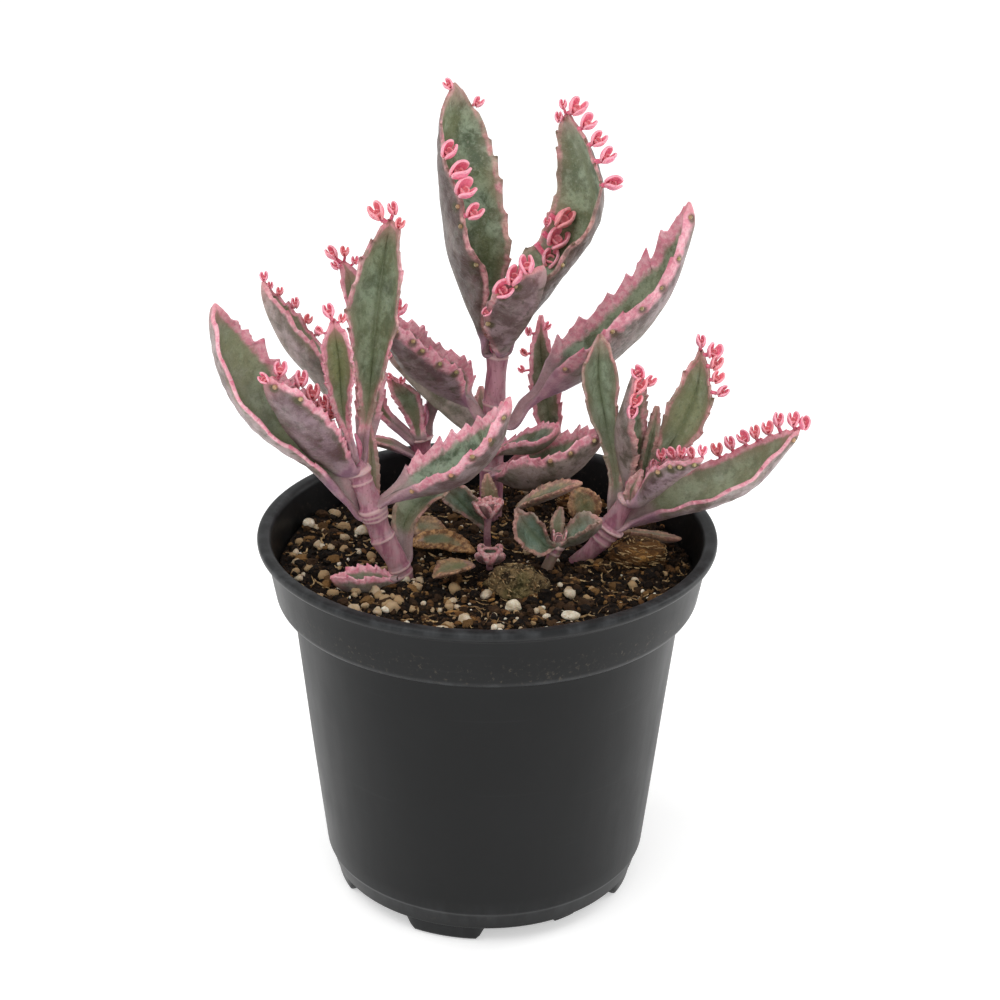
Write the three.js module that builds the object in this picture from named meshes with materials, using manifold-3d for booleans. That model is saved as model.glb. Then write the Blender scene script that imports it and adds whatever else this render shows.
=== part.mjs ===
// Potted kalanchoe: a variegated mother-of-thousands plant in a round black nursery pot.
// Millimetres, +Z up. The pot stands on Z = 0 and -Y is its front. The group's origin is the
// middle of the whole plant's footprint, so the pot's own axis stands at X = POT_AXIS_X.
import * as THREE from "three";
import { mergeVertices } from "three/addons/utils/BufferGeometryUtils.js";
import Module from "manifold-3d";

const wasm = await Module();
wasm.setup();

// ---- driving dimensions (mm) ----
const POT_AXIS_X = -5.52; // pot axis from the middle of the footprint
const GAP = 0.35; // clearance left between touching pieces
const RIM_R = 54; // outer radius of the rolled lip
const POT_H = 91; // height of the lip over the ground
const WALL = 1.3; // pot wall
const FOOT_H = 3.9; // feet under the floor
const COLLAR_Z = 75.5; // underside of the collar
const SOIL_Z = 82.3; // mean level of the potting mix
const SOCKET = 15; // depth of a stem in the mix
const TOOTH = 1.25; // depth of a margin tooth
const RISE = 0.7; // share of a leaf's thickness that lies on the upper side of its rows
const STEM_SIDES = 8;
const POT_SIDES = 24;

// feet as [from, to, outer radius] in degrees round the axis, measured from the front (-Y) towards +X
const FEET = [
  [-31, 2, 36.6], [-95, -59, 36.6], [58, 95, 36.6], [30, 42, 34.2],
  [118, 151, 36.6], [174, 207, 36.6], [225, 240, 34.2],
];
const DRAIN_HOLES = [20, 88, 200, 267]; // degrees, same measure

// One row per station of a leaf, base to tip: midrib, left margin and right margin, x y z each.
const LEAVES = {
  leaf_c1: [
    [-0.2, 27, 123.8, -1, 25.2, 124.5, 0.5, 28.8, 123.2],
    [-2.2, 26, 129.5, -0.8, 23.1, 130.1, 0.9, 27.1, 129.9],
    [-4.8, 25, 136.4, -1.2, 18.7, 138.1, 2.3, 25.7, 138.4],
    [-7.5, 25, 143.3, -0.4, 16.2, 147.3, 4.1, 25.9, 146.3],
    [-9.9, 25, 151.1, -4.5, 12.1, 155, 4.6, 25.4, 152.6],
    [-10.8, 25.5, 157.5, -5.7, 12.5, 161.5, 3.6, 26.6, 157.3],
    [-11.6, 26.5, 163.7, -7.3, 13.4, 167.1, 2.6, 27.3, 163.4],
    [-11.8, 27.5, 169.8, -9.6, 14.8, 172.9, 1.4, 27.6, 170],
    [-10.9, 28.5, 175.7, -11.3, 17.4, 177.9, -0.6, 32.9, 174.7],
    [-9.8, 29.5, 181.1, -11.6, 21.2, 182.7, -2.7, 34.2, 180],
    [-9.1, 30, 185.2, -10.6, 25.4, 186.3, -5.8, 33.7, 184.8],
    [-8.9, 30.5, 189, -9.1, 30, 189.1, -8.6, 30.9, 189],
  ],
  leaf_c2: [
    [3.4, 28, 124, 2.6, 29.8, 123.4, 4.1, 26.2, 124.7],
    [5.7, 28.5, 128.5, 4.2, 31.3, 129, 5.2, 25.4, 129.1],
    [9.2, 29, 133.4, 5.1, 33.9, 136.2, 6.5, 23.3, 136.4],
    [13, 30, 137.9, 6, 38.5, 141.3, 9.7, 20.2, 142.9],
    [16.9, 31, 143.4, 8.3, 39.7, 146, 14, 19.5, 147.4],
    [20.4, 32, 147.6, 11.2, 40.4, 148.8, 17.4, 20.6, 151.9],
    [23.4, 33, 152.3, 13.2, 40.1, 153.9, 20.8, 21.2, 155.6],
    [24.9, 34, 157.6, 14.6, 39.9, 158.9, 23.9, 22.5, 160.8],
    [24.6, 35, 163.4, 15.5, 41.2, 162.5, 25, 24.3, 166],
    [23, 36, 168.9, 15.6, 41.6, 168.3, 24, 27, 170.9],
    [20.5, 37, 174.4, 15.3, 41, 172.1, 21.7, 30.2, 175.5],
    [18.6, 37.5, 178.1, 15.6, 39.9, 176.9, 19.4, 33.6, 178.6],
    [17.4, 38, 180.5, 17, 38.3, 180.4, 17.4, 37.5, 180.6],
  ],
  leaf_c3: [
    [2.4, 23, 125.4, 3.1, 24.9, 124.7, 1.7, 21.1, 126.3],
    [4.5, 21, 128.9, 4.3, 25.8, 128.4, 0.2, 18.9, 129.6],
    [7.2, 18, 133.8, 5.2, 27, 132.6, -1.4, 15.5, 136],
    [9.5, 15, 139.1, 5.8, 25.6, 138.6, -0.5, 11.6, 142.8],
    [11, 13, 143.4, 7.3, 22.3, 143.2, 2.5, 9.1, 146.8],
    [11.8, 11.5, 146.8, 9.6, 18.1, 146.8, 5.8, 9.1, 149.5],
    [12.2, 10.5, 149.6, 10.9, 14.1, 149.8, 9, 9.2, 151.1],
    [11.9, 10, 152.1, 11.8, 10.5, 152.1, 11.5, 9.8, 152.3],
  ],
  leaf_c4: [
    [4.8, 26, 105.9, 3.8, 27.9, 106.7, 5.3, 23.8, 106.3],
    [9.1, 26, 110.9, 7.6, 27.1, 112.3, 9.8, 24.2, 112.2],
    [13.4, 25.5, 114.3, 11.2, 26.9, 116.3, 12.3, 22.9, 116.1],
    [17.4, 25, 116.4, 13.3, 29.8, 120.4, 14.3, 20, 121.1],
    [22.1, 24.5, 119.2, 16.1, 31.9, 125.6, 18.2, 16.5, 126.5],
    [27.1, 24, 122.8, 20.9, 33.3, 129.5, 23.4, 14.8, 131.2],
    [31.9, 24, 127.2, 26.3, 33, 135.1, 28.1, 14.9, 135.9],
    [36.3, 24.5, 131.6, 31.4, 32.5, 140.6, 32.9, 15.4, 140.2],
    [39.9, 25, 137, 35.5, 32.2, 145.5, 37, 15.5, 143.7],
    [42.6, 25.5, 142.1, 38.2, 32.1, 148.5, 40.1, 17, 147.1],
    [44.5, 26, 147.4, 40.3, 30.3, 153.1, 42.2, 18.9, 151.1],
    [45.9, 26.5, 153.1, 42.5, 30.3, 156.3, 43.8, 21.6, 155.8],
    [46.9, 27, 157.8, 44.6, 28.7, 159.4, 45, 25, 159.6],
    [46.2, 27.5, 162.2, 45.9, 27.8, 162.5, 46, 27.2, 162.5],
  ],
  leaf_c5: [
    [-1.3, 25, 108.1, -2, 22.8, 108.2, -0.8, 27.2, 108.5],
    [-4.2, 24, 111.8, -4.9, 21.7, 112.7, -3.5, 26.5, 112.1],
    [-6.8, 23, 113.5, -5.8, 18.7, 117.5, -4.8, 28.6, 114.4],
    [-10.2, 21, 115.8, -5.8, 14.6, 122.8, -3.9, 28.7, 119],
    [-13.4, 18, 118.7, -7.8, 11.4, 127, -6, 26.2, 123.3],
    [-16.6, 15, 122, -11.4, 8.1, 130.4, -9.8, 24, 126.1],
    [-19.5, 12, 125.9, -15.1, 6.3, 134.2, -13.7, 20.3, 130.2],
    [-21.4, 9, 130.2, -18.2, 5, 137.3, -16.9, 11.7, 137.3],
    [-22.9, 7, 133.9, -21.3, 4.3, 139.2, -20.4, 9, 139.2],
    [-23.2, 5, 137, -22.6, 3, 140.4, -22, 6.3, 140.6],
    [-22.4, 4, 141.2, -22.4, 3.7, 141.7, -22.3, 4.2, 141.7],
  ],
  leaf_l1: [
    [-28.1, -10, 97.6, -28.6, -12.1, 98.1, -28, -7.8, 97.9],
    [-31.8, -11.5, 101.8, -31.8, -13.8, 103.3, -29.8, -10.1, 103.2],
    [-35.5, -13, 106.9, -34.9, -16.9, 109.6, -31.5, -11.7, 109.2],
    [-40, -14.5, 112.4, -38.6, -21.3, 116.3, -33.4, -11, 115.4],
    [-44.9, -16, 116.8, -43.3, -26, 121.8, -37.1, -9, 121.1],
    [-49.9, -17, 121.5, -47.9, -28.4, 126.9, -40.6, -10.2, 127.1],
    [-54, -18, 127.3, -51.9, -29.7, 132.5, -44.7, -10.5, 132.4],
    [-57, -18.5, 133.6, -54.9, -29.7, 138.2, -48.1, -10.6, 136.6],
    [-58.7, -19, 139.4, -56.6, -29, 143.4, -51, -11.1, 140.1],
    [-59.6, -19, 144.4, -57.8, -26.9, 147.6, -53.8, -12.5, 144],
    [-59.9, -19, 148.1, -58.7, -23.8, 150.1, -56.2, -15.2, 147.5],
    [-59, -19, 152, -58.9, -19.4, 152.2, -58.7, -18.6, 151.9],
  ],
  leaf_l2: [
    [-29.8, -12.5, 109.7, -29.2, -14.1, 111.4, -30.4, -10.2, 110.2],
    [-32.6, -14.5, 110.5, -30.2, -15.9, 114.1, -31.5, -10.5, 112.2],
    [-35.9, -17.5, 114, -31.3, -20.6, 120.4, -32.8, -10.2, 117],
    [-39.1, -20.5, 117.8, -32.6, -25, 126, -34.4, -10.8, 121.4],
    [-41.8, -23.5, 122.4, -34.8, -28.9, 130.6, -36.6, -13.3, 125.9],
    [-44, -26, 127, -37.3, -31.4, 134.3, -39.1, -16.3, 129.9],
    [-45.6, -28, 131.5, -39.9, -32.7, 137.1, -41.6, -19.9, 133.4],
    [-46.7, -29.5, 134.8, -42.4, -32.6, 138.6, -43.7, -23.9, 136.4],
    [-47.1, -30.5, 137.2, -45, -32.1, 139.5, -45.7, -27.5, 138.4],
    [-47, -31, 139.5, -46.7, -31.2, 139.8, -46.8, -30.6, 139.7],
  ],
  leaf_l3: [
    [-30.9, -6, 109.8, -31, -7.5, 111.2, -30.4, -4.2, 109.3],
    [-33.1, -5, 117.3, -32, -7.8, 119, -31.8, -1.9, 116.5],
    [-35.8, -4, 124.2, -33, -8.1, 127.6, -32.8, 1.1, 124.7],
    [-39.4, -3, 128.9, -35.3, -7.9, 133.7, -35.1, 3.4, 130.9],
    [-42.8, -2, 132.3, -38.1, -7.8, 137.4, -38.2, 5.5, 134],
    [-45.7, -1, 135.8, -41.1, -6.4, 140.4, -41.1, 5.9, 137.4],
    [-48, 0, 139.7, -44, -4.7, 143.5, -43.9, 5.6, 141.6],
    [-49.8, 1, 143.8, -46.9, -2.3, 146.2, -46.7, 4.8, 144.9],
    [-50.7, 2, 146.8, -49.1, 0.2, 148.1, -49.1, 4.1, 147.3],
    [-51.1, 2.5, 149.9, -50.8, 2.2, 150.2, -50.8, 2.9, 150],
  ],
  leaf_l4: [
    [-30, -12, 112.7, -30.3, -13.6, 113.4, -29.4, -13.5, 113.5],
    [-31.2, -13, 119.2, -31.7, -14.9, 119.5, -30.4, -14.5, 120.3],
    [-32.3, -14, 125.3, -34.3, -16.6, 126.1, -30.4, -16.4, 126.8],
    [-32.6, -15, 130.5, -35.1, -18.9, 131.7, -29.9, -18.6, 132.2],
    [-32.7, -16, 135.6, -35.8, -20.9, 137.2, -29.2, -20.5, 137.6],
    [-32.9, -17, 140.2, -36, -21.9, 141.7, -29.5, -21.5, 142.1],
    [-33.2, -18, 144.2, -35.7, -22.2, 145.3, -30.3, -21.8, 145.6],
    [-33.6, -18.5, 146.9, -34.7, -20.9, 147.3, -31.9, -20.5, 147.7],
    [-33.7, -19, 148.9, -33.9, -19.4, 149, -33.4, -19.4, 149.1],
  ],
  leaf_l5: [
    [-28.8, -7, 109.8, -29.3, -9.1, 110.7, -28, -8.9, 110.9],
    [-28.3, -6, 115.8, -29.5, -8, 116.2, -27.3, -7.9, 116.9],
    [-27.6, -5, 121.8, -29.2, -7.4, 122.5, -25.9, -7.2, 122.9],
    [-26.9, -4, 127.3, -29.6, -8, 128.5, -24.2, -7.7, 129.2],
    [-26.4, -3, 133.2, -30.2, -9.8, 135.2, -22.3, -9, 136.4],
    [-25.8, -2, 139.3, -31, -9.9, 141.6, -20.8, -9.7, 142.8],
    [-25.1, -1, 144.9, -31.4, -9.2, 147.1, -19.9, -9.5, 148.6],
    [-24.4, 0, 150.4, -30.3, -7.7, 152.7, -19.5, -8.1, 153.6],
    [-23.7, 1, 155.5, -28.6, -5.5, 157.2, -19.6, -5.7, 158.1],
    [-23.1, 2, 159.3, -26.7, -3.3, 160.7, -19.9, -3.4, 161.5],
    [-22.6, 2.5, 162.7, -24.6, -0.8, 163.7, -20.4, -0.6, 163.9],
    [-22.4, 3, 164.8, -22.6, 2.6, 164.9, -22.1, 2.6, 165],
  ],
  leaf_l7: [
    [-25.9, -11, 100.6, -26.5, -8.9, 100.9, -25.1, -13, 101],
    [-22.6, -12.5, 102.8, -23.6, -10.5, 103.9, -22.3, -14.7, 104.1],
    [-19.4, -14, 104.6, -21.1, -10.4, 106.2, -19.4, -17.2, 107.5],
    [-15, -15.5, 106.3, -18.4, -8.5, 109.6, -16, -22.2, 111.4],
    [-10.4, -17, 108, -14.3, -8.3, 113.5, -11.7, -25.5, 114.9],
    [-6.1, -18.5, 110.4, -10.4, -9.3, 116.5, -7.9, -27.6, 117.7],
    [-2.4, -20, 114.1, -6.8, -10.5, 119.5, -4.4, -29.1, 121.3],
    [0.5, -21, 117.9, -3.6, -12.2, 122.1, -1.6, -29.2, 124.2],
    [2.5, -22, 121.9, -0.7, -15.1, 125.3, 0.5, -28.2, 127.1],
    [3.5, -22.5, 125.7, 1.5, -17.3, 127.8, 2.2, -26.9, 129.6],
    [4.3, -23, 129.4, 3.2, -19.9, 130.3, 3.5, -25.5, 131.6],
    [4.7, -23.5, 132.9, 4.6, -23.1, 133.1, 4.6, -23.9, 133.2],
  ],
  leaf_l10: [
    [-20, -13, 84.1, -20.4, -14.4, 84.1, -20.3, -11.5, 84.2],
    [-22.2, -14.5, 82.8, -23, -16.4, 85.5, -22.6, -11.8, 84.8],
    [-25.2, -16, 81.4, -25.6, -18.6, 86.8, -25.1, -13.4, 86.8],
    [-28.3, -17.5, 81.4, -28.7, -21, 87.4, -28.4, -14.4, 87.7],
    [-31.1, -19, 83.1, -31.3, -21.6, 88, -31.3, -16.2, 87.8],
    [-33.3, -20, 85.3, -33.2, -21.3, 88, -33.2, -17.7, 87.3],
    [-35.2, -21, 87.6, -35.2, -21.2, 88, -35.2, -20.6, 87.9],
  ],
  leaf_r1: [
    [30.1, 3, 89.6, 29.8, 5.2, 89.6, 30.5, 0.9, 90.1],
    [34, 2, 91.2, 33.2, 4.3, 92.4, 34.1, -0.3, 92.8],
    [38.6, 1, 93.2, 35.9, 4.4, 96.6, 38.2, -3.4, 96.5],
    [44.1, 0, 95.1, 39.5, 5.5, 100.5, 42.9, -7.5, 100],
    [49.5, -1, 97.2, 44.7, 7.2, 102.7, 48, -10.3, 102.8],
    [54.5, -2, 99.5, 49.8, 7.4, 104.5, 52.6, -11.8, 105.3],
    [58.9, -3, 102.3, 54.5, 6.3, 107.1, 56.7, -12.6, 107.8],
    [62.7, -4, 106, 58.9, 4.2, 110.3, 60.4, -12.5, 110.7],
    [65.5, -5, 110.3, 62.6, 1.4, 113.5, 63.4, -11.6, 113.8],
    [67.7, -6, 114.2, 65.8, -1.4, 116.2, 66.1, -10.6, 116.6],
    [69.2, -6.5, 116.9, 68.1, -4, 118.1, 68.2, -8.9, 118.4],
    [70.4, -7, 119.6, 70.2, -6.6, 119.8, 70.2, -7.4, 119.8],
  ],
  leaf_r2: [
    [36, 5, 98.4, 35.5, 3.7, 99.5, 36.4, 3.3, 98.7],
    [38.5, 6, 102.6, 37.4, 4.6, 104.2, 39.3, 3.7, 102.6],
    [41.2, 7, 107.1, 39.1, 4.7, 109.5, 43.3, 3.6, 107.3],
    [43.9, 8, 111.3, 39.6, 4.8, 114.5, 47, 2.5, 111.3],
    [46.1, 9, 115.5, 40.8, 4.9, 119, 49.8, 2.4, 116.2],
    [47.9, 10, 119.9, 42.5, 5.5, 122.8, 51.2, 3.3, 121.1],
    [48.9, 11, 124, 44.6, 7.1, 126.4, 51.2, 5.2, 125.2],
    [49.3, 12, 127.4, 46.2, 9.4, 128.8, 50.6, 8, 128.2],
    [49.2, 12.5, 129.7, 47.9, 10.8, 130.5, 50, 10.3, 130],
    [49.2, 13, 131.4, 48.9, 12.6, 131.6, 49.3, 12.5, 131.5],
  ],
  leaf_r3: [
    [33.4, 4, 97.5, 32.9, 2.4, 98.2, 34, 5.6, 97],
    [32.3, 3.5, 101.6, 33.8, 0.8, 103.3, 34.8, 5.9, 101.1],
    [30.9, 3, 106.6, 34.6, -1.3, 109.5, 36.3, 6.3, 106.3],
    [30, 2.5, 112.1, 33.8, -3.8, 115.3, 37.2, 5.8, 111.1],
    [30.1, 2, 117.3, 32.9, -4.7, 120.3, 36.8, 5.7, 115.9],
    [31.3, 1.5, 122.2, 32.5, -4.2, 124.5, 36.5, 4.7, 121],
    [32.2, 1, 125.9, 33.1, -3.1, 127.5, 36.1, 3.1, 124.9],
    [33.2, 0.5, 129.3, 33.5, -1.8, 129.9, 35.2, 1.6, 128.4],
    [33.8, 0, 131.7, 33.9, -0.5, 131.8, 34.2, 0.2, 131.5],
  ],
  leaf_r4: [
    [30, 6, 89.5, 28.5, 4.7, 90.6, 31.1, 4.6, 91],
    [30.3, 6.5, 95.6, 28.4, 5.2, 96.1, 32.1, 5.2, 96.4],
    [30.1, 7, 101, 28.4, 5.4, 101.5, 31.7, 5.6, 102.2],
    [29.3, 8, 106.5, 27.3, 5.8, 106.7, 30.8, 5.8, 107.9],
    [28, 9, 111.9, 25.5, 5.3, 112.2, 30.1, 5.5, 113.9],
    [26.7, 10, 117.6, 23.2, 4.6, 118.4, 29.9, 5, 120.1],
    [25.6, 11, 123.2, 21.6, 4.7, 124.3, 29.7, 5.2, 125.7],
    [25.3, 12, 128.3, 22, 6.5, 129.5, 28.9, 7.1, 130.4],
    [25.4, 13, 131.9, 23.4, 9.8, 132.5, 27.6, 10.2, 133.2],
    [25.6, 13.5, 134.6, 25.3, 13.1, 134.7, 25.9, 13.1, 134.8],
  ],
  leaf_r6: [
    [33.3, 0, 97, 33.6, 2, 97.1, 32.9, -1.6, 98.2],
    [35.4, -2, 98.4, 35.9, 1.1, 101.6, 35.2, -2.8, 102.8],
    [37.9, -5, 101.8, 37.6, 1.6, 106.5, 36.8, -7.8, 109.3],
    [40.5, -8, 105.5, 40.2, -1, 109, 39.1, -11.3, 112.4],
    [43.1, -11, 109.3, 42.5, -5.2, 111.5, 41.6, -14.2, 114.4],
    [45.4, -13, 112.2, 44.9, -9, 113.4, 44.1, -15.6, 115.2],
    [46.9, -14.5, 114.3, 46.6, -12.2, 114.6, 46.1, -16.1, 115.7],
    [48.1, -16, 116.2, 48, -15.5, 116.2, 47.9, -16.4, 116.5],
  ],
  leaf_m1: [
    [0.8, 24, 94.3, 0.8, 26.3, 94.3, 0.3, 21.8, 94.7],
    [3.5, 21, 94, 4.4, 24.8, 97.2, 2.8, 17.6, 97.6],
    [7.2, 18, 93.5, 8.3, 25.4, 100.1, 5.3, 13.5, 102.3],
    [11.2, 15.5, 94.2, 12.4, 24.3, 102.2, 9.6, 9.9, 104.6],
    [15, 13.5, 96.1, 16.2, 21.8, 105.2, 13.3, 6.5, 106.1],
    [18.5, 12, 98.9, 19.7, 20.4, 107.1, 16.7, 4.8, 108.2],
    [21.5, 11, 102, 22.5, 17.8, 109, 19.7, 5.5, 109.9],
    [24, 10, 105.6, 24.5, 15.9, 109.8, 22.3, 6.1, 111.5],
    [25.8, 9.5, 108.4, 25.8, 13, 110.2, 24.7, 7.6, 111.7],
    [26.6, 9, 110.9, 26.6, 9.4, 111.1, 26.5, 8.8, 111.3],
  ],
  leaf_m2: [
    [1.2, 25, 99.7, 1.2, 26.8, 99.7, 1, 23.2, 99.9],
    [3.9, 22, 101, 4.6, 25.2, 102.6, 3.6, 19.5, 103.6],
    [7.5, 19.5, 102.1, 8.4, 24.8, 105.4, 7.2, 15.1, 106.5],
    [11.1, 18, 103.3, 12, 23.1, 107.7, 10.7, 12.7, 107.6],
    [13.9, 17, 105.6, 14.4, 20.1, 109.5, 13.6, 13, 108.5],
    [15.8, 16.5, 108.1, 15.8, 18.1, 110.1, 15.5, 14.6, 109.7],
    [16.4, 16, 110.9, 16.4, 16.3, 111.3, 16.4, 15.6, 111.2],
  ],
  leaf_m5: [
    [-0.2, 9, 86.4, -0.7, 7.6, 86.5, 0.3, 8, 87.4],
    [-2.8, 7, 90.4, -4.4, 3.7, 91.4, -1.1, 4.8, 93],
    [-5.7, 5, 94.4, -7.9, 0.3, 95.2, -3, 2, 97.9],
    [-8, 4, 97.2, -10, -0.9, 97.8, -5.1, 1.1, 100.6],
    [-9.9, 3, 99.4, -11.2, -0.3, 99.6, -7.7, 1.3, 101.7],
    [-11.3, 2.5, 100.6, -11.4, 2, 100.7, -11, 2.3, 100.9],
  ],
  leaf_m8: [
    [16.1, -4, 88.3, 15.8, -5, 88.2, 16.3, -4.6, 89.1],
    [14.4, -4.5, 88.2, 13.2, -7.7, 87.4, 14.6, -6.6, 91],
    [12.3, -5, 90, 9.7, -9.7, 89.4, 13.6, -7.8, 94.4],
    [10.1, -5.5, 92.5, 7.1, -10.7, 92.3, 12.1, -8.8, 97.1],
    [8.5, -6, 95, 5.9, -10.1, 95.1, 10.2, -8.5, 98.7],
    [7.3, -6.5, 97.3, 6.3, -8.8, 97.3, 8.6, -8, 98.7],
    [6.5, -7, 99, 6.4, -7.5, 99, 6.8, -7.3, 99.3],
  ],
  leaf_m9: [
    [16.1, -3, 87.8, 16.1, -2, 87.8, 16.3, -4, 87.8],
    [18.9, -4, 88.8, 18.2, -0.9, 91.2, 18.7, -7, 91.5],
    [21.6, -5, 90.1, 20.4, -1.8, 95, 20.9, -9.5, 94],
    [23.8, -6, 92.2, 22.6, -3.7, 97.1, 23.1, -10.1, 95.9],
    [25.4, -7, 94.5, 24.4, -5.2, 97.2, 24.8, -9.5, 96.6],
    [26.2, -7.5, 96.5, 26.1, -7.2, 96.9, 26.1, -7.9, 96.8],
  ],
  leaf_b2: [
    [-17.5, 41, 95.9, -19.2, 41.1, 96.4, -15.9, 40.3, 96.5],
    [-18.5, 41, 100, -20.2, 39.7, 100.5, -16.4, 40.9, 100.9],
    [-19.7, 41, 104, -22.1, 38.8, 104.6, -16.7, 41, 105.4],
    [-21.4, 41, 107.8, -24, 38.1, 108.3, -18.1, 39.9, 109.6],
    [-23.4, 41, 110.7, -25, 38.5, 110.8, -20.6, 40.1, 111.3],
    [-25, 41, 112.9, -25.9, 40.2, 112.9, -24.2, 40.7, 113.1],
  ],
  leaf_c7: [
    [14.7, 36, 92.5, 13.9, 34.5, 93.1, 15.4, 34.5, 93.2],
    [15.1, 38, 97.6, 12.9, 36.2, 98.4, 17.3, 36.1, 98.5],
    [14.8, 40, 103.6, 11, 37.5, 104.3, 17.9, 37.1, 105.3],
    [13.7, 42, 110, 9.9, 38.8, 110.7, 17.1, 38.8, 111.8],
    [12.6, 43, 117, 9.6, 39.7, 117.7, 16, 40.4, 118.3],
    [12.2, 44, 122.5, 10.2, 41.8, 122.7, 14.4, 42.2, 123.4],
    [12.4, 44.5, 125.7, 11.4, 43.5, 125.8, 13.4, 43.5, 126],
    [12.4, 45, 128.1, 12, 44.6, 128.2, 12.7, 44.7, 128.2],
  ],
  leaf_c6: [
    [-0.9, 30.8, 101.3, -0.4, 30.5, 103.4, -0.5, 32.7, 100.3],
    [-6.5, 33, 102.9, -3.5, 34.5, 107.9, -5.5, 38.5, 100.6],
    [-11.5, 35, 106.3, -6.4, 37.4, 112, -10.2, 42.5, 103.8],
    [-16.3, 37, 109.9, -10.4, 39.4, 115.6, -14.9, 45, 107.3],
    [-20.3, 39, 113.6, -15.9, 40.1, 117.5, -20, 44.6, 111.6],
    [-23.5, 40, 117.1, -21.4, 39.8, 119.2, -24, 42.6, 115.7],
    [-25.3, 41, 118.8, -25, 40.9, 119.2, -25.4, 41.4, 118.5],
  ],
  leaf_c8: [
    [-0.3, 33, 100, -1.6, 32.3, 100, 1, 32.5, 100.5],
    [-1.6, 35, 105.6, -3.6, 33.7, 105.6, 0.4, 34, 106.3],
    [-2.2, 35.5, 109.4, -3.8, 34.5, 109.4, -0.5, 34.6, 109.6],
    [-2.2, 36, 112.6, -2.6, 35.9, 112.6, -1.8, 35.9, 112.7],
  ],
  leaf_l6: [
    [-28.7, -1, 110.7, -30.2, -1.8, 111.3, -27.1, -1.7, 111.2],
    [-28.5, 5, 119.5, -30.6, 1.9, 120.9, -24.6, 4.3, 120],
    [-29.5, 9, 131.6, -31, 3.9, 133, -24.1, 8.7, 132.4],
    [-31.4, 12, 141.5, -32.7, 7.3, 142.5, -26.5, 11.8, 142.6],
    [-33, 13.5, 147.7, -34.2, 10.8, 147.9, -30.1, 13.9, 148.4],
    [-34.1, 14, 151.4, -34.5, 13.7, 151.3, -33.6, 14.1, 151.5],
  ],
  leaf_l8: [
    [-19.3, -9, 86, -20.8, -9.9, 86.3, -17.7, -9.7, 86.5],
    [-19.6, -7, 90.7, -21.6, -8.4, 91.5, -17.4, -8.4, 91.1],
    [-18.4, -5, 95.5, -21.9, -5.6, 97.8, -16.2, -8.4, 96.5],
    [-15.3, -2, 98.2, -18.3, -1.2, 102.1, -12.8, -6, 99.8],
    [-11.7, 1, 99.5, -13.4, 1.9, 102.5, -9.7, -2, 100.1],
    [-8.5, 3, 100.7, -8.7, 3.2, 101.1, -8.2, 2.6, 100.6],
  ],
  leaf_l9: [
    [-26.2, -6, 99.4, -27.3, -6.7, 99.5, -25.1, -6.5, 99.7],
    [-27, -4, 104.5, -28, -5.6, 105, -25, -4.3, 104.8],
    [-27.3, -2, 109.9, -28.2, -3.6, 110.4, -25.4, -2.3, 110.1],
    [-27.5, -1, 114.3, -28.2, -1.9, 114.5, -26.3, -1.1, 114.3],
    [-27.5, 0, 116.8, -27.8, -0.2, 116.9, -27.1, 0.1, 116.8],
  ],
  leaf_b1: [
    [-19, 41, 95.9, -19, 39.5, 95.4, -18.1, 41.7, 97.1],
    [-22.9, 40, 99.3, -22.9, 38.4, 98.8, -21.9, 40.5, 100.5],
    [-26.8, 39, 103.7, -26.9, 36.9, 103.2, -25.2, 39.5, 105],
    [-30.2, 38, 108.8, -30.1, 33.5, 108.5, -26.2, 37.9, 110.9],
    [-32.8, 38, 115.1, -33.4, 34.5, 115, -29.5, 38, 116.2],
    [-34, 38, 120.3, -34.2, 37.6, 120.3, -33.5, 38.2, 120.5],
  ],
  leaf_b3: [
    [-17.5, 41, 90.7, -17, 39.7, 91, -17.4, 42.2, 91.5],
    [-21.5, 40, 92.8, -20.8, 38.4, 93.2, -21.3, 41.4, 93.9],
    [-25.4, 39, 94.8, -24.5, 37, 95.5, -25.1, 40.7, 96.4],
    [-28.6, 38, 96.2, -27.9, 36.3, 96.8, -28.6, 39.5, 97.4],
    [-30.8, 37.5, 96.9, -30.7, 37, 97, -30.9, 38, 97.1],
  ],
  leaf_b4: [
    [-16.6, 43, 95.7, -17.7, 42.5, 96.1, -15.4, 42.4, 95.5],
    [-15.3, 44, 100.2, -16.4, 43.6, 100.5, -14.3, 43.4, 100],
    [-14.3, 45, 104.4, -15.8, 44.2, 105, -12.8, 44, 104.2],
    [-13.1, 46, 108.9, -15.8, 44.3, 110, -10.4, 43.9, 108.6],
    [-11.9, 47, 113.9, -13.9, 45.9, 114.5, -9.9, 45.7, 113.7],
    [-11.2, 47.5, 117.7, -11.5, 47.4, 117.8, -10.8, 47.4, 117.6],
  ],
  leaf_m3: [
    [7.6, 8, 92.5, 7.6, 8.9, 93.4, 6.8, 7, 92.5],
    [11.1, 5, 95.4, 10.8, 6.7, 97.6, 9.1, 3.1, 96],
    [15, 2, 98.4, 14.5, 4, 100.9, 12.9, -0.2, 99.2],
    [18.6, 0, 101.1, 18.3, 1.7, 102.8, 17.4, -2, 101.7],
    [21.8, -1, 103.1, 21.8, -0.7, 103.3, 21.7, -1.4, 103.2],
  ],
  leaf_m4: [
    [24.4, 8, 88.5, 23.4, 7.5, 88.2, 25.5, 7.7, 88.8],
    [23.6, 8, 91.7, 20.6, 6.3, 90.6, 26.9, 7, 92.8],
    [22.3, 8, 94.5, 19.1, 5.8, 92.9, 26, 7.1, 96.4],
    [21.1, 8, 96.6, 19.2, 6.7, 95.3, 23.2, 7.7, 98],
    [20.1, 8, 97.9, 19.8, 7.8, 97.6, 20.5, 8, 98.2],
  ],
  leaf_m6: [
    [0.5, 12, 90.6, -0.6, 11.5, 90.5, 1.6, 11.5, 90.6],
    [0.4, 12, 93.7, -1.4, 10.8, 93.6, 2.4, 11, 93.9],
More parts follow.
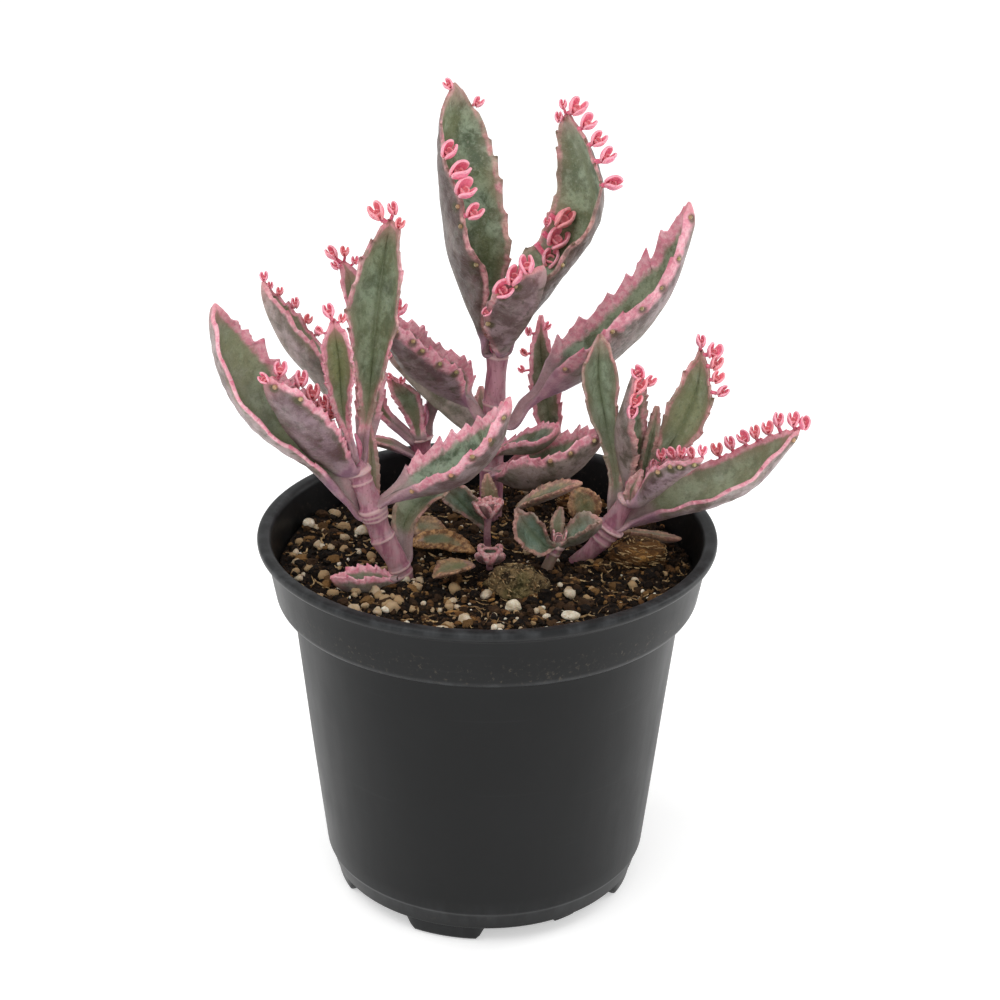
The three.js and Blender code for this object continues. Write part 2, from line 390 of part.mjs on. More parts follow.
    [-0.1, 12, 96.8, -1.5, 11.1, 96.7, 1.4, 11.2, 97.1],
    [-0.3, 12, 99.5, -0.7, 11.9, 99.4, 0.1, 11.9, 99.5],
  ],
  leaf_m10: [
    [16.6, -1.5, 88.4, 15.7, -1.8, 88.4, 17.4, -1.8, 88.5],
    [16.3, -1, 92, 14.7, -1.6, 92.2, 17.8, -1.8, 92.2],
    [16.7, -0.5, 94.4, 15.4, -0.9, 94.8, 17.9, -1.2, 94.3],
    [17.1, 0, 96.5, 16.8, -0.1, 96.6, 17.5, -0.1, 96.5],
  ],
  leaf_m12: [
    [-3.4, -13, 87.2, -2.7, -14.1, 87.7, -4.1, -11.9, 87.7],
    [-6.6, -15, 87.1, -4.9, -17.8, 88.6, -8.4, -12.2, 88.6],
    [-9.7, -17, 87, -8.4, -19.8, 88.4, -11.3, -14.3, 88.4],
    [-12.2, -18, 86.7, -12.1, -18.4, 86.8, -12.4, -17.6, 86.8],
  ],
  leaf_r5: [
    [35.7, 4, 99.8, 34.6, 3.7, 100.1, 36.7, 3.3, 99.7],
    [36.9, 4.5, 105.8, 35.3, 3.7, 106.2, 38.2, 3.3, 105.7],
    [37.9, 5, 111.7, 36.2, 4, 112, 39.3, 3.6, 111.6],
    [38.6, 5.5, 116.5, 37.4, 5, 116.8, 39.8, 4.7, 116.5],
    [39, 6, 119.8, 38.6, 5.9, 119.9, 39.4, 5.8, 119.8],
  ],
  leaf_r7: [
    [33.3, 1, 98.1, 32.1, 0.7, 98.2, 34.2, 0.4, 97.8],
    [33.8, 0, 101.6, 31.7, -0.7, 101.9, 34.7, -1.9, 100.9],
    [34.8, -0.5, 104.4, 33.4, -0.7, 104.8, 35.6, -1.7, 103.8],
    [35.6, -1, 106.6, 35.3, -0.9, 106.8, 35.9, -1.2, 106.5],
  ],
  leaf_r8: [
    [31.2, 8, 86, 31.5, 9.1, 86.4, 30.9, 7, 86.6],
    [35.2, 7, 86, 35.6, 8.8, 86.8, 34.9, 5.6, 87.4],
    [39.9, 6, 85.7, 40.5, 8.1, 86.7, 39.5, 4.4, 87.4],
    [43.4, 5, 86, 43.8, 6.7, 86.6, 43, 3.7, 87.1],
    [46, 4.5, 86.5, 46.1, 4.9, 86.6, 45.9, 4.2, 86.7],
  ],
};

// Old leaves that lie on the mix, in the same form.
const OLD_LEAVES = {
  old_leaf_1: [
    [-18.5, 10.6, 84.3, -19, 11.1, 85.3, -17.7, 9.8, 84],
    [-16.4, 12.4, 84.6, -17.1, 13.8, 87, -15.3, 9.8, 83.9],
    [-13.7, 12.5, 84.6, -13.6, 14.1, 87, -14, 9.7, 83.9],
    [-11.5, 12, 84.5, -11.4, 13.1, 86.2, -11.8, 10.1, 84.1],
    [-10.1, 12.1, 84.5, -10.1, 12.3, 84.8, -10.1, 11.8, 84.5],
  ],
  old_leaf_2: [
    [-18, 5.9, 83.6, -18.2, 6.5, 84.4, -18, 4.9, 83.5],
    [-14.5, 5.9, 84.2, -14.6, 7.5, 86.2, -14.6, 3.3, 83.8],
    [-10.4, 5.2, 84.6, -9.8, 7, 86.9, -11.2, 2.4, 84.2],
    [-6.5, 3.5, 84.1, -5.6, 4.7, 86, -8, 1.6, 83.8],
    [-3.1, -0.3, 84.7, -3, -0.2, 84.9, -3.4, -0.5, 84.7],
  ],
};

// One row per station of a stem: x, y, z, radius.
const STEMS = {
  stem_left: [
    [-19.2, -11, 82.6, 3],
    [-21.4, -11, 88.5, 2.8],
    [-24.2, -11, 93.8, 2.6],
    [-26.6, -11, 101.4, 2.5],
    [-28.6, -11, 107.1, 2.3],
    [-29.6, -11, 110.5, 2],
    [-30.5, -11, 113, 1.2],
  ],
  stem_centre: [
    [0.7, 28, 80, 3],
    [0.6, 28, 88.2, 2.9],
    [0.8, 28, 96.3, 2.8],
    [0.9, 28, 104.2, 2.7],
    [1.3, 27.5, 112.3, 2.6],
    [1.5, 27.5, 119.6, 2.4],
    [1.7, 27.5, 123.4, 2.2],
    [1.9, 27.5, 125.2, 1.2],
  ],
  stem_right: [
    [17.4, 3, 77.3, 2.6],
    [20.9, 3, 80.5, 2.7],
    [24.4, 3, 83.8, 2.6],
    [27.4, 3, 87.5, 2.5],
    [29.6, 3, 91.2, 2.4],
    [31.6, 2.5, 95.3, 2.1],
    [33.1, 2, 98.4, 1.5],
    [33.7, 2, 99.9, 1],
  ],
  stem_back: [
    [-13.5, 41, 79.5, 2.6],
    [-15.3, 42, 85.9, 2.5],
    [-17, 42.5, 92.6, 2.4],
    [-17.8, 43, 96.7, 2.1],
    [-18.1, 43, 98.9, 1.2],
  ],
  stem_middle: [
    [14.3, -4, 83.1, 1.5],
    [15.4, -3.5, 85.7, 1.3],
    [16.3, -3.2, 87.9, 1.2],
    [16.5, -3, 89.1, 0.8],
  ],
};

// Marginal plantlets: margin, station along the leaf (0 to 1), point on the margin, middle of the cup, diameter of the cup.
const PLANTLETS = {
  leaf_c1: [
    ["L", 0.988, -9.4, 29, 188.5, -10.2, 28.2, 189.1, 2.3],
    ["R", 0.921, -4.6, 34.1, 183.1, -3.4, 33.3, 183.8, 2.3],
    ["L", 0.774, -10.9, 16.6, 176.6, -9.7, 15.7, 177, 3.8],
    ["L", 0.695, -9.3, 14.5, 172, -7.3, 13.8, 172.8, 4.3],
    ["L", 0.634, -7.7, 13.6, 168.1, -6, 12.8, 168.9, 4.3],
    ["L", 0.549, -6, 12.7, 162.9, -3.9, 12, 163.8, 3.6],
  ],
  leaf_c2: [
    ["R", 1, 17.4, 37.5, 180.6, 19.6, 37, 182, 4],
    ["L", 1, 17, 38.3, 180.4, 16.4, 38.1, 182.4, 2.1],
    ["L", 0.982, 16.3, 39, 178.9, 15.5, 38.1, 179.3, 2.3],
    ["R", 0.945, 19.9, 32.8, 178, 22.1, 32.4, 179.6, 3.5],
    ["R", 0.884, 22, 29.8, 175, 24.4, 29.3, 176.4, 3.5],
    ["R", 0.817, 23.7, 27.5, 171.8, 26.5, 27, 173.1, 3.7],
    ["R", 0.732, 25, 24.8, 167.1, 27.9, 23.9, 167.6, 3.7],
    ["L", 0.555, 13.6, 40, 155.1, 17.1, 38.6, 154.2, 4.8],
    ["L", 0.481, 12.1, 40.3, 150.6, 15.7, 38.6, 149.2, 4.8],
    ["L", 0.427, 10.5, 40.3, 147.9, 14.1, 37.7, 144.7, 4.3],
    ["L", 0.512, 12.8, 40.2, 152.5, 13.2, 38.3, 153.6, 1.9],
  ],
  leaf_c3: [
    ["R", 0.915, 8.9, 9.2, 151.1, 8.3, 8.8, 152.5, 3.9],
    ["R", 0.817, 5.6, 9.1, 149.3, 5.4, 8.2, 150, 4.1],
    ["R", 0.713, 2.6, 9, 147, 2.9, 7.9, 146.9, 4.1],
    ["R", 0.451, -1.3, 13.4, 139.7, -0.9, 12.4, 140, 2.1],
  ],
  leaf_c7: [
    ["R", 0.915, 13.6, 43.2, 125.5, 13.9, 42.4, 126, 2],
    ["L", 0.884, 10.7, 42.5, 124.1, 9.4, 41.8, 124.8, 2],
    ["L", 0.756, 9.7, 40.4, 119.7, 8.3, 39.5, 120.1, 2],
    ["L", 0.64, 9.5, 39.3, 115.7, 7.8, 38.4, 116.1, 1.7],
  ],
  leaf_c5: [
    ["R", 0.866, -21.3, 7.7, 139.9, -20.8, 7.6, 142.2, 3.4],
    ["L", 0.927, -22.7, 3, 140.7, -25.3, 2, 141, 3.6],
    ["L", 0.89, -22.5, 3.1, 140.2, -24.1, 1.2, 138.4, 1.8],
  ],
  leaf_l2: [
    ["R", 1, -46.8, -30.6, 139.7, -47.6, -31.6, 139.7, 2.3],
    ["R", 0.927, -45.2, -26.6, 137.9, -44.6, -26.8, 140, 3],
    ["R", 0.793, -41.8, -20.2, 133.7, -40.8, -20.5, 135.3, 3.3],
    ["R", 0.658, -39.2, -16.3, 130, -38.6, -17, 130.9, 3.3],
    ["R", 0.542, -37, -13.7, 126.7, -36.5, -14.5, 127.4, 3.1],
    ["R", 0.445, -35.5, -11.9, 123.7, -34.9, -12.6, 124.5, 2.7],
    ["R", 0.366, -34.4, -10.8, 121.3, -35, -11.9, 121.3, 2],
  ],
  leaf_l3: [
    ["R", 1, -50.8, 2.9, 150, -50.8, 2.3, 151.2, 2],
    ["R", 0.963, -49.9, 3.6, 148.5, -49.5, 2.7, 148.9, 1.6],
    ["R", 0.902, -48.1, 4.5, 146.3, -47.5, 3.8, 147.2, 1.8],
    ["R", 0.805, -45.1, 5.3, 143.1, -44.2, 4.7, 144.1, 2.3],
    ["R", 0.707, -42.4, 5.9, 139.3, -41.4, 5.2, 140.1, 2],
    ["R", 0.628, -40.1, 5.9, 136.1, -39.2, 5.3, 137.2, 2.1],
  ],
  leaf_l4: [
    ["L", 1, -33.9, -19.4, 149, -34.5, -19.8, 150.8, 2.8],
    ["R", 0.976, -32.7, -19.9, 148.4, -31.6, -20.5, 149.5, 1.9],
    ["L", 0.915, -35.1, -21.6, 146.5, -36.3, -22.3, 147.3, 1.7],
  ],
  leaf_l5: [
    ["L", 0.988, -23.3, 1.5, 164.6, -25.2, 1.3, 166.7, 3.8],
    ["R", 1, -22.1, 2.6, 165, -21.7, 2.5, 167.1, 2.7],
    ["R", 0.969, -20.8, 0, 164.2, -20, -0.8, 164.8, 2.2],
  ],
  leaf_l6: [
    ["L", 1, -34.5, 13.7, 151.3, -36.3, 13.4, 153.2, 3],
    ["R", 1, -33.6, 14.1, 151.5, -33.4, 13.9, 153.6, 2.1],
    ["L", 0.982, -34.4, 13, 150.6, -35.4, 12, 150.8, 2.1],
    ["R", 0.963, -32.1, 14.1, 150.2, -31.1, 13.6, 151.6, 1.8],
  ],
  leaf_b2: [
    ["R", 0.976, -24.5, 40.7, 113.3, -24.8, 39.6, 113.3, 1.7],
    ["R", 0.872, -21.9, 40.3, 112, -21.8, 39.4, 112.4, 1.7],
  ],
  leaf_c6: [
    ["R", 0.994, -25.3, 41.5, 118.3, -25.3, 40.6, 118.7, 2.2],
  ],
  leaf_r1: [
    ["L", 0.597, 54.4, 6.3, 107, 53.5, 6.1, 108.9, 2.8],
    ["L", 0.664, 57.3, 5.1, 109, 56.3, 4.9, 111, 3],
    ["L", 0.732, 60, 3.5, 111.2, 59.1, 3.2, 113.2, 2.8],
    ["L", 0.793, 62.3, 1.7, 113.3, 61.5, 1.5, 115.2, 2.8],
    ["L", 0.86, 64.8, -0.4, 115.4, 64, -0.7, 117.2, 2.8],
    ["L", 0.915, 66.9, -2.6, 117.1, 66.1, -2.5, 119.9, 3],
    ["L", 0.988, 69.7, -6, 119.4, 69, -6.1, 121.6, 3],
    ["L", 1, 70.2, -6.6, 119.8, 71.4, -7.1, 121.1, 2.9],
  ],
  leaf_r2: [
    ["L", 1, 48.9, 12.6, 131.6, 49, 12.3, 133.4, 2.8],
    ["R", 0.969, 49.7, 11.2, 130.6, 52, 10.6, 131.6, 3.5],
    ["R", 0.908, 50.4, 8.7, 128.8, 52.3, 8, 129.6, 3.2],
    ["R", 0.829, 51, 6.2, 126.4, 52.5, 5.4, 127.2, 2.8],
    ["R", 0.756, 51.3, 4.5, 124, 53.6, 3.6, 124.4, 2.8],
  ],
  leaf_r3: [
    ["L", 0.957, 33.7, -1.3, 130.7, 33.7, -2.2, 131, 2.9],
    ["L", 0.847, 33.2, -2.9, 128, 34, -3.9, 128.3, 3.4],
    ["L", 0.738, 32.5, -4.1, 125, 33.1, -5, 125.3, 2.9],
    ["L", 0.646, 32.6, -4.6, 122.4, 32.5, -5.5, 122.8, 3],
    ["R", 0.884, 35.6, 2.3, 126.7, 36.8, 1.6, 127.5, 2.5],
  ],
  leaf_r6: [
    ["L", 0.335, 38.2, 1.2, 107.3, 38.2, 0.2, 107.6, 1.9],
    ["L", 0.488, 40.3, -1.3, 109.1, 39.8, -1.7, 110.7, 2.5],
    ["L", 0.634, 42.1, -4.5, 111.2, 41.8, -5, 112.4, 2.5],
    ["L", 0.75, 44, -7.5, 112.7, 43.8, -8, 114, 2.5],
    ["L", 0.854, 45.7, -10.4, 113.9, 45.8, -11, 115.2, 2.3],
    ["L", 1, 48, -15.5, 116.2, 47.8, -15.9, 117.8, 2.2],
  ],
};

// leaves with large teeth on their margins
const TOOTHED = ["leaf_c1", "leaf_c2", "leaf_c3", "leaf_c4", "leaf_c5", "leaf_l1", "leaf_l2", "leaf_l3", "leaf_l5", "leaf_l7", "leaf_r1", "leaf_r2", "leaf_r3", "leaf_r4", "leaf_m1", "leaf_l8"];

// ---- helpers ----
const V = (x, y, z) => new THREE.Vector3(x, y, z);

function solid(geometry) {
  const g = geometry.clone();
  g.deleteAttribute("normal");
  g.deleteAttribute("uv");
  const m = mergeVertices(g, 1e-4);
  const make = (tri) =>
    new wasm.Manifold(
      new wasm.Mesh({ numProp: 3, vertProperties: new Float32Array(m.attributes.position.array), triVerts: tri }),
    );
  const tri = new Uint32Array(m.index.array);
  let s = make(tri);
  if (s.volume() < 0) {
    for (let i = 0; i < tri.length; i += 3) [tri[i + 1], tri[i + 2]] = [tri[i + 2], tri[i + 1]];
    s = make(tri);
  }
  return s;
}

// The largest of a solid's separate bodies.
function largest(s) {
  const parts = s.decompose();
  return parts.reduce((a, b) => (b.volume() > a.volume() ? b : a));
}

// A body in the group's frame, with its vertices on a fine grid so that slivers close up.
const GRID = 0.004;
function tidy(body, tolerance) {
  let s = body;
  for (let pass = 0; pass < 3; pass++) {
    const m = (tolerance ? s.simplify(tolerance) : s).getMesh(), n = m.numProp;
    const p = new Float32Array(m.numVert * 3);
    for (let i = 0; i < m.numVert; i++)
      for (let k = 0; k < 3; k++) p[3 * i + k] = Math.round(m.vertProperties[i * n + k] / GRID) * GRID;
    const g = new THREE.BufferGeometry();
    g.setAttribute("position", new THREE.BufferAttribute(p, 3));
    g.setIndex(new THREE.BufferAttribute(new Uint32Array(m.triVerts), 1));
    s = largest(solid(g));
  }
  return s;
}

function geometryOf(body) {
  const m = body.getMesh();
  const g = new THREE.BufferGeometry();
  g.setAttribute("position", new THREE.BufferAttribute(new Float32Array(m.vertProperties), 3));
  g.setIndex(new THREE.BufferAttribute(new Uint32Array(m.triVerts), 1));
  g.computeVertexNormals();
  return g;
}

// A closed loft through rings of points, with flat end caps fanned from their first point.
function loft(rings) {
  const n = rings[0].length, p = [], idx = [];
  for (const r of rings) for (const v of r) p.push(v.x, v.y, v.z);
  for (let k = 0; k + 1 < rings.length; k++)
    for (let i = 0; i < n; i++) {
      const a = k * n + i, b = k * n + ((i + 1) % n), c = a + n, d = b + n;
      idx.push(a, b, d, a, d, c);
    }
  const last = (rings.length - 1) * n;
  for (let i = 1; i + 1 < n; i++) {
    idx.push(0, i + 1, i);
    idx.push(last, last + i, last + i + 1);
  }
  const g = new THREE.BufferGeometry();
  g.setAttribute("position", new THREE.BufferAttribute(new Float32Array(p), 3));
  g.setIndex(idx);
  return g;
}

// Smooth curve through rows of numbers, with the distance between their first three numbers as its parameter.
function spline(rows) {
  const n = rows.length, d = [0];
  for (let i = 1; i < n; i++)
    d.push(d[i - 1] + Math.hypot(...[0, 1, 2].map((k) => rows[i][k] - rows[i - 1][k])));
  const length = d[n - 1];
  for (let i = 0; i < n; i++) d[i] /= length;
  const slope = rows.map((row, i) =>
    row.map((_, k) => {
      if (i === 0) return (rows[1][k] - rows[0][k]) / (d[1] - d[0]);
      if (i === n - 1) return (rows[n - 1][k] - rows[n - 2][k]) / (d[n - 1] - d[n - 2]);
      const a = (rows[i][k] - rows[i - 1][k]) / (d[i] - d[i - 1]);
      const b = (rows[i + 1][k] - rows[i][k]) / (d[i + 1] - d[i]);
      const w = (d[i + 1] - d[i]) / (d[i + 1] - d[i - 1]);
      return a * w + b * (1 - w);
    }),
  );
  const at = (t) => {
    let i = 0;
    while (i < n - 2 && t >= d[i + 1]) i++;
    const h = d[i + 1] - d[i], u = (t - d[i]) / h, u2 = u * u, u3 = u2 * u;
    return rows[i].map(
      (v, k) =>
        (2 * u3 - 3 * u2 + 1) * v + (u3 - 2 * u2 + u) * h * slope[i][k] +
        (-2 * u3 + 3 * u2) * rows[i + 1][k] + (u3 - u2) * h * slope[i + 1][k],
    );
  };
  return { at, length };
}

// A folded leaf blade: two halves that rise from the midrib in a rounded V. grow swells it all over.
function leafSolid(rows, { steps = 9, teeth = false, grow = 0 } = {}) {
  const s = spline(rows), rings = [];
  const pts = [];
  for (let k = 0; k <= steps; k++) {
    const q = s.at(k / steps);
    pts.push({ M: V(q[0], q[1], q[2]), L: V(q[3], q[4], q[5]), R: V(q[6], q[7], q[8]) });
  }
  pts.forEach((p, k) => {
    const t = k / steps;
    const T = pts[Math.min(k + 1, steps)].M.clone().sub(pts[Math.max(k - 1, 0)].M).normalize();
    const S = p.R.clone().sub(p.L).normalize();
    const N = S.clone().cross(T).normalize(); // towards the upper face
    const hw = Math.max(0.4, (p.L.distanceTo(p.M) + p.R.distanceTo(p.M)) / 2);
    const thick = Math.min(1.9 + 1.0 * Math.max(0, 1 - t * 5), 0.5 + hw * 0.75); // at the midrib
    const end = grow * (k === 0 ? -1 : k === steps ? 1 : 0);
    const M = p.M.clone().addScaledVector(T, end);
    const flesh = Math.min(1.35, 0.3 + hw * 0.4); // half way out
    const half = (E) => {
      const v = E.clone().sub(p.M);
      const w = v.length();
      const dir = v.clone().normalize();
      // normal of this half towards the upper face
      let n = T.clone().cross(dir).normalize();
      if (n.dot(N) < 0) n.negate();
      const bite = teeth && k > 1 && k < steps && k % 2 === 1 ? TOOTH * Math.min(1, w / 8) : 0;
      const mid = M.clone().addScaledVector(dir, w * 0.5).addScaledVector(n, -0.1 * w);
      return {
        edge: M.clone().addScaledVector(dir, w + bite + grow),
        up: mid.clone().addScaledVector(n, RISE * flesh + grow),
        down: mid.clone().addScaledVector(n, (RISE - 1) * flesh - grow),
      };
    };
    const a = half(p.L), b = half(p.R);
    rings.push([
      a.edge, a.up, M.clone().addScaledVector(N, RISE * thick + grow), b.up,
      b.edge, b.down, M.clone().addScaledVector(N, (RISE - 1) * thick - grow), a.down,
    ]);
  });
  return solid(loft(rings));
}

// A round stem with a slight swelling at each node, rounded at its tip. grow swells it all over.
function stemSolid(rows, { grow = 0, sink = SOCKET } = {}) {
  const first = V(...rows[0]), second = V(...rows[1]);
  const down = first.clone().sub(second).normalize();
  if (down.z > -0.8) { down.z = -0.8; down.normalize(); }
  const foot = first.clone().addScaledVector(down, sink + grow);
  const all = [[foot.x, foot.y, foot.z, rows[0][3] * 0.9], ...rows];
  const s = spline(all), steps = Math.max(3, Math.round(s.length / 8)), rings = [];
  const P = [];
  for (let k = 0; k <= steps; k++) P.push(s.at(k / steps));
  let side = null;
  P.forEach((q, k) => {
    const a = P[Math.max(0, k - 1)], b = P[Math.min(steps, k + 1)];
    const T = V(b[0] - a[0], b[1] - a[1], b[2] - a[2]).normalize();
    if (!side) side = V(1, 0, 0);
    side.addScaledVector(T, -side.dot(T)).normalize();
    const other = T.clone().cross(side);
    const r = q[3] + grow, C = V(q[0], q[1], q[2]).addScaledVector(T, k === steps ? grow : 0);
    const ring = [];
    for (let i = 0; i < STEM_SIDES; i++) {
      const u = (2 * Math.PI * i) / STEM_SIDES;
      ring.push(C.clone().addScaledVector(side, r * Math.cos(u)).addScaledVector(other, r * Math.sin(u)));
    }
    rings.push(ring);
  });
  return solid(loft(rings));
}

// A plantlet: a short stalk that opens into a shallow cup.
function plantletSolid([, , ax, ay, az, cx, cy, cz, dia], inward) {
  const A = V(ax, ay, az), C = V(cx, cy, cz);
  const dir = C.clone().sub(A);
  if (dir.length() < 0.6) dir.set(0, -0.5, 1);
  dir.normalize();
  const from = A.clone().addScaledVector(inward, 0.7);
  const r = dia / 2, side = V(0.3, 1, 0.2).cross(dir).normalize(), other = dir.clone().cross(side);
  const ring = (c, rad) => {
    const out = [];
    for (let i = 0; i < 4; i++) {
      const u = (Math.PI * i) / 2;
      out.push(c.clone().addScaledVector(side, rad * Math.cos(u)).addScaledVector(other, rad * Math.sin(u)));
    }
    return out;
  };
  return solid(
    loft([
      ring(from, 0.5),
      ring(C.clone().addScaledVector(dir, -r * 0.5), 0.6),
      ring(C.clone().addScaledVector(dir, r * 0.35), r),
      ring(C.clone().addScaledVector(dir, -r * 0.1), r * 0.3),
    ]),
  );
}

// Level of the potting mix.
function soilTop(x, y) {
  return (
    SOIL_Z - 0.035 * y - 0.02 * x +
    0.55 * Math.sin(0.21 * x + 1.3) * Math.cos(0.17 * y - 0.6) +
    0.35 * Math.sin(0.43 * x - 0.31 * y + 2.1)
  );
}

// A rough lump: an icosahedron pushed in and out, then stretched.
function lumpSolid([x, y, z], [sx, sy, sz], seed, detail = 1, grow = 0) {
  const g = new THREE.IcosahedronGeometry(1, detail);
  g.deleteAttribute("normal");
  g.deleteAttribute("uv");
  const m = mergeVertices(g, 1e-4), p = m.attributes.position;
  for (let i = 0; i < p.count; i++) {
    const v = V(p.getX(i), p.getY(i), p.getZ(i)).normalize();
    const k =
      1 + 0.13 * Math.sin(3.1 * v.x + seed) * Math.cos(2.7 * v.y + 1.7 * seed) +
      0.09 * Math.sin(4.3 * v.z + 2.3 * seed);
    p.setXYZ(i, x + v.x * k * (sx + grow), y + v.y * k * (sy + grow), z + v.z * k * (sz + grow));
  }
  return solid(m);
}

const parts = []; // { name, body, colour, rough, metal }
const add = (name, body, colour, roughness = 0.6, metalness = 0) =>
  parts.push({ name, body, colour, roughness, metalness });

// ---- pot: lip, collar, tapered wall, seam, chamfered base, floor ----
const potProfile = [
  [0, FOOT_H], [37.5, FOOT_H], [38.8, 8.6], [46.2, COLLAR_Z - 0.3], [49.2, COLLAR_Z + 0.1], [51.9, POT_H - 2.4],
  [RIM_R, POT_H - 1.6], [RIM_R, POT_H - 0.6], [RIM_R - 0.7, POT_H], [50.9, POT_H], [48.2, COLLAR_Z + 1.2],
  [44.95, COLLAR_Z - 1.2], [37.3, 7.2], [36.4, FOOT_H + 1.5], [0, FOOT_H + 1.5],
];
let pot = solid(new THREE.LatheGeometry(potProfile.map(([r, z]) => new THREE.Vector2(r, z)), POT_SIDES).rotateX(Math.PI / 2));
// a foot: a short arc that stands under the rim of the floor, flush with the skirt, with sloping ends
for (const [a0, a1, outer] of FEET) {
  const arc = new THREE.Shape(), n = Math.max(1, Math.round((a1 - a0) / 16));
  const at = (deg, r) => [r * Math.sin((deg * Math.PI) / 180), -r * Math.cos((deg * Math.PI) / 180)];
  for (let i = 0; i <= n; i++) {
    const q = at(a0 + ((a1 - a0) * i) / n, outer);
    i ? arc.lineTo(...q) : arc.moveTo(...q);
  }
  for (let i = n; i >= 0; i--) arc.lineTo(...at(a0 + ((a1 - a0) * i) / n, 31.2));
  const foot = new THREE.ExtrudeGeometry(arc, { depth: FOOT_H + 0.5, bevelEnabled: false });
  const q = foot.attributes.position, mid = ((a0 + a1) / 2) * (Math.PI / 180);
  for (let i = 0; i < q.count; i++) {
    if (q.getZ(i) > 0.1) continue;
    const turn = Math.atan2(q.getX(i), -q.getY(i)), r = Math.hypot(q.getX(i), q.getY(i)) - (Math.hypot(q.getX(i), q.getY(i)) > 33 ? 0.5 : 0);
    let off = turn - mid;
    if (off > Math.PI) off -= 2 * Math.PI;
    if (off < -Math.PI) off += 2 * Math.PI;
    const a = mid + off * (1 - (a1 - a0 > 20 ? 0.27 : 0.2));
    q.setXY(i, r * Math.sin(a), -r * Math.cos(a));
  }
  pot = pot.add(solid(foot));
}
for (const deg of DRAIN_HOLES) {
  const a = (deg * Math.PI) / 180;
  const bore = new THREE.CylinderGeometry(3.2, 3.2, 8, 4).rotateX(Math.PI / 2).translate(31 * Math.sin(a), -31 * Math.cos(a), FOOT_H);
  pot = pot.subtract(solid(bore));
}
add("pot", pot, 0x1c1c1e, 0.42);

// ---- stems ----
const stems = {}, fatStems = {};
for (const [name, rows] of Object.entries(STEMS)) {
  stems[name] = stemSolid(rows);
  fatStems[name] = stemSolid(rows, { grow: GAP });
}

// ---- lumps and grains on the mix: x, y, then half sizes, then how far the middle is over the mix ----
const LUMPS = {
  moss_clod: [7.0, -16.1, [6.4, 5.6, 4.6], 2.2, 1.3, 1],
  bark_chunk_right: [35.5, 1.1, [6.6, 4.6, 4.2], 2, 2.2, 1],
  bark_chunk_mid: [22.3, 30.9, [5.2, 3.6, 3.8], 2.6, 3.1, 1],
  perlite_1: [19.0, -30.4, [2.1, 1.7, 1.3], 0.7, 0.4, 1],
  perlite_2: [6.1, -27.0, [1.8, 1.5, 1.3], 0.7, 4.4, 0],
  perlite_3: [-43.6, 16.6, [1.6, 1.6, 1.4], 0.7, 5.2, 0],
  perlite_4: [-30.8, 14.3, [1.5, 1.4, 1.3], 0.7, 6.6, 0],
};
const lumps = {}, fatLumps = {};
for (const [name, [x, y, size, lift, seed, detail]] of Object.entries(LUMPS)) {
  const at = [x, y, soilTop(x, y) + lift];
  lumps[name] = lumpSolid(at, size, seed, detail);
  fatLumps[name] = lumpSolid(at, size, seed, detail, GAP);
}

// ---- two small plantlets rooted in the mix ----
// A tuft: a stalk and small folded leaves round its top. Leaves as [bearing, rise, length, width, fold] in degrees and mm.
function tuftSolid(foot, top, r, leaves, grow = 0) {
  let s = stemSolid([[...foot, r], [(foot[0] + top[0]) / 2, (foot[1] + top[1]) / 2, (foot[2] + top[2]) / 2, r], [...top, r * 0.8]], { grow, sink: 5 });
  s = s.add(solid(new THREE.IcosahedronGeometry(r * 1.9 + grow, 0).translate(...top)));
  for (const [bearing, rise, length, width, fold] of leaves) {
    const b = (bearing * Math.PI) / 180, e = (rise * Math.PI) / 180, f = (fold * Math.PI) / 180;
    const d = V(Math.sin(b) * Math.cos(e), -Math.cos(b) * Math.cos(e), Math.sin(e));
    const S = d.clone().cross(V(0, 0, 1)).normalize(), N = S.clone().cross(d).normalize();
    const rows = [[0.12, 0.3], [0.35, 0.75], [0.6, 1], [0.85, 0.72], [1, 0.15]].map(([u, w]) => {
      const M = V(...top).addScaledVector(d, u * length).addScaledVector(N, 0.25 * length * u * u);
      const h = (w * width) / 2;
      const L = M.clone().addScaledVector(S, -h * Math.cos(f)).addScaledVector(N, h * Math.sin(f));
      const R = M.clone().addScaledVector(S, h * Math.cos(f)).addScaledVector(N, h * Math.sin(f));
      return [M.x, M.y, M.z, L.x, L.y, L.z, R.x, R.y, R.z];
    });
    s = s.add(leafSolid(rows, { steps: 3, grow }));
  }
  return largest(s);
}
const TUFTS = {
  rosette_low: [0.7, -4.9, 0.5, 0.7, -5.9, 86.4, 0.9, [[-82, 12, 3.6, 4.4, 12], [82, 12, 3.6, 4.4, 12], [0, 8, 3.2, 4.6, 14], [180, 22, 2.6, 3.2, 12]]],
  rosette_stalked: [-0.3, 3.1, 0.5, 0.1, 3.6, 92.3, 0.9, [[-90, 32, 4.4, 3.2, 30], [-40, 42, 4, 3, 30], [20, 50, 4, 3, 30], [85, 35, 4.2, 3.2, 30], [160, 45, 3.6, 3, 30]]],
};
const tufts = {}, fatTufts = {};
for (const [name, [x, y, foot, tx, ty, tz, r, leaves]] of Object.entries(TUFTS)) {
  const base = [x, y, soilTop(x, y) - foot];
  tufts[name] = tuftSolid(base, [tx, ty, tz], r, leaves);
  fatTufts[name] = tuftSolid(base, [tx, ty, tz], r, leaves, GAP);
}

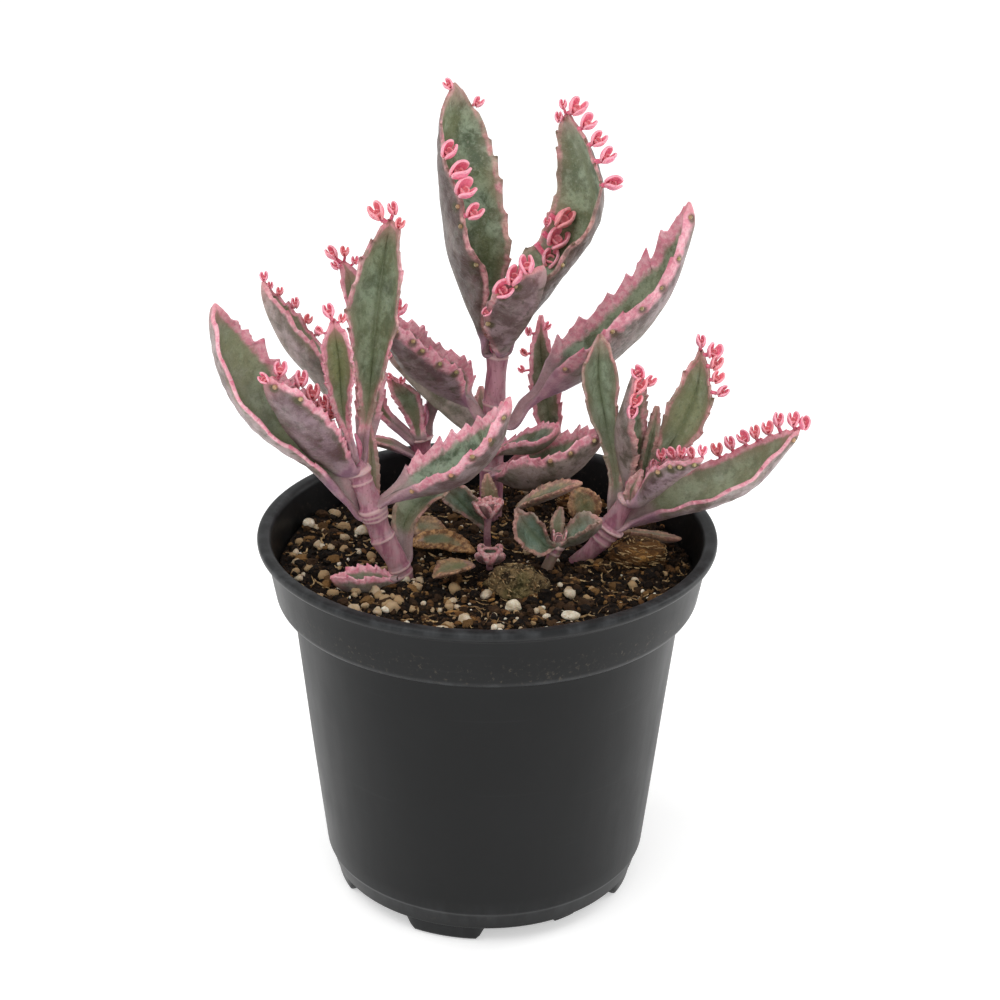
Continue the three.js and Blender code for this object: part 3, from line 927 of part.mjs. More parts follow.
// ---- potting mix: fills the pot, with a socket for each stem and a pocket for each lump ----
const innerR = (z) => (z > COLLAR_Z + 1.2 ? 48.2 + ((z - COLLAR_Z - 1.2) * 2.7) / 14.3 : z > COLLAR_Z - 1.2 ? 44.95 + ((z - COLLAR_Z + 1.2) * 3.25) / 2.4 : 37.3 + ((z - 7.2) * 7.65) / 67.1) - GAP;
{
  const sides = 24, rings = [];
  const wall = [[0.5, 5.8], [35.6, 5.8], [innerR(9.6) - 0.4, 9.6], [innerR(COLLAR_Z - 1.3), COLLAR_Z - 1.3], [47.85, COLLAR_Z + 1.5]];
  for (const [r, z] of wall)
    rings.push(Array.from({ length: sides }, (_, i) => V(r * Math.cos((2 * Math.PI * i) / sides), r * Math.sin((2 * Math.PI * i) / sides), z)));
  for (const f of [1, 0.8, 0.58, 0.33, 0.03])
    rings.push(Array.from({ length: sides }, (_, i) => {
      const r = 48.8 * f, x = r * Math.cos((2 * Math.PI * i) / sides), y = r * Math.sin((2 * Math.PI * i) / sides);
      return V(x, y, soilTop(x, y) - (f === 1 ? 0.6 : 0));
    }));
  let soil = solid(loft(rings));
  for (const s of [...Object.values(fatStems), ...Object.values(fatLumps), ...Object.values(fatTufts)]) soil = soil.subtract(s);
  add("soil", largest(soil), 0x2a1d15, 0.95);
}

for (const [name, s] of Object.entries(stems)) add(name, s, 0x9c6a8c, 0.45);
for (const [name, s] of Object.entries(lumps)) add(name, s, name.startsWith("perlite") ? 0xd8cbb4 : 0x6b4e2e, 0.9);

// ---- leaves: each is trimmed where it meets a stem, the mix or a neighbour ----
const fatSoil = (() => {
  const rings = [];
  for (const [r, dz] of [[0.5, -9], [48, -9], [48.5, 0], [40, 0], [28, 0], [14, 0], [0.5, 0]])
    rings.push(Array.from({ length: 24 }, (_, i) => {
      const x = r * Math.cos((2 * Math.PI * i) / 24), y = r * Math.sin((2 * Math.PI * i) / 24);
      return V(x, y, soilTop(x, y) + GAP + 0.5 + dz);
    }));
  return solid(loft(rings));
})();
const done = [];
const boxesMeet = (a, b) => [0, 1, 2].every((k) => a.min[k] < b.max[k] + 0.1 && b.min[k] < a.max[k] + 0.1);
const cutters = [...Object.values(fatStems), ...Object.values(fatLumps), ...Object.values(fatTufts), fatSoil].map((s) => ({ s, box: s.boundingBox() }));
for (const [name, rows] of Object.entries({ ...LEAVES, ...OLD_LEAVES })) {
  const big = TOOTHED.includes(name);
  const length = spline(rows).length;
  const steps = big ? 2 * Math.round(length / 9) + 1 : Math.max(4, Math.round(length / 7));
  const options = { steps, teeth: big };
  let s = leafSolid(rows, options), fat = leafSolid(rows, { ...options, grow: GAP + 0.2 });
  const curve = spline(rows);
  for (const p of PLANTLETS[name] || []) {
    const q = curve.at(p[1]), k = p[0] === "L" ? 3 : 6;
    const inward = V(q[0] - q[k], q[1] - q[k + 1], q[2] - q[k + 2]).normalize();
    s = s.add(plantletSolid(p, inward));
    fat = fat.add(plantletSolid([...p.slice(0, 8), p[8] + 2 * GAP], inward));
  }
  const box = s.boundingBox();
  for (const c of cutters) if (boxesMeet(box, c.box)) s = s.subtract(c.s);
  for (const c of done) if (boxesMeet(box, c.box)) s = s.subtract(c.s);
  s = largest(s);
  fat = fat.add(s);
  done.push({ name, s: fat, box: fat.boundingBox() });
  add(name, s, name in OLD_LEAVES ? 0x6e6138 : 0x7f8f78, 0.5);
}
for (const [name, s] of Object.entries(tufts)) {
  add(name, s, 0x9fb59a, 0.55);
}

for (const p of parts) p.body = tidy(p.body.translate([POT_AXIS_X, 0, 0]), 0.05);

// Where two pieces still touch, the later one is notched clear of the earlier one.
for (let i = 0; i < parts.length; i++)
  for (let j = i + 1; j < parts.length; j++) {
    if (!boxesMeet(parts[i].body.boundingBox(), parts[j].body.boundingBox())) continue;
    const both = parts[i].body.intersect(parts[j].body);
    if (both.volume() < 2e-3) continue;
    const { min, max } = both.boundingBox(), mid = [0, 1, 2].map((k) => (min[k] + max[k]) / 2);
    const notch = new THREE.BoxGeometry(...[0, 1, 2].map((k) => max[k] - min[k] + 0.3)).translate(...mid);
    parts[j].body = tidy(parts[j].body.subtract(solid(notch)));
  }

const group = new THREE.Group();
for (const { name, body, colour, roughness, metalness } of parts) {
  const mesh = new THREE.Mesh(geometryOf(body), new THREE.MeshStandardMaterial({ color: colour, roughness, metalness }));
  mesh.name = name;
  group.add(mesh);
}

export default group;
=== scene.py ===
# Potted kalanchoe, visual model. Metres in Blender, millimetres in the tables.
import bpy, bmesh, math, random
import numpy as np
from mathutils import Vector, Matrix


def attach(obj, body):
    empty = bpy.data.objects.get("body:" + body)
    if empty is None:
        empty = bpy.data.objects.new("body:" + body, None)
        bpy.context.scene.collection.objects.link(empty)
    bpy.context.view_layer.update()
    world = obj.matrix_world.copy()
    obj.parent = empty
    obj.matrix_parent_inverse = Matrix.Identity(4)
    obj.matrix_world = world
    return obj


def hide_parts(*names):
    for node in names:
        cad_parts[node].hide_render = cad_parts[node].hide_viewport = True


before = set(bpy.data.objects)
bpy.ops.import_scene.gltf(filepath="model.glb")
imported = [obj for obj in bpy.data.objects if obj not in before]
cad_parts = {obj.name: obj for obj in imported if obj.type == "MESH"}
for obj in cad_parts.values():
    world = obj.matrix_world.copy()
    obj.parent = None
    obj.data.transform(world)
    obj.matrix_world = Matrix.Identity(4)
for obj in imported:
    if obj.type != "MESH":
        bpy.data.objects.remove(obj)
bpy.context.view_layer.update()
AX = -5.52  # mm, the pot's axis along X
rng = np.random.default_rng(7)

# ------------------------------------------------------------------ tables (mm, round the pot's axis)
# One row per station of a leaf: midrib, left margin, right margin.
LEAVES = {
    "leaf_c1": [
        [-0.2, 27, 123.8, -1, 25.2, 124.5, 0.5, 28.8, 123.2],
        [-2.2, 26, 129.5, -0.8, 23.1, 130.1, 0.9, 27.1, 129.9],
        [-4.8, 25, 136.4, -1.2, 18.7, 138.1, 2.3, 25.7, 138.4],
        [-7.5, 25, 143.3, -0.4, 16.2, 147.3, 4.1, 25.9, 146.3],
        [-9.9, 25, 151.1, -4.5, 12.1, 155, 4.6, 25.4, 152.6],
        [-10.8, 25.5, 157.5, -5.7, 12.5, 161.5, 3.6, 26.6, 157.3],
        [-11.6, 26.5, 163.7, -7.3, 13.4, 167.1, 2.6, 27.3, 163.4],
        [-11.8, 27.5, 169.8, -9.6, 14.8, 172.9, 1.4, 27.6, 170],
        [-10.9, 28.5, 175.7, -11.3, 17.4, 177.9, -0.6, 32.9, 174.7],
        [-9.8, 29.5, 181.1, -11.6, 21.2, 182.7, -2.7, 34.2, 180],
        [-9.1, 30, 185.2, -10.6, 25.4, 186.3, -5.8, 33.7, 184.8],
        [-8.9, 30.5, 189, -9.1, 30, 189.1, -8.6, 30.9, 189],
    ],
    "leaf_c2": [
        [3.4, 28, 124, 2.6, 29.8, 123.4, 4.1, 26.2, 124.7],
        [5.7, 28.5, 128.5, 4.2, 31.3, 129, 5.2, 25.4, 129.1],
        [9.2, 29, 133.4, 5.1, 33.9, 136.2, 6.5, 23.3, 136.4],
        [13, 30, 137.9, 6, 38.5, 141.3, 9.7, 20.2, 142.9],
        [16.9, 31, 143.4, 8.3, 39.7, 146, 14, 19.5, 147.4],
        [20.4, 32, 147.6, 11.2, 40.4, 148.8, 17.4, 20.6, 151.9],
        [23.4, 33, 152.3, 13.2, 40.1, 153.9, 20.8, 21.2, 155.6],
        [24.9, 34, 157.6, 14.6, 39.9, 158.9, 23.9, 22.5, 160.8],
        [24.6, 35, 163.4, 15.5, 41.2, 162.5, 25, 24.3, 166],
        [23, 36, 168.9, 15.6, 41.6, 168.3, 24, 27, 170.9],
        [20.5, 37, 174.4, 15.3, 41, 172.1, 21.7, 30.2, 175.5],
        [18.6, 37.5, 178.1, 15.6, 39.9, 176.9, 19.4, 33.6, 178.6],
        [17.4, 38, 180.5, 17, 38.3, 180.4, 17.4, 37.5, 180.6],
    ],
    "leaf_c3": [
        [2.4, 23, 125.4, 3.1, 24.9, 124.7, 1.7, 21.1, 126.3],
        [4.5, 21, 128.9, 4.3, 25.8, 128.4, 0.2, 18.9, 129.6],
        [7.2, 18, 133.8, 5.2, 27, 132.6, -1.4, 15.5, 136],
        [9.5, 15, 139.1, 5.8, 25.6, 138.6, -0.5, 11.6, 142.8],
        [11, 13, 143.4, 7.3, 22.3, 143.2, 2.5, 9.1, 146.8],
        [11.8, 11.5, 146.8, 9.6, 18.1, 146.8, 5.8, 9.1, 149.5],
        [12.2, 10.5, 149.6, 10.9, 14.1, 149.8, 9, 9.2, 151.1],
        [11.9, 10, 152.1, 11.8, 10.5, 152.1, 11.5, 9.8, 152.3],
    ],
    "leaf_c4": [
        [4.8, 26, 105.9, 3.8, 27.9, 106.7, 5.3, 23.8, 106.3],
        [9.1, 26, 110.9, 7.6, 27.1, 112.3, 9.8, 24.2, 112.2],
        [13.4, 25.5, 114.3, 11.2, 26.9, 116.3, 12.3, 22.9, 116.1],
        [17.4, 25, 116.4, 13.3, 29.8, 120.4, 14.3, 20, 121.1],
        [22.1, 24.5, 119.2, 16.1, 31.9, 125.6, 18.2, 16.5, 126.5],
        [27.1, 24, 122.8, 20.9, 33.3, 129.5, 23.4, 14.8, 131.2],
        [31.9, 24, 127.2, 26.3, 33, 135.1, 28.1, 14.9, 135.9],
        [36.3, 24.5, 131.6, 31.4, 32.5, 140.6, 32.9, 15.4, 140.2],
        [39.9, 25, 137, 35.5, 32.2, 145.5, 37, 15.5, 143.7],
        [42.6, 25.5, 142.1, 38.2, 32.1, 148.5, 40.1, 17, 147.1],
        [44.5, 26, 147.4, 40.3, 30.3, 153.1, 42.2, 18.9, 151.1],
        [45.9, 26.5, 153.1, 42.5, 30.3, 156.3, 43.8, 21.6, 155.8],
        [46.9, 27, 157.8, 44.6, 28.7, 159.4, 45, 25, 159.6],
        [46.2, 27.5, 162.2, 45.9, 27.8, 162.5, 46, 27.2, 162.5],
    ],
    "leaf_c5": [
        [-1.3, 25, 108.1, -2, 22.8, 108.2, -0.8, 27.2, 108.5],
        [-4.2, 24, 111.8, -4.9, 21.7, 112.7, -3.5, 26.5, 112.1],
        [-6.8, 23, 113.5, -5.8, 18.7, 117.5, -4.8, 28.6, 114.4],
        [-10.2, 21, 115.8, -5.8, 14.6, 122.8, -3.9, 28.7, 119],
        [-13.4, 18, 118.7, -7.8, 11.4, 127, -6, 26.2, 123.3],
        [-16.6, 15, 122, -11.4, 8.1, 130.4, -9.8, 24, 126.1],
        [-19.5, 12, 125.9, -15.1, 6.3, 134.2, -13.7, 20.3, 130.2],
        [-21.4, 9, 130.2, -18.2, 5, 137.3, -16.9, 11.7, 137.3],
        [-22.9, 7, 133.9, -21.3, 4.3, 139.2, -20.4, 9, 139.2],
        [-23.2, 5, 137, -22.6, 3, 140.4, -22, 6.3, 140.6],
        [-22.4, 4, 141.2, -22.4, 3.7, 141.7, -22.3, 4.2, 141.7],
    ],
    "leaf_l1": [
        [-28.1, -10, 97.6, -28.6, -12.1, 98.1, -28, -7.8, 97.9],
        [-31.8, -11.5, 101.8, -31.8, -13.8, 103.3, -29.8, -10.1, 103.2],
        [-35.5, -13, 106.9, -34.9, -16.9, 109.6, -31.5, -11.7, 109.2],
        [-40, -14.5, 112.4, -38.6, -21.3, 116.3, -33.4, -11, 115.4],
        [-44.9, -16, 116.8, -43.3, -26, 121.8, -37.1, -9, 121.1],
        [-49.9, -17, 121.5, -47.9, -28.4, 126.9, -40.6, -10.2, 127.1],
        [-54, -18, 127.3, -51.9, -29.7, 132.5, -44.7, -10.5, 132.4],
        [-57, -18.5, 133.6, -54.9, -29.7, 138.2, -48.1, -10.6, 136.6],
        [-58.7, -19, 139.4, -56.6, -29, 143.4, -51, -11.1, 140.1],
        [-59.6, -19, 144.4, -57.8, -26.9, 147.6, -53.8, -12.5, 144],
        [-59.9, -19, 148.1, -58.7, -23.8, 150.1, -56.2, -15.2, 147.5],
        [-59, -19, 152, -58.9, -19.4, 152.2, -58.7, -18.6, 151.9],
    ],
    "leaf_l2": [
        [-29.8, -12.5, 109.7, -29.2, -14.1, 111.4, -30.4, -10.2, 110.2],
        [-32.6, -14.5, 110.5, -30.2, -15.9, 114.1, -31.5, -10.5, 112.2],
        [-35.9, -17.5, 114, -31.3, -20.6, 120.4, -32.8, -10.2, 117],
        [-39.1, -20.5, 117.8, -32.6, -25, 126, -34.4, -10.8, 121.4],
        [-41.8, -23.5, 122.4, -34.8, -28.9, 130.6, -36.6, -13.3, 125.9],
        [-44, -26, 127, -37.3, -31.4, 134.3, -39.1, -16.3, 129.9],
        [-45.6, -28, 131.5, -39.9, -32.7, 137.1, -41.6, -19.9, 133.4],
        [-46.7, -29.5, 134.8, -42.4, -32.6, 138.6, -43.7, -23.9, 136.4],
        [-47.1, -30.5, 137.2, -45, -32.1, 139.5, -45.7, -27.5, 138.4],
        [-47, -31, 139.5, -46.7, -31.2, 139.8, -46.8, -30.6, 139.7],
    ],
    "leaf_l3": [
        [-30.9, -6, 109.8, -31, -7.5, 111.2, -30.4, -4.2, 109.3],
        [-33.1, -5, 117.3, -32, -7.8, 119, -31.8, -1.9, 116.5],
        [-35.8, -4, 124.2, -33, -8.1, 127.6, -32.8, 1.1, 124.7],
        [-39.4, -3, 128.9, -35.3, -7.9, 133.7, -35.1, 3.4, 130.9],
        [-42.8, -2, 132.3, -38.1, -7.8, 137.4, -38.2, 5.5, 134],
        [-45.7, -1, 135.8, -41.1, -6.4, 140.4, -41.1, 5.9, 137.4],
        [-48, 0, 139.7, -44, -4.7, 143.5, -43.9, 5.6, 141.6],
        [-49.8, 1, 143.8, -46.9, -2.3, 146.2, -46.7, 4.8, 144.9],
        [-50.7, 2, 146.8, -49.1, 0.2, 148.1, -49.1, 4.1, 147.3],
        [-51.1, 2.5, 149.9, -50.8, 2.2, 150.2, -50.8, 2.9, 150],
    ],
    "leaf_l4": [
        [-30, -12, 112.7, -30.3, -13.6, 113.4, -29.4, -13.5, 113.5],
        [-31.2, -13, 119.2, -31.7, -14.9, 119.5, -30.4, -14.5, 120.3],
        [-32.3, -14, 125.3, -34.3, -16.6, 126.1, -30.4, -16.4, 126.8],
        [-32.6, -15, 130.5, -35.1, -18.9, 131.7, -29.9, -18.6, 132.2],
        [-32.7, -16, 135.6, -35.8, -20.9, 137.2, -29.2, -20.5, 137.6],
        [-32.9, -17, 140.2, -36, -21.9, 141.7, -29.5, -21.5, 142.1],
        [-33.2, -18, 144.2, -35.7, -22.2, 145.3, -30.3, -21.8, 145.6],
        [-33.6, -18.5, 146.9, -34.7, -20.9, 147.3, -31.9, -20.5, 147.7],
        [-33.7, -19, 148.9, -33.9, -19.4, 149, -33.4, -19.4, 149.1],
    ],
    "leaf_l5": [
        [-28.8, -7, 109.8, -29.3, -9.1, 110.7, -28, -8.9, 110.9],
        [-28.3, -6, 115.8, -29.5, -8, 116.2, -27.3, -7.9, 116.9],
        [-27.6, -5, 121.8, -29.2, -7.4, 122.5, -25.9, -7.2, 122.9],
        [-26.9, -4, 127.3, -29.6, -8, 128.5, -24.2, -7.7, 129.2],
        [-26.4, -3, 133.2, -30.2, -9.8, 135.2, -22.3, -9, 136.4],
        [-25.8, -2, 139.3, -31, -9.9, 141.6, -20.8, -9.7, 142.8],
        [-25.1, -1, 144.9, -31.4, -9.2, 147.1, -19.9, -9.5, 148.6],
        [-24.4, 0, 150.4, -30.3, -7.7, 152.7, -19.5, -8.1, 153.6],
        [-23.7, 1, 155.5, -28.6, -5.5, 157.2, -19.6, -5.7, 158.1],
        [-23.1, 2, 159.3, -26.7, -3.3, 160.7, -19.9, -3.4, 161.5],
        [-22.6, 2.5, 162.7, -24.6, -0.8, 163.7, -20.4, -0.6, 163.9],
        [-22.4, 3, 164.8, -22.6, 2.6, 164.9, -22.1, 2.6, 165],
    ],
    "leaf_l7": [
        [-25.9, -11, 100.6, -26.5, -8.9, 100.9, -25.1, -13, 101],
        [-22.6, -12.5, 102.8, -23.6, -10.5, 103.9, -22.3, -14.7, 104.1],
        [-19.4, -14, 104.6, -21.1, -10.4, 106.2, -19.4, -17.2, 107.5],
        [-15, -15.5, 106.3, -18.4, -8.5, 109.6, -16, -22.2, 111.4],
        [-10.4, -17, 108, -14.3, -8.3, 113.5, -11.7, -25.5, 114.9],
        [-6.1, -18.5, 110.4, -10.4, -9.3, 116.5, -7.9, -27.6, 117.7],
        [-2.4, -20, 114.1, -6.8, -10.5, 119.5, -4.4, -29.1, 121.3],
        [0.5, -21, 117.9, -3.6, -12.2, 122.1, -1.6, -29.2, 124.2],
        [2.5, -22, 121.9, -0.7, -15.1, 125.3, 0.5, -28.2, 127.1],
        [3.5, -22.5, 125.7, 1.5, -17.3, 127.8, 2.2, -26.9, 129.6],
        [4.3, -23, 129.4, 3.2, -19.9, 130.3, 3.5, -25.5, 131.6],
        [4.7, -23.5, 132.9, 4.6, -23.1, 133.1, 4.6, -23.9, 133.2],
    ],
    "leaf_l10": [
        [-20, -13, 84.1, -20.4, -14.4, 84.1, -20.3, -11.5, 84.2],
        [-22.2, -14.5, 82.8, -23, -16.4, 85.5, -22.6, -11.8, 84.8],
        [-25.2, -16, 81.4, -25.6, -18.6, 86.8, -25.1, -13.4, 86.8],
        [-28.3, -17.5, 81.4, -28.7, -21, 87.4, -28.4, -14.4, 87.7],
        [-31.1, -19, 83.1, -31.3, -21.6, 88, -31.3, -16.2, 87.8],
        [-33.3, -20, 85.3, -33.2, -21.3, 88, -33.2, -17.7, 87.3],
        [-35.2, -21, 87.6, -35.2, -21.2, 88, -35.2, -20.6, 87.9],
    ],
    "leaf_r1": [
        [30.1, 3, 89.6, 29.8, 5.2, 89.6, 30.5, 0.9, 90.1],
        [34, 2, 91.2, 33.2, 4.3, 92.4, 34.1, -0.3, 92.8],
        [38.6, 1, 93.2, 35.9, 4.4, 96.6, 38.2, -3.4, 96.5],
        [44.1, 0, 95.1, 39.5, 5.5, 100.5, 42.9, -7.5, 100],
        [49.5, -1, 97.2, 44.7, 7.2, 102.7, 48, -10.3, 102.8],
        [54.5, -2, 99.5, 49.8, 7.4, 104.5, 52.6, -11.8, 105.3],
        [58.9, -3, 102.3, 54.5, 6.3, 107.1, 56.7, -12.6, 107.8],
        [62.7, -4, 106, 58.9, 4.2, 110.3, 60.4, -12.5, 110.7],
        [65.5, -5, 110.3, 62.6, 1.4, 113.5, 63.4, -11.6, 113.8],
        [67.7, -6, 114.2, 65.8, -1.4, 116.2, 66.1, -10.6, 116.6],
        [69.2, -6.5, 116.9, 68.1, -4, 118.1, 68.2, -8.9, 118.4],
        [70.4, -7, 119.6, 70.2, -6.6, 119.8, 70.2, -7.4, 119.8],
    ],
    "leaf_r2": [
        [36, 5, 98.4, 35.5, 3.7, 99.5, 36.4, 3.3, 98.7],
        [38.5, 6, 102.6, 37.4, 4.6, 104.2, 39.3, 3.7, 102.6],
        [41.2, 7, 107.1, 39.1, 4.7, 109.5, 43.3, 3.6, 107.3],
        [43.9, 8, 111.3, 39.6, 4.8, 114.5, 47, 2.5, 111.3],
        [46.1, 9, 115.5, 40.8, 4.9, 119, 49.8, 2.4, 116.2],
        [47.9, 10, 119.9, 42.5, 5.5, 122.8, 51.2, 3.3, 121.1],
        [48.9, 11, 124, 44.6, 7.1, 126.4, 51.2, 5.2, 125.2],
        [49.3, 12, 127.4, 46.2, 9.4, 128.8, 50.6, 8, 128.2],
        [49.2, 12.5, 129.7, 47.9, 10.8, 130.5, 50, 10.3, 130],
        [49.2, 13, 131.4, 48.9, 12.6, 131.6, 49.3, 12.5, 131.5],
    ],
    "leaf_r3": [
        [33.4, 4, 97.5, 32.9, 2.4, 98.2, 34, 5.6, 97],
        [32.3, 3.5, 101.6, 33.8, 0.8, 103.3, 34.8, 5.9, 101.1],
        [30.9, 3, 106.6, 34.6, -1.3, 109.5, 36.3, 6.3, 106.3],
        [30, 2.5, 112.1, 33.8, -3.8, 115.3, 37.2, 5.8, 111.1],
        [30.1, 2, 117.3, 32.9, -4.7, 120.3, 36.8, 5.7, 115.9],
        [31.3, 1.5, 122.2, 32.5, -4.2, 124.5, 36.5, 4.7, 121],
        [32.2, 1, 125.9, 33.1, -3.1, 127.5, 36.1, 3.1, 124.9],
        [33.2, 0.5, 129.3, 33.5, -1.8, 129.9, 35.2, 1.6, 128.4],
        [33.8, 0, 131.7, 33.9, -0.5, 131.8, 34.2, 0.2, 131.5],
    ],
    "leaf_r4": [
        [30, 6, 89.5, 28.5, 4.7, 90.6, 31.1, 4.6, 91],
        [30.3, 6.5, 95.6, 28.4, 5.2, 96.1, 32.1, 5.2, 96.4],
        [30.1, 7, 101, 28.4, 5.4, 101.5, 31.7, 5.6, 102.2],
        [29.3, 8, 106.5, 27.3, 5.8, 106.7, 30.8, 5.8, 107.9],
        [28, 9, 111.9, 25.5, 5.3, 112.2, 30.1, 5.5, 113.9],
        [26.7, 10, 117.6, 23.2, 4.6, 118.4, 29.9, 5, 120.1],
        [25.6, 11, 123.2, 21.6, 4.7, 124.3, 29.7, 5.2, 125.7],
        [25.3, 12, 128.3, 22, 6.5, 129.5, 28.9, 7.1, 130.4],
        [25.4, 13, 131.9, 23.4, 9.8, 132.5, 27.6, 10.2, 133.2],
        [25.6, 13.5, 134.6, 25.3, 13.1, 134.7, 25.9, 13.1, 134.8],
    ],
    "leaf_r6": [
        [33.3, 0, 97, 33.6, 2, 97.1, 32.9, -1.6, 98.2],
        [35.4, -2, 98.4, 35.9, 1.1, 101.6, 35.2, -2.8, 102.8],
        [37.9, -5, 101.8, 37.6, 1.6, 106.5, 36.8, -7.8, 109.3],
        [40.5, -8, 105.5, 40.2, -1, 109, 39.1, -11.3, 112.4],
        [43.1, -11, 109.3, 42.5, -5.2, 111.5, 41.6, -14.2, 114.4],
        [45.4, -13, 112.2, 44.9, -9, 113.4, 44.1, -15.6, 115.2],
        [46.9, -14.5, 114.3, 46.6, -12.2, 114.6, 46.1, -16.1, 115.7],
        [48.1, -16, 116.2, 48, -15.5, 116.2, 47.9, -16.4, 116.5],
    ],
    "leaf_m1": [
        [0.8, 24, 94.3, 0.8, 26.3, 94.3, 0.3, 21.8, 94.7],
        [3.5, 21, 94, 4.4, 24.8, 97.2, 2.8, 17.6, 97.6],
        [7.2, 18, 93.5, 8.3, 25.4, 100.1, 5.3, 13.5, 102.3],
        [11.2, 15.5, 94.2, 12.4, 24.3, 102.2, 9.6, 9.9, 104.6],
        [15, 13.5, 96.1, 16.2, 21.8, 105.2, 13.3, 6.5, 106.1],
        [18.5, 12, 98.9, 19.7, 20.4, 107.1, 16.7, 4.8, 108.2],
        [21.5, 11, 102, 22.5, 17.8, 109, 19.7, 5.5, 109.9],
        [24, 10, 105.6, 24.5, 15.9, 109.8, 22.3, 6.1, 111.5],
        [25.8, 9.5, 108.4, 25.8, 13, 110.2, 24.7, 7.6, 111.7],
        [26.6, 9, 110.9, 26.6, 9.4, 111.1, 26.5, 8.8, 111.3],
    ],
    "leaf_m2": [
        [1.2, 25, 99.7, 1.2, 26.8, 99.7, 1, 23.2, 99.9],
        [3.9, 22, 101, 4.6, 25.2, 102.6, 3.6, 19.5, 103.6],
        [7.5, 19.5, 102.1, 8.4, 24.8, 105.4, 7.2, 15.1, 106.5],
        [11.1, 18, 103.3, 12, 23.1, 107.7, 10.7, 12.7, 107.6],
        [13.9, 17, 105.6, 14.4, 20.1, 109.5, 13.6, 13, 108.5],
        [15.8, 16.5, 108.1, 15.8, 18.1, 110.1, 15.5, 14.6, 109.7],
        [16.4, 16, 110.9, 16.4, 16.3, 111.3, 16.4, 15.6, 111.2],
    ],
    "leaf_m5": [
        [-0.2, 9, 86.4, -0.7, 7.6, 86.5, 0.3, 8, 87.4],
        [-2.8, 7, 90.4, -4.4, 3.7, 91.4, -1.1, 4.8, 93],
        [-5.7, 5, 94.4, -7.9, 0.3, 95.2, -3, 2, 97.9],
        [-8, 4, 97.2, -10, -0.9, 97.8, -5.1, 1.1, 100.6],
        [-9.9, 3, 99.4, -11.2, -0.3, 99.6, -7.7, 1.3, 101.7],
        [-11.3, 2.5, 100.6, -11.4, 2, 100.7, -11, 2.3, 100.9],
    ],
    "leaf_m8": [
        [16.1, -4, 88.3, 15.8, -5, 88.2, 16.3, -4.6, 89.1],
        [14.4, -4.5, 88.2, 13.2, -7.7, 87.4, 14.6, -6.6, 91],
        [12.3, -5, 90, 9.7, -9.7, 89.4, 13.6, -7.8, 94.4],
        [10.1, -5.5, 92.5, 7.1, -10.7, 92.3, 12.1, -8.8, 97.1],
        [8.5, -6, 95, 5.9, -10.1, 95.1, 10.2, -8.5, 98.7],
        [7.3, -6.5, 97.3, 6.3, -8.8, 97.3, 8.6, -8, 98.7],
        [6.5, -7, 99, 6.4, -7.5, 99, 6.8, -7.3, 99.3],
    ],
    "leaf_m9": [
        [16.1, -3, 87.8, 16.1, -2, 87.8, 16.3, -4, 87.8],
        [18.9, -4, 88.8, 18.2, -0.9, 91.2, 18.7, -7, 91.5],
        [21.6, -5, 90.1, 20.4, -1.8, 95, 20.9, -9.5, 94],
        [23.8, -6, 92.2, 22.6, -3.7, 97.1, 23.1, -10.1, 95.9],
        [25.4, -7, 94.5, 24.4, -5.2, 97.2, 24.8, -9.5, 96.6],
        [26.2, -7.5, 96.5, 26.1, -7.2, 96.9, 26.1, -7.9, 96.8],
    ],
    "leaf_b2": [
        [-17.5, 41, 95.9, -19.2, 41.1, 96.4, -15.9, 40.3, 96.5],
        [-18.5, 41, 100, -20.2, 39.7, 100.5, -16.4, 40.9, 100.9],
        [-19.7, 41, 104, -22.1, 38.8, 104.6, -16.7, 41, 105.4],
        [-21.4, 41, 107.8, -24, 38.1, 108.3, -18.1, 39.9, 109.6],
        [-23.4, 41, 110.7, -25, 38.5, 110.8, -20.6, 40.1, 111.3],
        [-25, 41, 112.9, -25.9, 40.2, 112.9, -24.2, 40.7, 113.1],
    ],
    "leaf_c7": [
        [14.7, 36, 92.5, 13.9, 34.5, 93.1, 15.4, 34.5, 93.2],
        [15.1, 38, 97.6, 12.9, 36.2, 98.4, 17.3, 36.1, 98.5],
        [14.8, 40, 103.6, 11, 37.5, 104.3, 17.9, 37.1, 105.3],
        [13.7, 42, 110, 9.9, 38.8, 110.7, 17.1, 38.8, 111.8],
        [12.6, 43, 117, 9.6, 39.7, 117.7, 16, 40.4, 118.3],
        [12.2, 44, 122.5, 10.2, 41.8, 122.7, 14.4, 42.2, 123.4],
        [12.4, 44.5, 125.7, 11.4, 43.5, 125.8, 13.4, 43.5, 126],
        [12.4, 45, 128.1, 12, 44.6, 128.2, 12.7, 44.7, 128.2],
    ],
    "leaf_c6": [
        [-0.9, 30.8, 101.3, -0.4, 30.5, 103.4, -0.5, 32.7, 100.3],
        [-6.5, 33, 102.9, -3.5, 34.5, 107.9, -5.5, 38.5, 100.6],
        [-11.5, 35, 106.3, -6.4, 37.4, 112, -10.2, 42.5, 103.8],
        [-16.3, 37, 109.9, -10.4, 39.4, 115.6, -14.9, 45, 107.3],
        [-20.3, 39, 113.6, -15.9, 40.1, 117.5, -20, 44.6, 111.6],
        [-23.5, 40, 117.1, -21.4, 39.8, 119.2, -24, 42.6, 115.7],
        [-25.3, 41, 118.8, -25, 40.9, 119.2, -25.4, 41.4, 118.5],
    ],
    "leaf_c8": [
        [-0.3, 33, 100, -1.6, 32.3, 100, 1, 32.5, 100.5],
        [-1.6, 35, 105.6, -3.6, 33.7, 105.6, 0.4, 34, 106.3],
        [-2.2, 35.5, 109.4, -3.8, 34.5, 109.4, -0.5, 34.6, 109.6],
        [-2.2, 36, 112.6, -2.6, 35.9, 112.6, -1.8, 35.9, 112.7],
    ],
    "leaf_l6": [
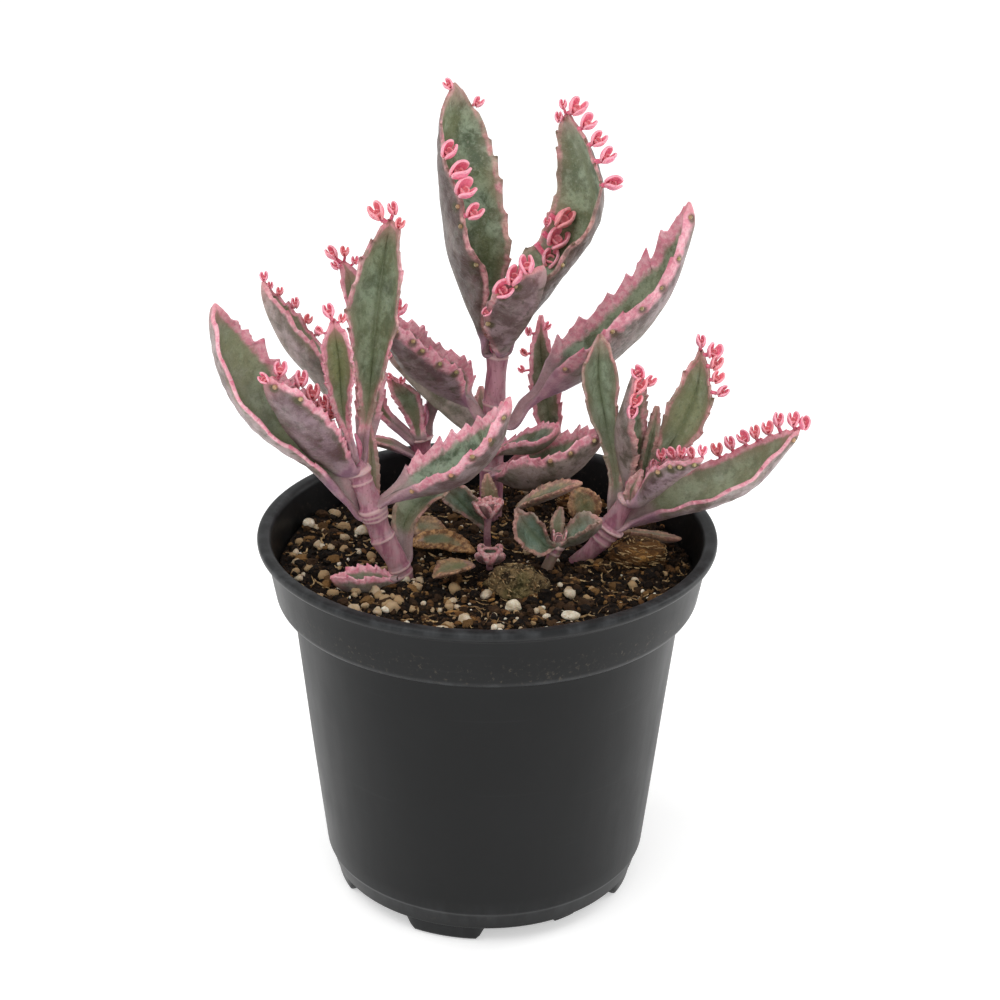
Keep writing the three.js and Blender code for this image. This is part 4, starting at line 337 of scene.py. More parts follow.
        [-28.7, -1, 110.7, -30.2, -1.8, 111.3, -27.1, -1.7, 111.2],
        [-28.5, 5, 119.5, -30.6, 1.9, 120.9, -24.6, 4.3, 120],
        [-29.5, 9, 131.6, -31, 3.9, 133, -24.1, 8.7, 132.4],
        [-31.4, 12, 141.5, -32.7, 7.3, 142.5, -26.5, 11.8, 142.6],
        [-33, 13.5, 147.7, -34.2, 10.8, 147.9, -30.1, 13.9, 148.4],
        [-34.1, 14, 151.4, -34.5, 13.7, 151.3, -33.6, 14.1, 151.5],
    ],
    "leaf_l8": [
        [-19.3, -9, 86, -20.8, -9.9, 86.3, -17.7, -9.7, 86.5],
        [-19.6, -7, 90.7, -21.6, -8.4, 91.5, -17.4, -8.4, 91.1],
        [-18.4, -5, 95.5, -21.9, -5.6, 97.8, -16.2, -8.4, 96.5],
        [-15.3, -2, 98.2, -18.3, -1.2, 102.1, -12.8, -6, 99.8],
        [-11.7, 1, 99.5, -13.4, 1.9, 102.5, -9.7, -2, 100.1],
        [-8.5, 3, 100.7, -8.7, 3.2, 101.1, -8.2, 2.6, 100.6],
    ],
    "leaf_l9": [
        [-26.2, -6, 99.4, -27.3, -6.7, 99.5, -25.1, -6.5, 99.7],
        [-27, -4, 104.5, -28, -5.6, 105, -25, -4.3, 104.8],
        [-27.3, -2, 109.9, -28.2, -3.6, 110.4, -25.4, -2.3, 110.1],
        [-27.5, -1, 114.3, -28.2, -1.9, 114.5, -26.3, -1.1, 114.3],
        [-27.5, 0, 116.8, -27.8, -0.2, 116.9, -27.1, 0.1, 116.8],
    ],
    "leaf_b1": [
        [-19, 41, 95.9, -19, 39.5, 95.4, -18.1, 41.7, 97.1],
        [-22.9, 40, 99.3, -22.9, 38.4, 98.8, -21.9, 40.5, 100.5],
        [-26.8, 39, 103.7, -26.9, 36.9, 103.2, -25.2, 39.5, 105],
        [-30.2, 38, 108.8, -30.1, 33.5, 108.5, -26.2, 37.9, 110.9],
        [-32.8, 38, 115.1, -33.4, 34.5, 115, -29.5, 38, 116.2],
        [-34, 38, 120.3, -34.2, 37.6, 120.3, -33.5, 38.2, 120.5],
    ],
    "leaf_b3": [
        [-17.5, 41, 90.7, -17, 39.7, 91, -17.4, 42.2, 91.5],
        [-21.5, 40, 92.8, -20.8, 38.4, 93.2, -21.3, 41.4, 93.9],
        [-25.4, 39, 94.8, -24.5, 37, 95.5, -25.1, 40.7, 96.4],
        [-28.6, 38, 96.2, -27.9, 36.3, 96.8, -28.6, 39.5, 97.4],
        [-30.8, 37.5, 96.9, -30.7, 37, 97, -30.9, 38, 97.1],
    ],
    "leaf_b4": [
        [-16.6, 43, 95.7, -17.7, 42.5, 96.1, -15.4, 42.4, 95.5],
        [-15.3, 44, 100.2, -16.4, 43.6, 100.5, -14.3, 43.4, 100],
        [-14.3, 45, 104.4, -15.8, 44.2, 105, -12.8, 44, 104.2],
        [-13.1, 46, 108.9, -15.8, 44.3, 110, -10.4, 43.9, 108.6],
        [-11.9, 47, 113.9, -13.9, 45.9, 114.5, -9.9, 45.7, 113.7],
        [-11.2, 47.5, 117.7, -11.5, 47.4, 117.8, -10.8, 47.4, 117.6],
    ],
    "leaf_m3": [
        [7.6, 8, 92.5, 7.6, 8.9, 93.4, 6.8, 7, 92.5],
        [11.1, 5, 95.4, 10.8, 6.7, 97.6, 9.1, 3.1, 96],
        [15, 2, 98.4, 14.5, 4, 100.9, 12.9, -0.2, 99.2],
        [18.6, 0, 101.1, 18.3, 1.7, 102.8, 17.4, -2, 101.7],
        [21.8, -1, 103.1, 21.8, -0.7, 103.3, 21.7, -1.4, 103.2],
    ],
    "leaf_m4": [
        [24.4, 8, 88.5, 23.4, 7.5, 88.2, 25.5, 7.7, 88.8],
        [23.6, 8, 91.7, 20.6, 6.3, 90.6, 26.9, 7, 92.8],
        [22.3, 8, 94.5, 19.1, 5.8, 92.9, 26, 7.1, 96.4],
        [21.1, 8, 96.6, 19.2, 6.7, 95.3, 23.2, 7.7, 98],
        [20.1, 8, 97.9, 19.8, 7.8, 97.6, 20.5, 8, 98.2],
    ],
    "leaf_m6": [
        [0.5, 12, 90.6, -0.6, 11.5, 90.5, 1.6, 11.5, 90.6],
        [0.4, 12, 93.7, -1.4, 10.8, 93.6, 2.4, 11, 93.9],
        [-0.1, 12, 96.8, -1.5, 11.1, 96.7, 1.4, 11.2, 97.1],
        [-0.3, 12, 99.5, -0.7, 11.9, 99.4, 0.1, 11.9, 99.5],
    ],
    "leaf_m10": [
        [16.6, -1.5, 88.4, 15.7, -1.8, 88.4, 17.4, -1.8, 88.5],
        [16.3, -1, 92, 14.7, -1.6, 92.2, 17.8, -1.8, 92.2],
        [16.7, -0.5, 94.4, 15.4, -0.9, 94.8, 17.9, -1.2, 94.3],
        [17.1, 0, 96.5, 16.8, -0.1, 96.6, 17.5, -0.1, 96.5],
    ],
    "leaf_m12": [
        [-3.4, -13, 87.2, -2.7, -14.1, 87.7, -4.1, -11.9, 87.7],
        [-6.6, -15, 87.1, -4.9, -17.8, 88.6, -8.4, -12.2, 88.6],
        [-9.7, -17, 87, -8.4, -19.8, 88.4, -11.3, -14.3, 88.4],
        [-12.2, -18, 86.7, -12.1, -18.4, 86.8, -12.4, -17.6, 86.8],
    ],
    "leaf_r5": [
        [35.7, 4, 99.8, 34.6, 3.7, 100.1, 36.7, 3.3, 99.7],
        [36.9, 4.5, 105.8, 35.3, 3.7, 106.2, 38.2, 3.3, 105.7],
        [37.9, 5, 111.7, 36.2, 4, 112, 39.3, 3.6, 111.6],
        [38.6, 5.5, 116.5, 37.4, 5, 116.8, 39.8, 4.7, 116.5],
        [39, 6, 119.8, 38.6, 5.9, 119.9, 39.4, 5.8, 119.8],
    ],
    "leaf_r7": [
        [33.3, 1, 98.1, 32.1, 0.7, 98.2, 34.2, 0.4, 97.8],
        [33.8, 0, 101.6, 31.7, -0.7, 101.9, 34.7, -1.9, 100.9],
        [34.8, -0.5, 104.4, 33.4, -0.7, 104.8, 35.6, -1.7, 103.8],
        [35.6, -1, 106.6, 35.3, -0.9, 106.8, 35.9, -1.2, 106.5],
    ],
    "leaf_r8": [
        [31.2, 8, 86, 31.5, 9.1, 86.4, 30.9, 7, 86.6],
        [35.2, 7, 86, 35.6, 8.8, 86.8, 34.9, 5.6, 87.4],
        [39.9, 6, 85.7, 40.5, 8.1, 86.7, 39.5, 4.4, 87.4],
        [43.4, 5, 86, 43.8, 6.7, 86.6, 43, 3.7, 87.1],
        [46, 4.5, 86.5, 46.1, 4.9, 86.6, 45.9, 4.2, 86.7],
    ],
}
OLD_LEAVES = {
  "old_leaf_1": [
    [-18.5, 10.6, 84.3, -19, 11.1, 85.3, -17.7, 9.8, 84],
    [-16.4, 12.4, 84.6, -17.1, 13.8, 87, -15.3, 9.8, 83.9],
    [-13.7, 12.5, 84.6, -13.6, 14.1, 87, -14, 9.7, 83.9],
    [-11.5, 12, 84.5, -11.4, 13.1, 86.2, -11.8, 10.1, 84.1],
    [-10.1, 12.1, 84.5, -10.1, 12.3, 84.8, -10.1, 11.8, 84.5],
  ],
  "old_leaf_2": [
    [-18, 5.9, 83.6, -18.2, 6.5, 84.4, -18, 4.9, 83.5],
    [-14.5, 5.9, 84.2, -14.6, 7.5, 86.2, -14.6, 3.3, 83.8],
    [-10.4, 5.2, 84.6, -9.8, 7, 86.9, -11.2, 2.4, 84.2],
    [-6.5, 3.5, 84.1, -5.6, 4.7, 86, -8, 1.6, 83.8],
    [-3.1, -0.3, 84.7, -3, -0.2, 84.9, -3.4, -0.5, 84.7],
  ],
}
STEMS = {
    "stem_left": [
        [-19.19, -11, 82.63, 3],
        [-21.45, -11, 88.52, 2.8],
        [-24.17, -11, 93.83, 2.6],
        [-26.6, -11, 101.36, 2.5],
        [-28.57, -11, 107.07, 2.3],
        [-29.65, -11, 110.52, 2],
        [-30.52, -11, 112.97, 1.2],
    ],
    "stem_centre": [
        [0.66, 28, 80.03, 3],
        [0.58, 28, 88.2, 2.9],
        [0.75, 28, 96.27, 2.8],
        [0.91, 28, 104.25, 2.7],
        [1.31, 27.5, 112.32, 2.6],
        [1.48, 27.5, 119.58, 2.4],
        [1.67, 27.5, 123.43, 2.2],
        [1.89, 27.5, 125.22, 1.2],
    ],
    "stem_right": [
        [17.4, 3, 77.31, 2.6],
        [20.9, 3, 80.54, 2.7],
        [24.38, 3, 83.76, 2.6],
        [27.36, 3, 87.48, 2.5],
        [29.6, 3, 91.17, 2.4],
        [31.56, 2.5, 95.31, 2.1],
        [33.07, 2, 98.39, 1.5],
        [33.72, 2, 99.94, 1],
    ],
    "stem_back": [
        [-13.46, 41, 79.45, 2.6],
        [-15.27, 42, 85.93, 2.5],
        [-17.04, 42.5, 92.58, 2.4],
        [-17.8, 43, 96.74, 2.1],
        [-18.05, 43, 98.92, 1.2],
    ],
    "stem_middle": [
        [14.31, -4, 83.06, 1.5],
        [15.44, -3.5, 85.7, 1.3],
        [16.33, -3.2, 87.91, 1.2],
        [16.54, -3, 89.11, 0.8],
    ],
}
# margin, station 0 to 1, point on the margin, middle of the cup, diameter
PLANTLETS = {
    "leaf_c1": [
        ["L", 0.988, -9.4, 29, 188.5, -10.2, 28.2, 189.1, 2.3],
        ["R", 0.921, -4.6, 34.1, 183.1, -3.4, 33.3, 183.8, 2.3],
        ["L", 0.774, -10.9, 16.6, 176.6, -9.7, 15.7, 177, 3.8],
        ["L", 0.695, -9.3, 14.5, 172, -7.3, 13.8, 172.8, 4.3],
        ["L", 0.634, -7.7, 13.6, 168.1, -6, 12.8, 168.9, 4.3],
        ["L", 0.549, -6, 12.7, 162.9, -3.9, 12, 163.8, 3.6],
    ],
    "leaf_c2": [
        ["R", 1, 17.4, 37.5, 180.6, 19.6, 37, 182, 4],
        ["L", 1, 17, 38.3, 180.4, 16.4, 38.1, 182.4, 2.1],
        ["L", 0.982, 16.3, 39, 178.9, 15.5, 38.1, 179.3, 2.3],
        ["R", 0.945, 19.9, 32.8, 178, 22.1, 32.4, 179.6, 3.5],
        ["R", 0.884, 22, 29.8, 175, 24.4, 29.3, 176.4, 3.5],
        ["R", 0.817, 23.7, 27.5, 171.8, 26.5, 27, 173.1, 3.7],
        ["R", 0.732, 25, 24.8, 167.1, 27.9, 23.9, 167.6, 3.7],
        ["L", 0.555, 13.6, 40, 155.1, 17.1, 38.6, 154.2, 4.8],
        ["L", 0.481, 12.1, 40.3, 150.6, 15.7, 38.6, 149.2, 4.8],
        ["L", 0.427, 10.5, 40.3, 147.9, 14.1, 37.7, 144.7, 4.3],
        ["L", 0.512, 12.8, 40.2, 152.5, 13.2, 38.3, 153.6, 1.9],
    ],
    "leaf_c3": [
        ["R", 0.915, 8.9, 9.2, 151.1, 8.3, 8.8, 152.5, 3.9],
        ["R", 0.817, 5.6, 9.1, 149.3, 5.4, 8.2, 150, 4.1],
        ["R", 0.713, 2.6, 9, 147, 2.9, 7.9, 146.9, 4.1],
        ["R", 0.451, -1.3, 13.4, 139.7, -0.9, 12.4, 140, 2.1],
    ],
    "leaf_c7": [
        ["R", 0.915, 13.6, 43.2, 125.5, 13.9, 42.4, 126, 2],
        ["L", 0.884, 10.7, 42.5, 124.1, 9.4, 41.8, 124.8, 2],
        ["L", 0.756, 9.7, 40.4, 119.7, 8.3, 39.5, 120.1, 2],
        ["L", 0.64, 9.5, 39.3, 115.7, 7.8, 38.4, 116.1, 1.7],
    ],
    "leaf_c5": [
        ["R", 0.866, -21.3, 7.7, 139.9, -20.8, 7.6, 142.2, 3.4],
        ["L", 0.927, -22.7, 3, 140.7, -25.3, 2, 141, 3.6],
        ["L", 0.89, -22.5, 3.1, 140.2, -24.1, 1.2, 138.4, 1.8],
    ],
    "leaf_l2": [
        ["R", 1, -46.8, -30.6, 139.7, -47.6, -31.6, 139.7, 2.3],
        ["R", 0.927, -45.2, -26.6, 137.9, -44.6, -26.8, 140, 3],
        ["R", 0.793, -41.8, -20.2, 133.7, -40.8, -20.5, 135.3, 3.3],
        ["R", 0.658, -39.2, -16.3, 130, -38.6, -17, 130.9, 3.3],
        ["R", 0.542, -37, -13.7, 126.7, -36.5, -14.5, 127.4, 3.1],
        ["R", 0.445, -35.5, -11.9, 123.7, -34.9, -12.6, 124.5, 2.7],
        ["R", 0.366, -34.4, -10.8, 121.3, -35, -11.9, 121.3, 2],
    ],
    "leaf_l3": [
        ["R", 1, -50.8, 2.9, 150, -50.8, 2.3, 151.2, 2],
        ["R", 0.963, -49.9, 3.6, 148.5, -49.5, 2.7, 148.9, 1.6],
        ["R", 0.902, -48.1, 4.5, 146.3, -47.5, 3.8, 147.2, 1.8],
        ["R", 0.805, -45.1, 5.3, 143.1, -44.2, 4.7, 144.1, 2.3],
        ["R", 0.707, -42.4, 5.9, 139.3, -41.4, 5.2, 140.1, 2],
        ["R", 0.628, -40.1, 5.9, 136.1, -39.2, 5.3, 137.2, 2.1],
    ],
    "leaf_l4": [
        ["L", 1, -33.9, -19.4, 149, -34.5, -19.8, 150.8, 2.8],
        ["R", 0.976, -32.7, -19.9, 148.4, -31.6, -20.5, 149.5, 1.9],
        ["L", 0.915, -35.1, -21.6, 146.5, -36.3, -22.3, 147.3, 1.7],
    ],
    "leaf_l5": [
        ["L", 0.988, -23.3, 1.5, 164.6, -25.2, 1.3, 166.7, 3.8],
        ["R", 1, -22.1, 2.6, 165, -21.7, 2.5, 167.1, 2.7],
        ["R", 0.969, -20.8, 0, 164.2, -20, -0.8, 164.8, 2.2],
    ],
    "leaf_l6": [
        ["L", 1, -34.5, 13.7, 151.3, -36.3, 13.4, 153.2, 3],
        ["R", 1, -33.6, 14.1, 151.5, -33.4, 13.9, 153.6, 2.1],
        ["L", 0.982, -34.4, 13, 150.6, -35.4, 12, 150.8, 2.1],
        ["R", 0.963, -32.1, 14.1, 150.2, -31.1, 13.6, 151.6, 1.8],
    ],
    "leaf_b2": [
        ["R", 0.976, -24.5, 40.7, 113.3, -24.8, 39.6, 113.3, 1.7],
        ["R", 0.872, -21.9, 40.3, 112, -21.8, 39.4, 112.4, 1.7],
    ],
    "leaf_c6": [
        ["R", 0.994, -25.3, 41.5, 118.3, -25.3, 40.6, 118.7, 2.2],
    ],
    "leaf_r1": [
        ["L", 0.597, 54.4, 6.3, 107, 53.5, 6.1, 108.9, 2.8],
        ["L", 0.664, 57.3, 5.1, 109, 56.3, 4.9, 111, 3],
        ["L", 0.732, 60, 3.5, 111.2, 59.1, 3.2, 113.2, 2.8],
        ["L", 0.793, 62.3, 1.7, 113.3, 61.5, 1.5, 115.2, 2.8],
        ["L", 0.86, 64.8, -0.4, 115.4, 64, -0.7, 117.2, 2.8],
        ["L", 0.915, 66.9, -2.6, 117.1, 66.1, -2.5, 119.9, 3],
        ["L", 0.988, 69.7, -6, 119.4, 69, -6.1, 121.6, 3],
        ["L", 1, 70.2, -6.6, 119.8, 71.4, -7.1, 121.1, 2.9],
    ],
    "leaf_r2": [
        ["L", 1, 48.9, 12.6, 131.6, 49, 12.3, 133.4, 2.8],
        ["R", 0.969, 49.7, 11.2, 130.6, 52, 10.6, 131.6, 3.5],
        ["R", 0.908, 50.4, 8.7, 128.8, 52.3, 8, 129.6, 3.2],
        ["R", 0.829, 51, 6.2, 126.4, 52.5, 5.4, 127.2, 2.8],
        ["R", 0.756, 51.3, 4.5, 124, 53.6, 3.6, 124.4, 2.8],
    ],
    "leaf_r3": [
        ["L", 0.957, 33.7, -1.3, 130.7, 33.7, -2.2, 131, 2.9],
        ["L", 0.847, 33.2, -2.9, 128, 34, -3.9, 128.3, 3.4],
        ["L", 0.738, 32.5, -4.1, 125, 33.1, -5, 125.3, 2.9],
        ["L", 0.646, 32.6, -4.6, 122.4, 32.5, -5.5, 122.8, 3],
        ["R", 0.884, 35.6, 2.3, 126.7, 36.8, 1.6, 127.5, 2.5],
    ],
    "leaf_r6": [
        ["L", 0.335, 38.2, 1.2, 107.3, 38.2, 0.2, 107.6, 1.9],
        ["L", 0.488, 40.3, -1.3, 109.1, 39.8, -1.7, 110.7, 2.5],
        ["L", 0.634, 42.1, -4.5, 111.2, 41.8, -5, 112.4, 2.5],
        ["L", 0.75, 44, -7.5, 112.7, 43.8, -8, 114, 2.5],
        ["L", 0.854, 45.7, -10.4, 113.9, 45.8, -11, 115.2, 2.3],
        ["L", 1, 48, -15.5, 116.2, 47.8, -15.9, 117.8, 2.2],
    ],
}
BUDS = {
    "leaf_c4": [
        ["R", 0.298],
        ["R", 0.384],
        ["R", 0.481],
        ["R", 0.591],
        ["R", 0.695],
        ["R", 0.811],
        ["R", 0.945],
    ],
    "leaf_c5": [
        ["L", 0.829],
        ["L", 0.707],
        ["L", 0.628],
        ["L", 0.494],
        ["L", 0.384],
        ["L", 0.378],
    ],
    "leaf_l7": [
        ["R", 0.244],
        ["R", 0.463],
        ["R", 0.597],
        ["R", 0.732],
        ["R", 0.872],
    ],
    "leaf_m1": [
        ["R", 0.536],
        ["R", 0.695],
        ["R", 0.908],
    ],
    "leaf_c1": [
        ["L", 0.591],
        ["L", 0.524],
        ["L", 0.384],
        ["L", 0.384],
    ],
    "leaf_c3": [
        ["R", 0.786],
        ["R", 0.664],
        ["R", 0.402],
    ],
    "leaf_c2": [
        ["R", 0.305],
        ["R", 0.42],
    ],
    "leaf_r6": [
        ["R", 0.475],
        ["R", 0.64],
        ["R", 0.744],
        ["R", 0.89],
    ],
    "leaf_l2": [
        ["L", 0.921],
        ["L", 0.756],
    ],
    "leaf_r1": [
        ["R", 0.945],
    ],
}
LUMPS = {
  "moss_clod": [7.0, -16.1, [6.4, 5.6, 4.6], 2.2, 1.3, 1],
  "bark_chunk_right": [35.5, 1.1, [6.6, 4.6, 4.2], 2, 2.2, 1],
  "bark_chunk_mid": [22.3, 30.9, [5.2, 3.6, 3.8], 2.6, 3.1, 1],
  "perlite_1": [19.0, -30.4, [2.1, 1.7, 1.3], 0.7, 0.4, 1],
  "perlite_2": [6.1, -27.0, [1.8, 1.5, 1.3], 0.7, 4.4, 0],
  "perlite_3": [-43.6, 16.6, [1.6, 1.6, 1.4], 0.7, 5.2, 0],
  "perlite_4": [-30.8, 14.3, [1.5, 1.4, 1.3], 0.7, 6.6, 0],
}
TUFTS = {
  "rosette_low": [0.7, -4.9, 0.5, 0.7, -5.9, 86.4, 0.9, [[-82, 12, 3.6, 4.4, 12], [82, 12, 3.6, 4.4, 12], [0, 8, 3.2, 4.6, 14], [180, 22, 2.6, 3.2, 12]]],
  "rosette_stalked": [-0.3, 3.1, 0.5, 0.1, 3.6, 92.3, 0.9, [[-90, 32, 4.4, 3.2, 30], [-40, 42, 4, 3, 30], [20, 50, 4, 3, 30], [85, 35, 4.2, 3.2, 30], [160, 45, 3.6, 3, 30]]],
}

# Looks of each leaf: band = width of the pale margin (mm), rose = how pink it is, olive and teal = how the green leans,
# purple = how mauve the underside is, pitch and depth = the margin's teeth (mm), stalk = share of the length that is stalk.
BASE = dict(band=1.2, rose=0.55, olive=0.4, teal=0.1, purple=0.6, pitch=4.5, depth=1.0, stalk=0.16, brown=0.0, th=1.0, far=1.0, near=1.0, deep=0.0, light=0.0, lower=1.0)
STYLE = {
    "leaf_c1": dict(band=1.3, rose=0.5, olive=0.45, pitch=6.3, depth=0.95, stalk=0.12, purple=0.35, deep=0.95),
    "leaf_c2": dict(band=1.2, rose=0.5, olive=0.35, pitch=5.1, depth=0.8, stalk=0.12, purple=0.4, deep=0.78, light=0.1),
    "leaf_c3": dict(band=1.3, rose=0.6, olive=0.3, pitch=4.0, depth=0.9, purple=0.75, stalk=0.12, deep=0.15, light=0.1),
    "leaf_c4": dict(band=3, rose=1.0, olive=0.35, pitch=7.4, depth=2.2, stalk=0.3, purple=0.45, far=1.35, near=0.8, deep=0.25, light=0.1),
    "leaf_c5": dict(band=2.8, rose=0.95, olive=0.2, pitch=4.0, depth=1.3, stalk=0.22, purple=0.75, deep=0.3),
    "leaf_c6": dict(band=1.0, rose=0.4, olive=0.6, pitch=4.0, depth=0.8, purple=0.2),
    "leaf_c7": dict(band=1.0, rose=0.7, olive=0.3, pitch=3.4, depth=0.9, stalk=0.2),
    "leaf_c8": dict(band=0.6, rose=0.6, olive=0.3, pitch=2.0, depth=0.3),
    "leaf_l1": dict(band=2.3, rose=0.95, olive=0.62, pitch=5.0, depth=1.7, stalk=0.24, purple=0.5, far=1.5, near=0.7, light=0.35, lower=0.4),
    "leaf_l2": dict(band=1.9, rose=0.85, olive=0.3, pitch=3.4, depth=1.2, purple=0.8, far=1.2, light=0.15, lower=0.7, deep=0.48),
    "leaf_l3": dict(band=0.9, rose=0.7, olive=0.5, pitch=4.2, depth=0.9, purple=0.4, light=0.1, far=1.3),
    "leaf_l4": dict(band=1.4, rose=0.75, olive=0.85, pitch=1.9, depth=0.6),
    "leaf_l5": dict(band=1.4, rose=0.6, olive=0.35, pitch=5.2, depth=1.0, light=0.2),
    "leaf_l6": dict(band=1.0, rose=0.7, olive=0.5, pitch=4.0, depth=0.7),
    "leaf_l7": dict(band=2.4, rose=1.0, olive=0.2, teal=0.25, pitch=4.7, depth=1.9, stalk=0.26, purple=0.6, far=1.2, deep=0.2),
    "leaf_l8": dict(band=0.7, rose=0.35, olive=0.8, pitch=4.0, depth=0.4, purple=0.1, stalk=0.35),
    "leaf_l9": dict(band=0.5, rose=0.6, olive=0.5, pitch=2.0, depth=0.3),
    "leaf_l10": dict(band=1.3, rose=0.9, olive=0.2, teal=0.5, pitch=2.4, depth=0.9, purple=0.35),
    "leaf_r1": dict(band=1.4, rose=0.75, olive=0.5, pitch=4.6, depth=0.8, stalk=0.22, purple=0.5, light=0.3, lower=0.55),
    "leaf_r2": dict(band=1.4, rose=0.5, olive=0.75, pitch=3.7, depth=0.8, stalk=0.1, light=0.25),
    "leaf_r3": dict(band=1.6, rose=0.6, olive=0.45, pitch=2.6, depth=0.7, purple=0.5, stalk=0.12),
    "leaf_r4": dict(band=0.7, rose=0.5, olive=0.2, teal=0.3, pitch=5.0, depth=0.6, stalk=0.22, purple=0.35, light=0.35),
    "leaf_r5": dict(band=0.6, rose=0.55, olive=0.5, pitch=1.6, depth=0.35),
    "leaf_r6": dict(band=1.0, rose=0.7, olive=0.3, pitch=3.2, depth=0.6, purple=0.75),
    "leaf_m1": dict(band=2.1, rose=0.75, olive=0.35, pitch=3.7, depth=1.3, purple=0.25, stalk=0.1, far=1.4, light=0.1, lower=1),
    "leaf_m2": dict(band=1.3, rose=0.85, olive=0.1, teal=0.5, pitch=2.3, depth=0.7, purple=0.3, stalk=0.1, far=1.3),
    "leaf_m3": dict(band=0.9, rose=0.45, olive=0.2, teal=0.6, pitch=2.0, depth=0.5, brown=0.35),
    "leaf_m4": dict(band=1.2, rose=0.1, olive=0.9, pitch=1.8, depth=0.4, brown=0.7, stalk=0.05),
    "leaf_m5": dict(band=0.8, rose=0.45, olive=0.1, teal=0.9, pitch=1.8, depth=0.4, purple=0.2, stalk=0.08),
    "leaf_m6": dict(band=0.5, rose=0.2, olive=1.0, pitch=1.6, depth=0.3),
    "leaf_m8": dict(band=0.9, rose=0.4, olive=0.0, teal=1.0, pitch=1.7, depth=0.6, purple=0.2, stalk=0.06),
    "leaf_m9": dict(band=0.9, rose=0.4, olive=0.1, teal=0.9, pitch=1.6, depth=0.6, purple=0.2, stalk=0.06),
    "leaf_m10": dict(band=0.4, rose=0.2, olive=1.0, pitch=1.4, depth=0.25, light=0.3),
    "leaf_m12": dict(band=0.9, rose=0.1, olive=0.9, pitch=1.9, depth=0.6, brown=0.55),
    "leaf_b2": dict(band=1.0, rose=0.7, olive=0.35, pitch=2.4, depth=0.5, purple=0.8),
    "leaf_b1": dict(band=0.9, rose=0.75, olive=0.4, pitch=3.0, depth=0.6, purple=0.8, stalk=0.35),
    "leaf_b3": dict(band=0.5, rose=0.6, olive=0.5, pitch=2.0, depth=0.2, purple=0.8, stalk=0.6),
    "leaf_b4": dict(band=0.6, rose=0.6, olive=0.4, pitch=2.6, depth=0.4, purple=0.9, stalk=0.5),
    "leaf_r8": dict(band=0.7, rose=0.3, olive=0.5, teal=0.4, pitch=2.4, depth=0.3, brown=0.35),
    "old_leaf_1": dict(band=0.8, rose=0.15, olive=0.5, teal=0.3, pitch=1.8, depth=0.4, brown=0.6),
    "old_leaf_2": dict(band=0.6, rose=0.0, olive=0.9, pitch=2.4, depth=0.3, brown=1.0),
}


# ------------------------------------------------------------------ small maths
def unit(a):
    a = np.asarray(a, float)
    return a / (np.linalg.norm(a, axis=-1, keepdims=True) + 1e-12)


def sstep(a, b, x):
    k = np.clip((np.asarray(x, float) - a) / (b - a), 0, 1)
    return k * k * (3 - 2 * k)


def hermite(P, ts):
    """Smooth curve through the rows of P, with distance along the first three columns as its parameter."""
    P = np.asarray(P, float)
    d = np.r_[0, np.cumsum(np.linalg.norm(np.diff(P[:, :3], axis=0), axis=1))]
    length = d[-1]
    d = d / length
    n = len(P)
    s = (P[1:] - P[:-1]) / (d[1:] - d[:-1])[:, None]
    m = np.zeros_like(P)
    m[0], m[-1] = s[0], s[-1]
    if n > 2:
        w = ((d[2:] - d[1:-1]) / (d[2:] - d[:-2]))[:, None]
        m[1:-1] = s[:-1] * w + s[1:] * (1 - w)
    i = np.clip(np.searchsorted(d, ts, side="right") - 1, 0, n - 2)
    h = (d[i + 1] - d[i])[:, None]
    u = ((ts - d[i]) / (d[i + 1] - d[i]))[:, None]
    u2, u3 = u * u, u * u * u
    q = (2 * u3 - 3 * u2 + 1) * P[i] + (u3 - 2 * u2 + u) * h * m[i] + (-2 * u3 + 3 * u2) * P[i + 1] + (u3 - u2) * h * m[i + 1]
    return q, length


def hash01(k, seed=0.0):
    return np.mod(np.sin(np.asarray(k, float) * 127.1 + seed * 311.7 + 1.7) * 43758.5453, 1.0)


def wobble(p, scale, seed=0.0):
    """Smooth noise of a few waves at points p (mm), about -1 to 1."""
    x, y, z = p[..., 0] / scale, p[..., 1] / scale, p[..., 2] / scale
    return (
        np.sin(1.9 * x + 0.7 * y - 0.4 * z + seed)
        + np.sin(-0.8 * x + 1.7 * y + 1.1 * z + 2.3 * seed + 1.1)
        + np.sin(0.6 * x - 1.2 * y + 2.1 * z + 3.1 * seed + 2.7)
        + np.sin(2.7 * x + 2.3 * y + 1.9 * z + 1.3 * seed + 0.4) * 0.5
    ) / 3.5


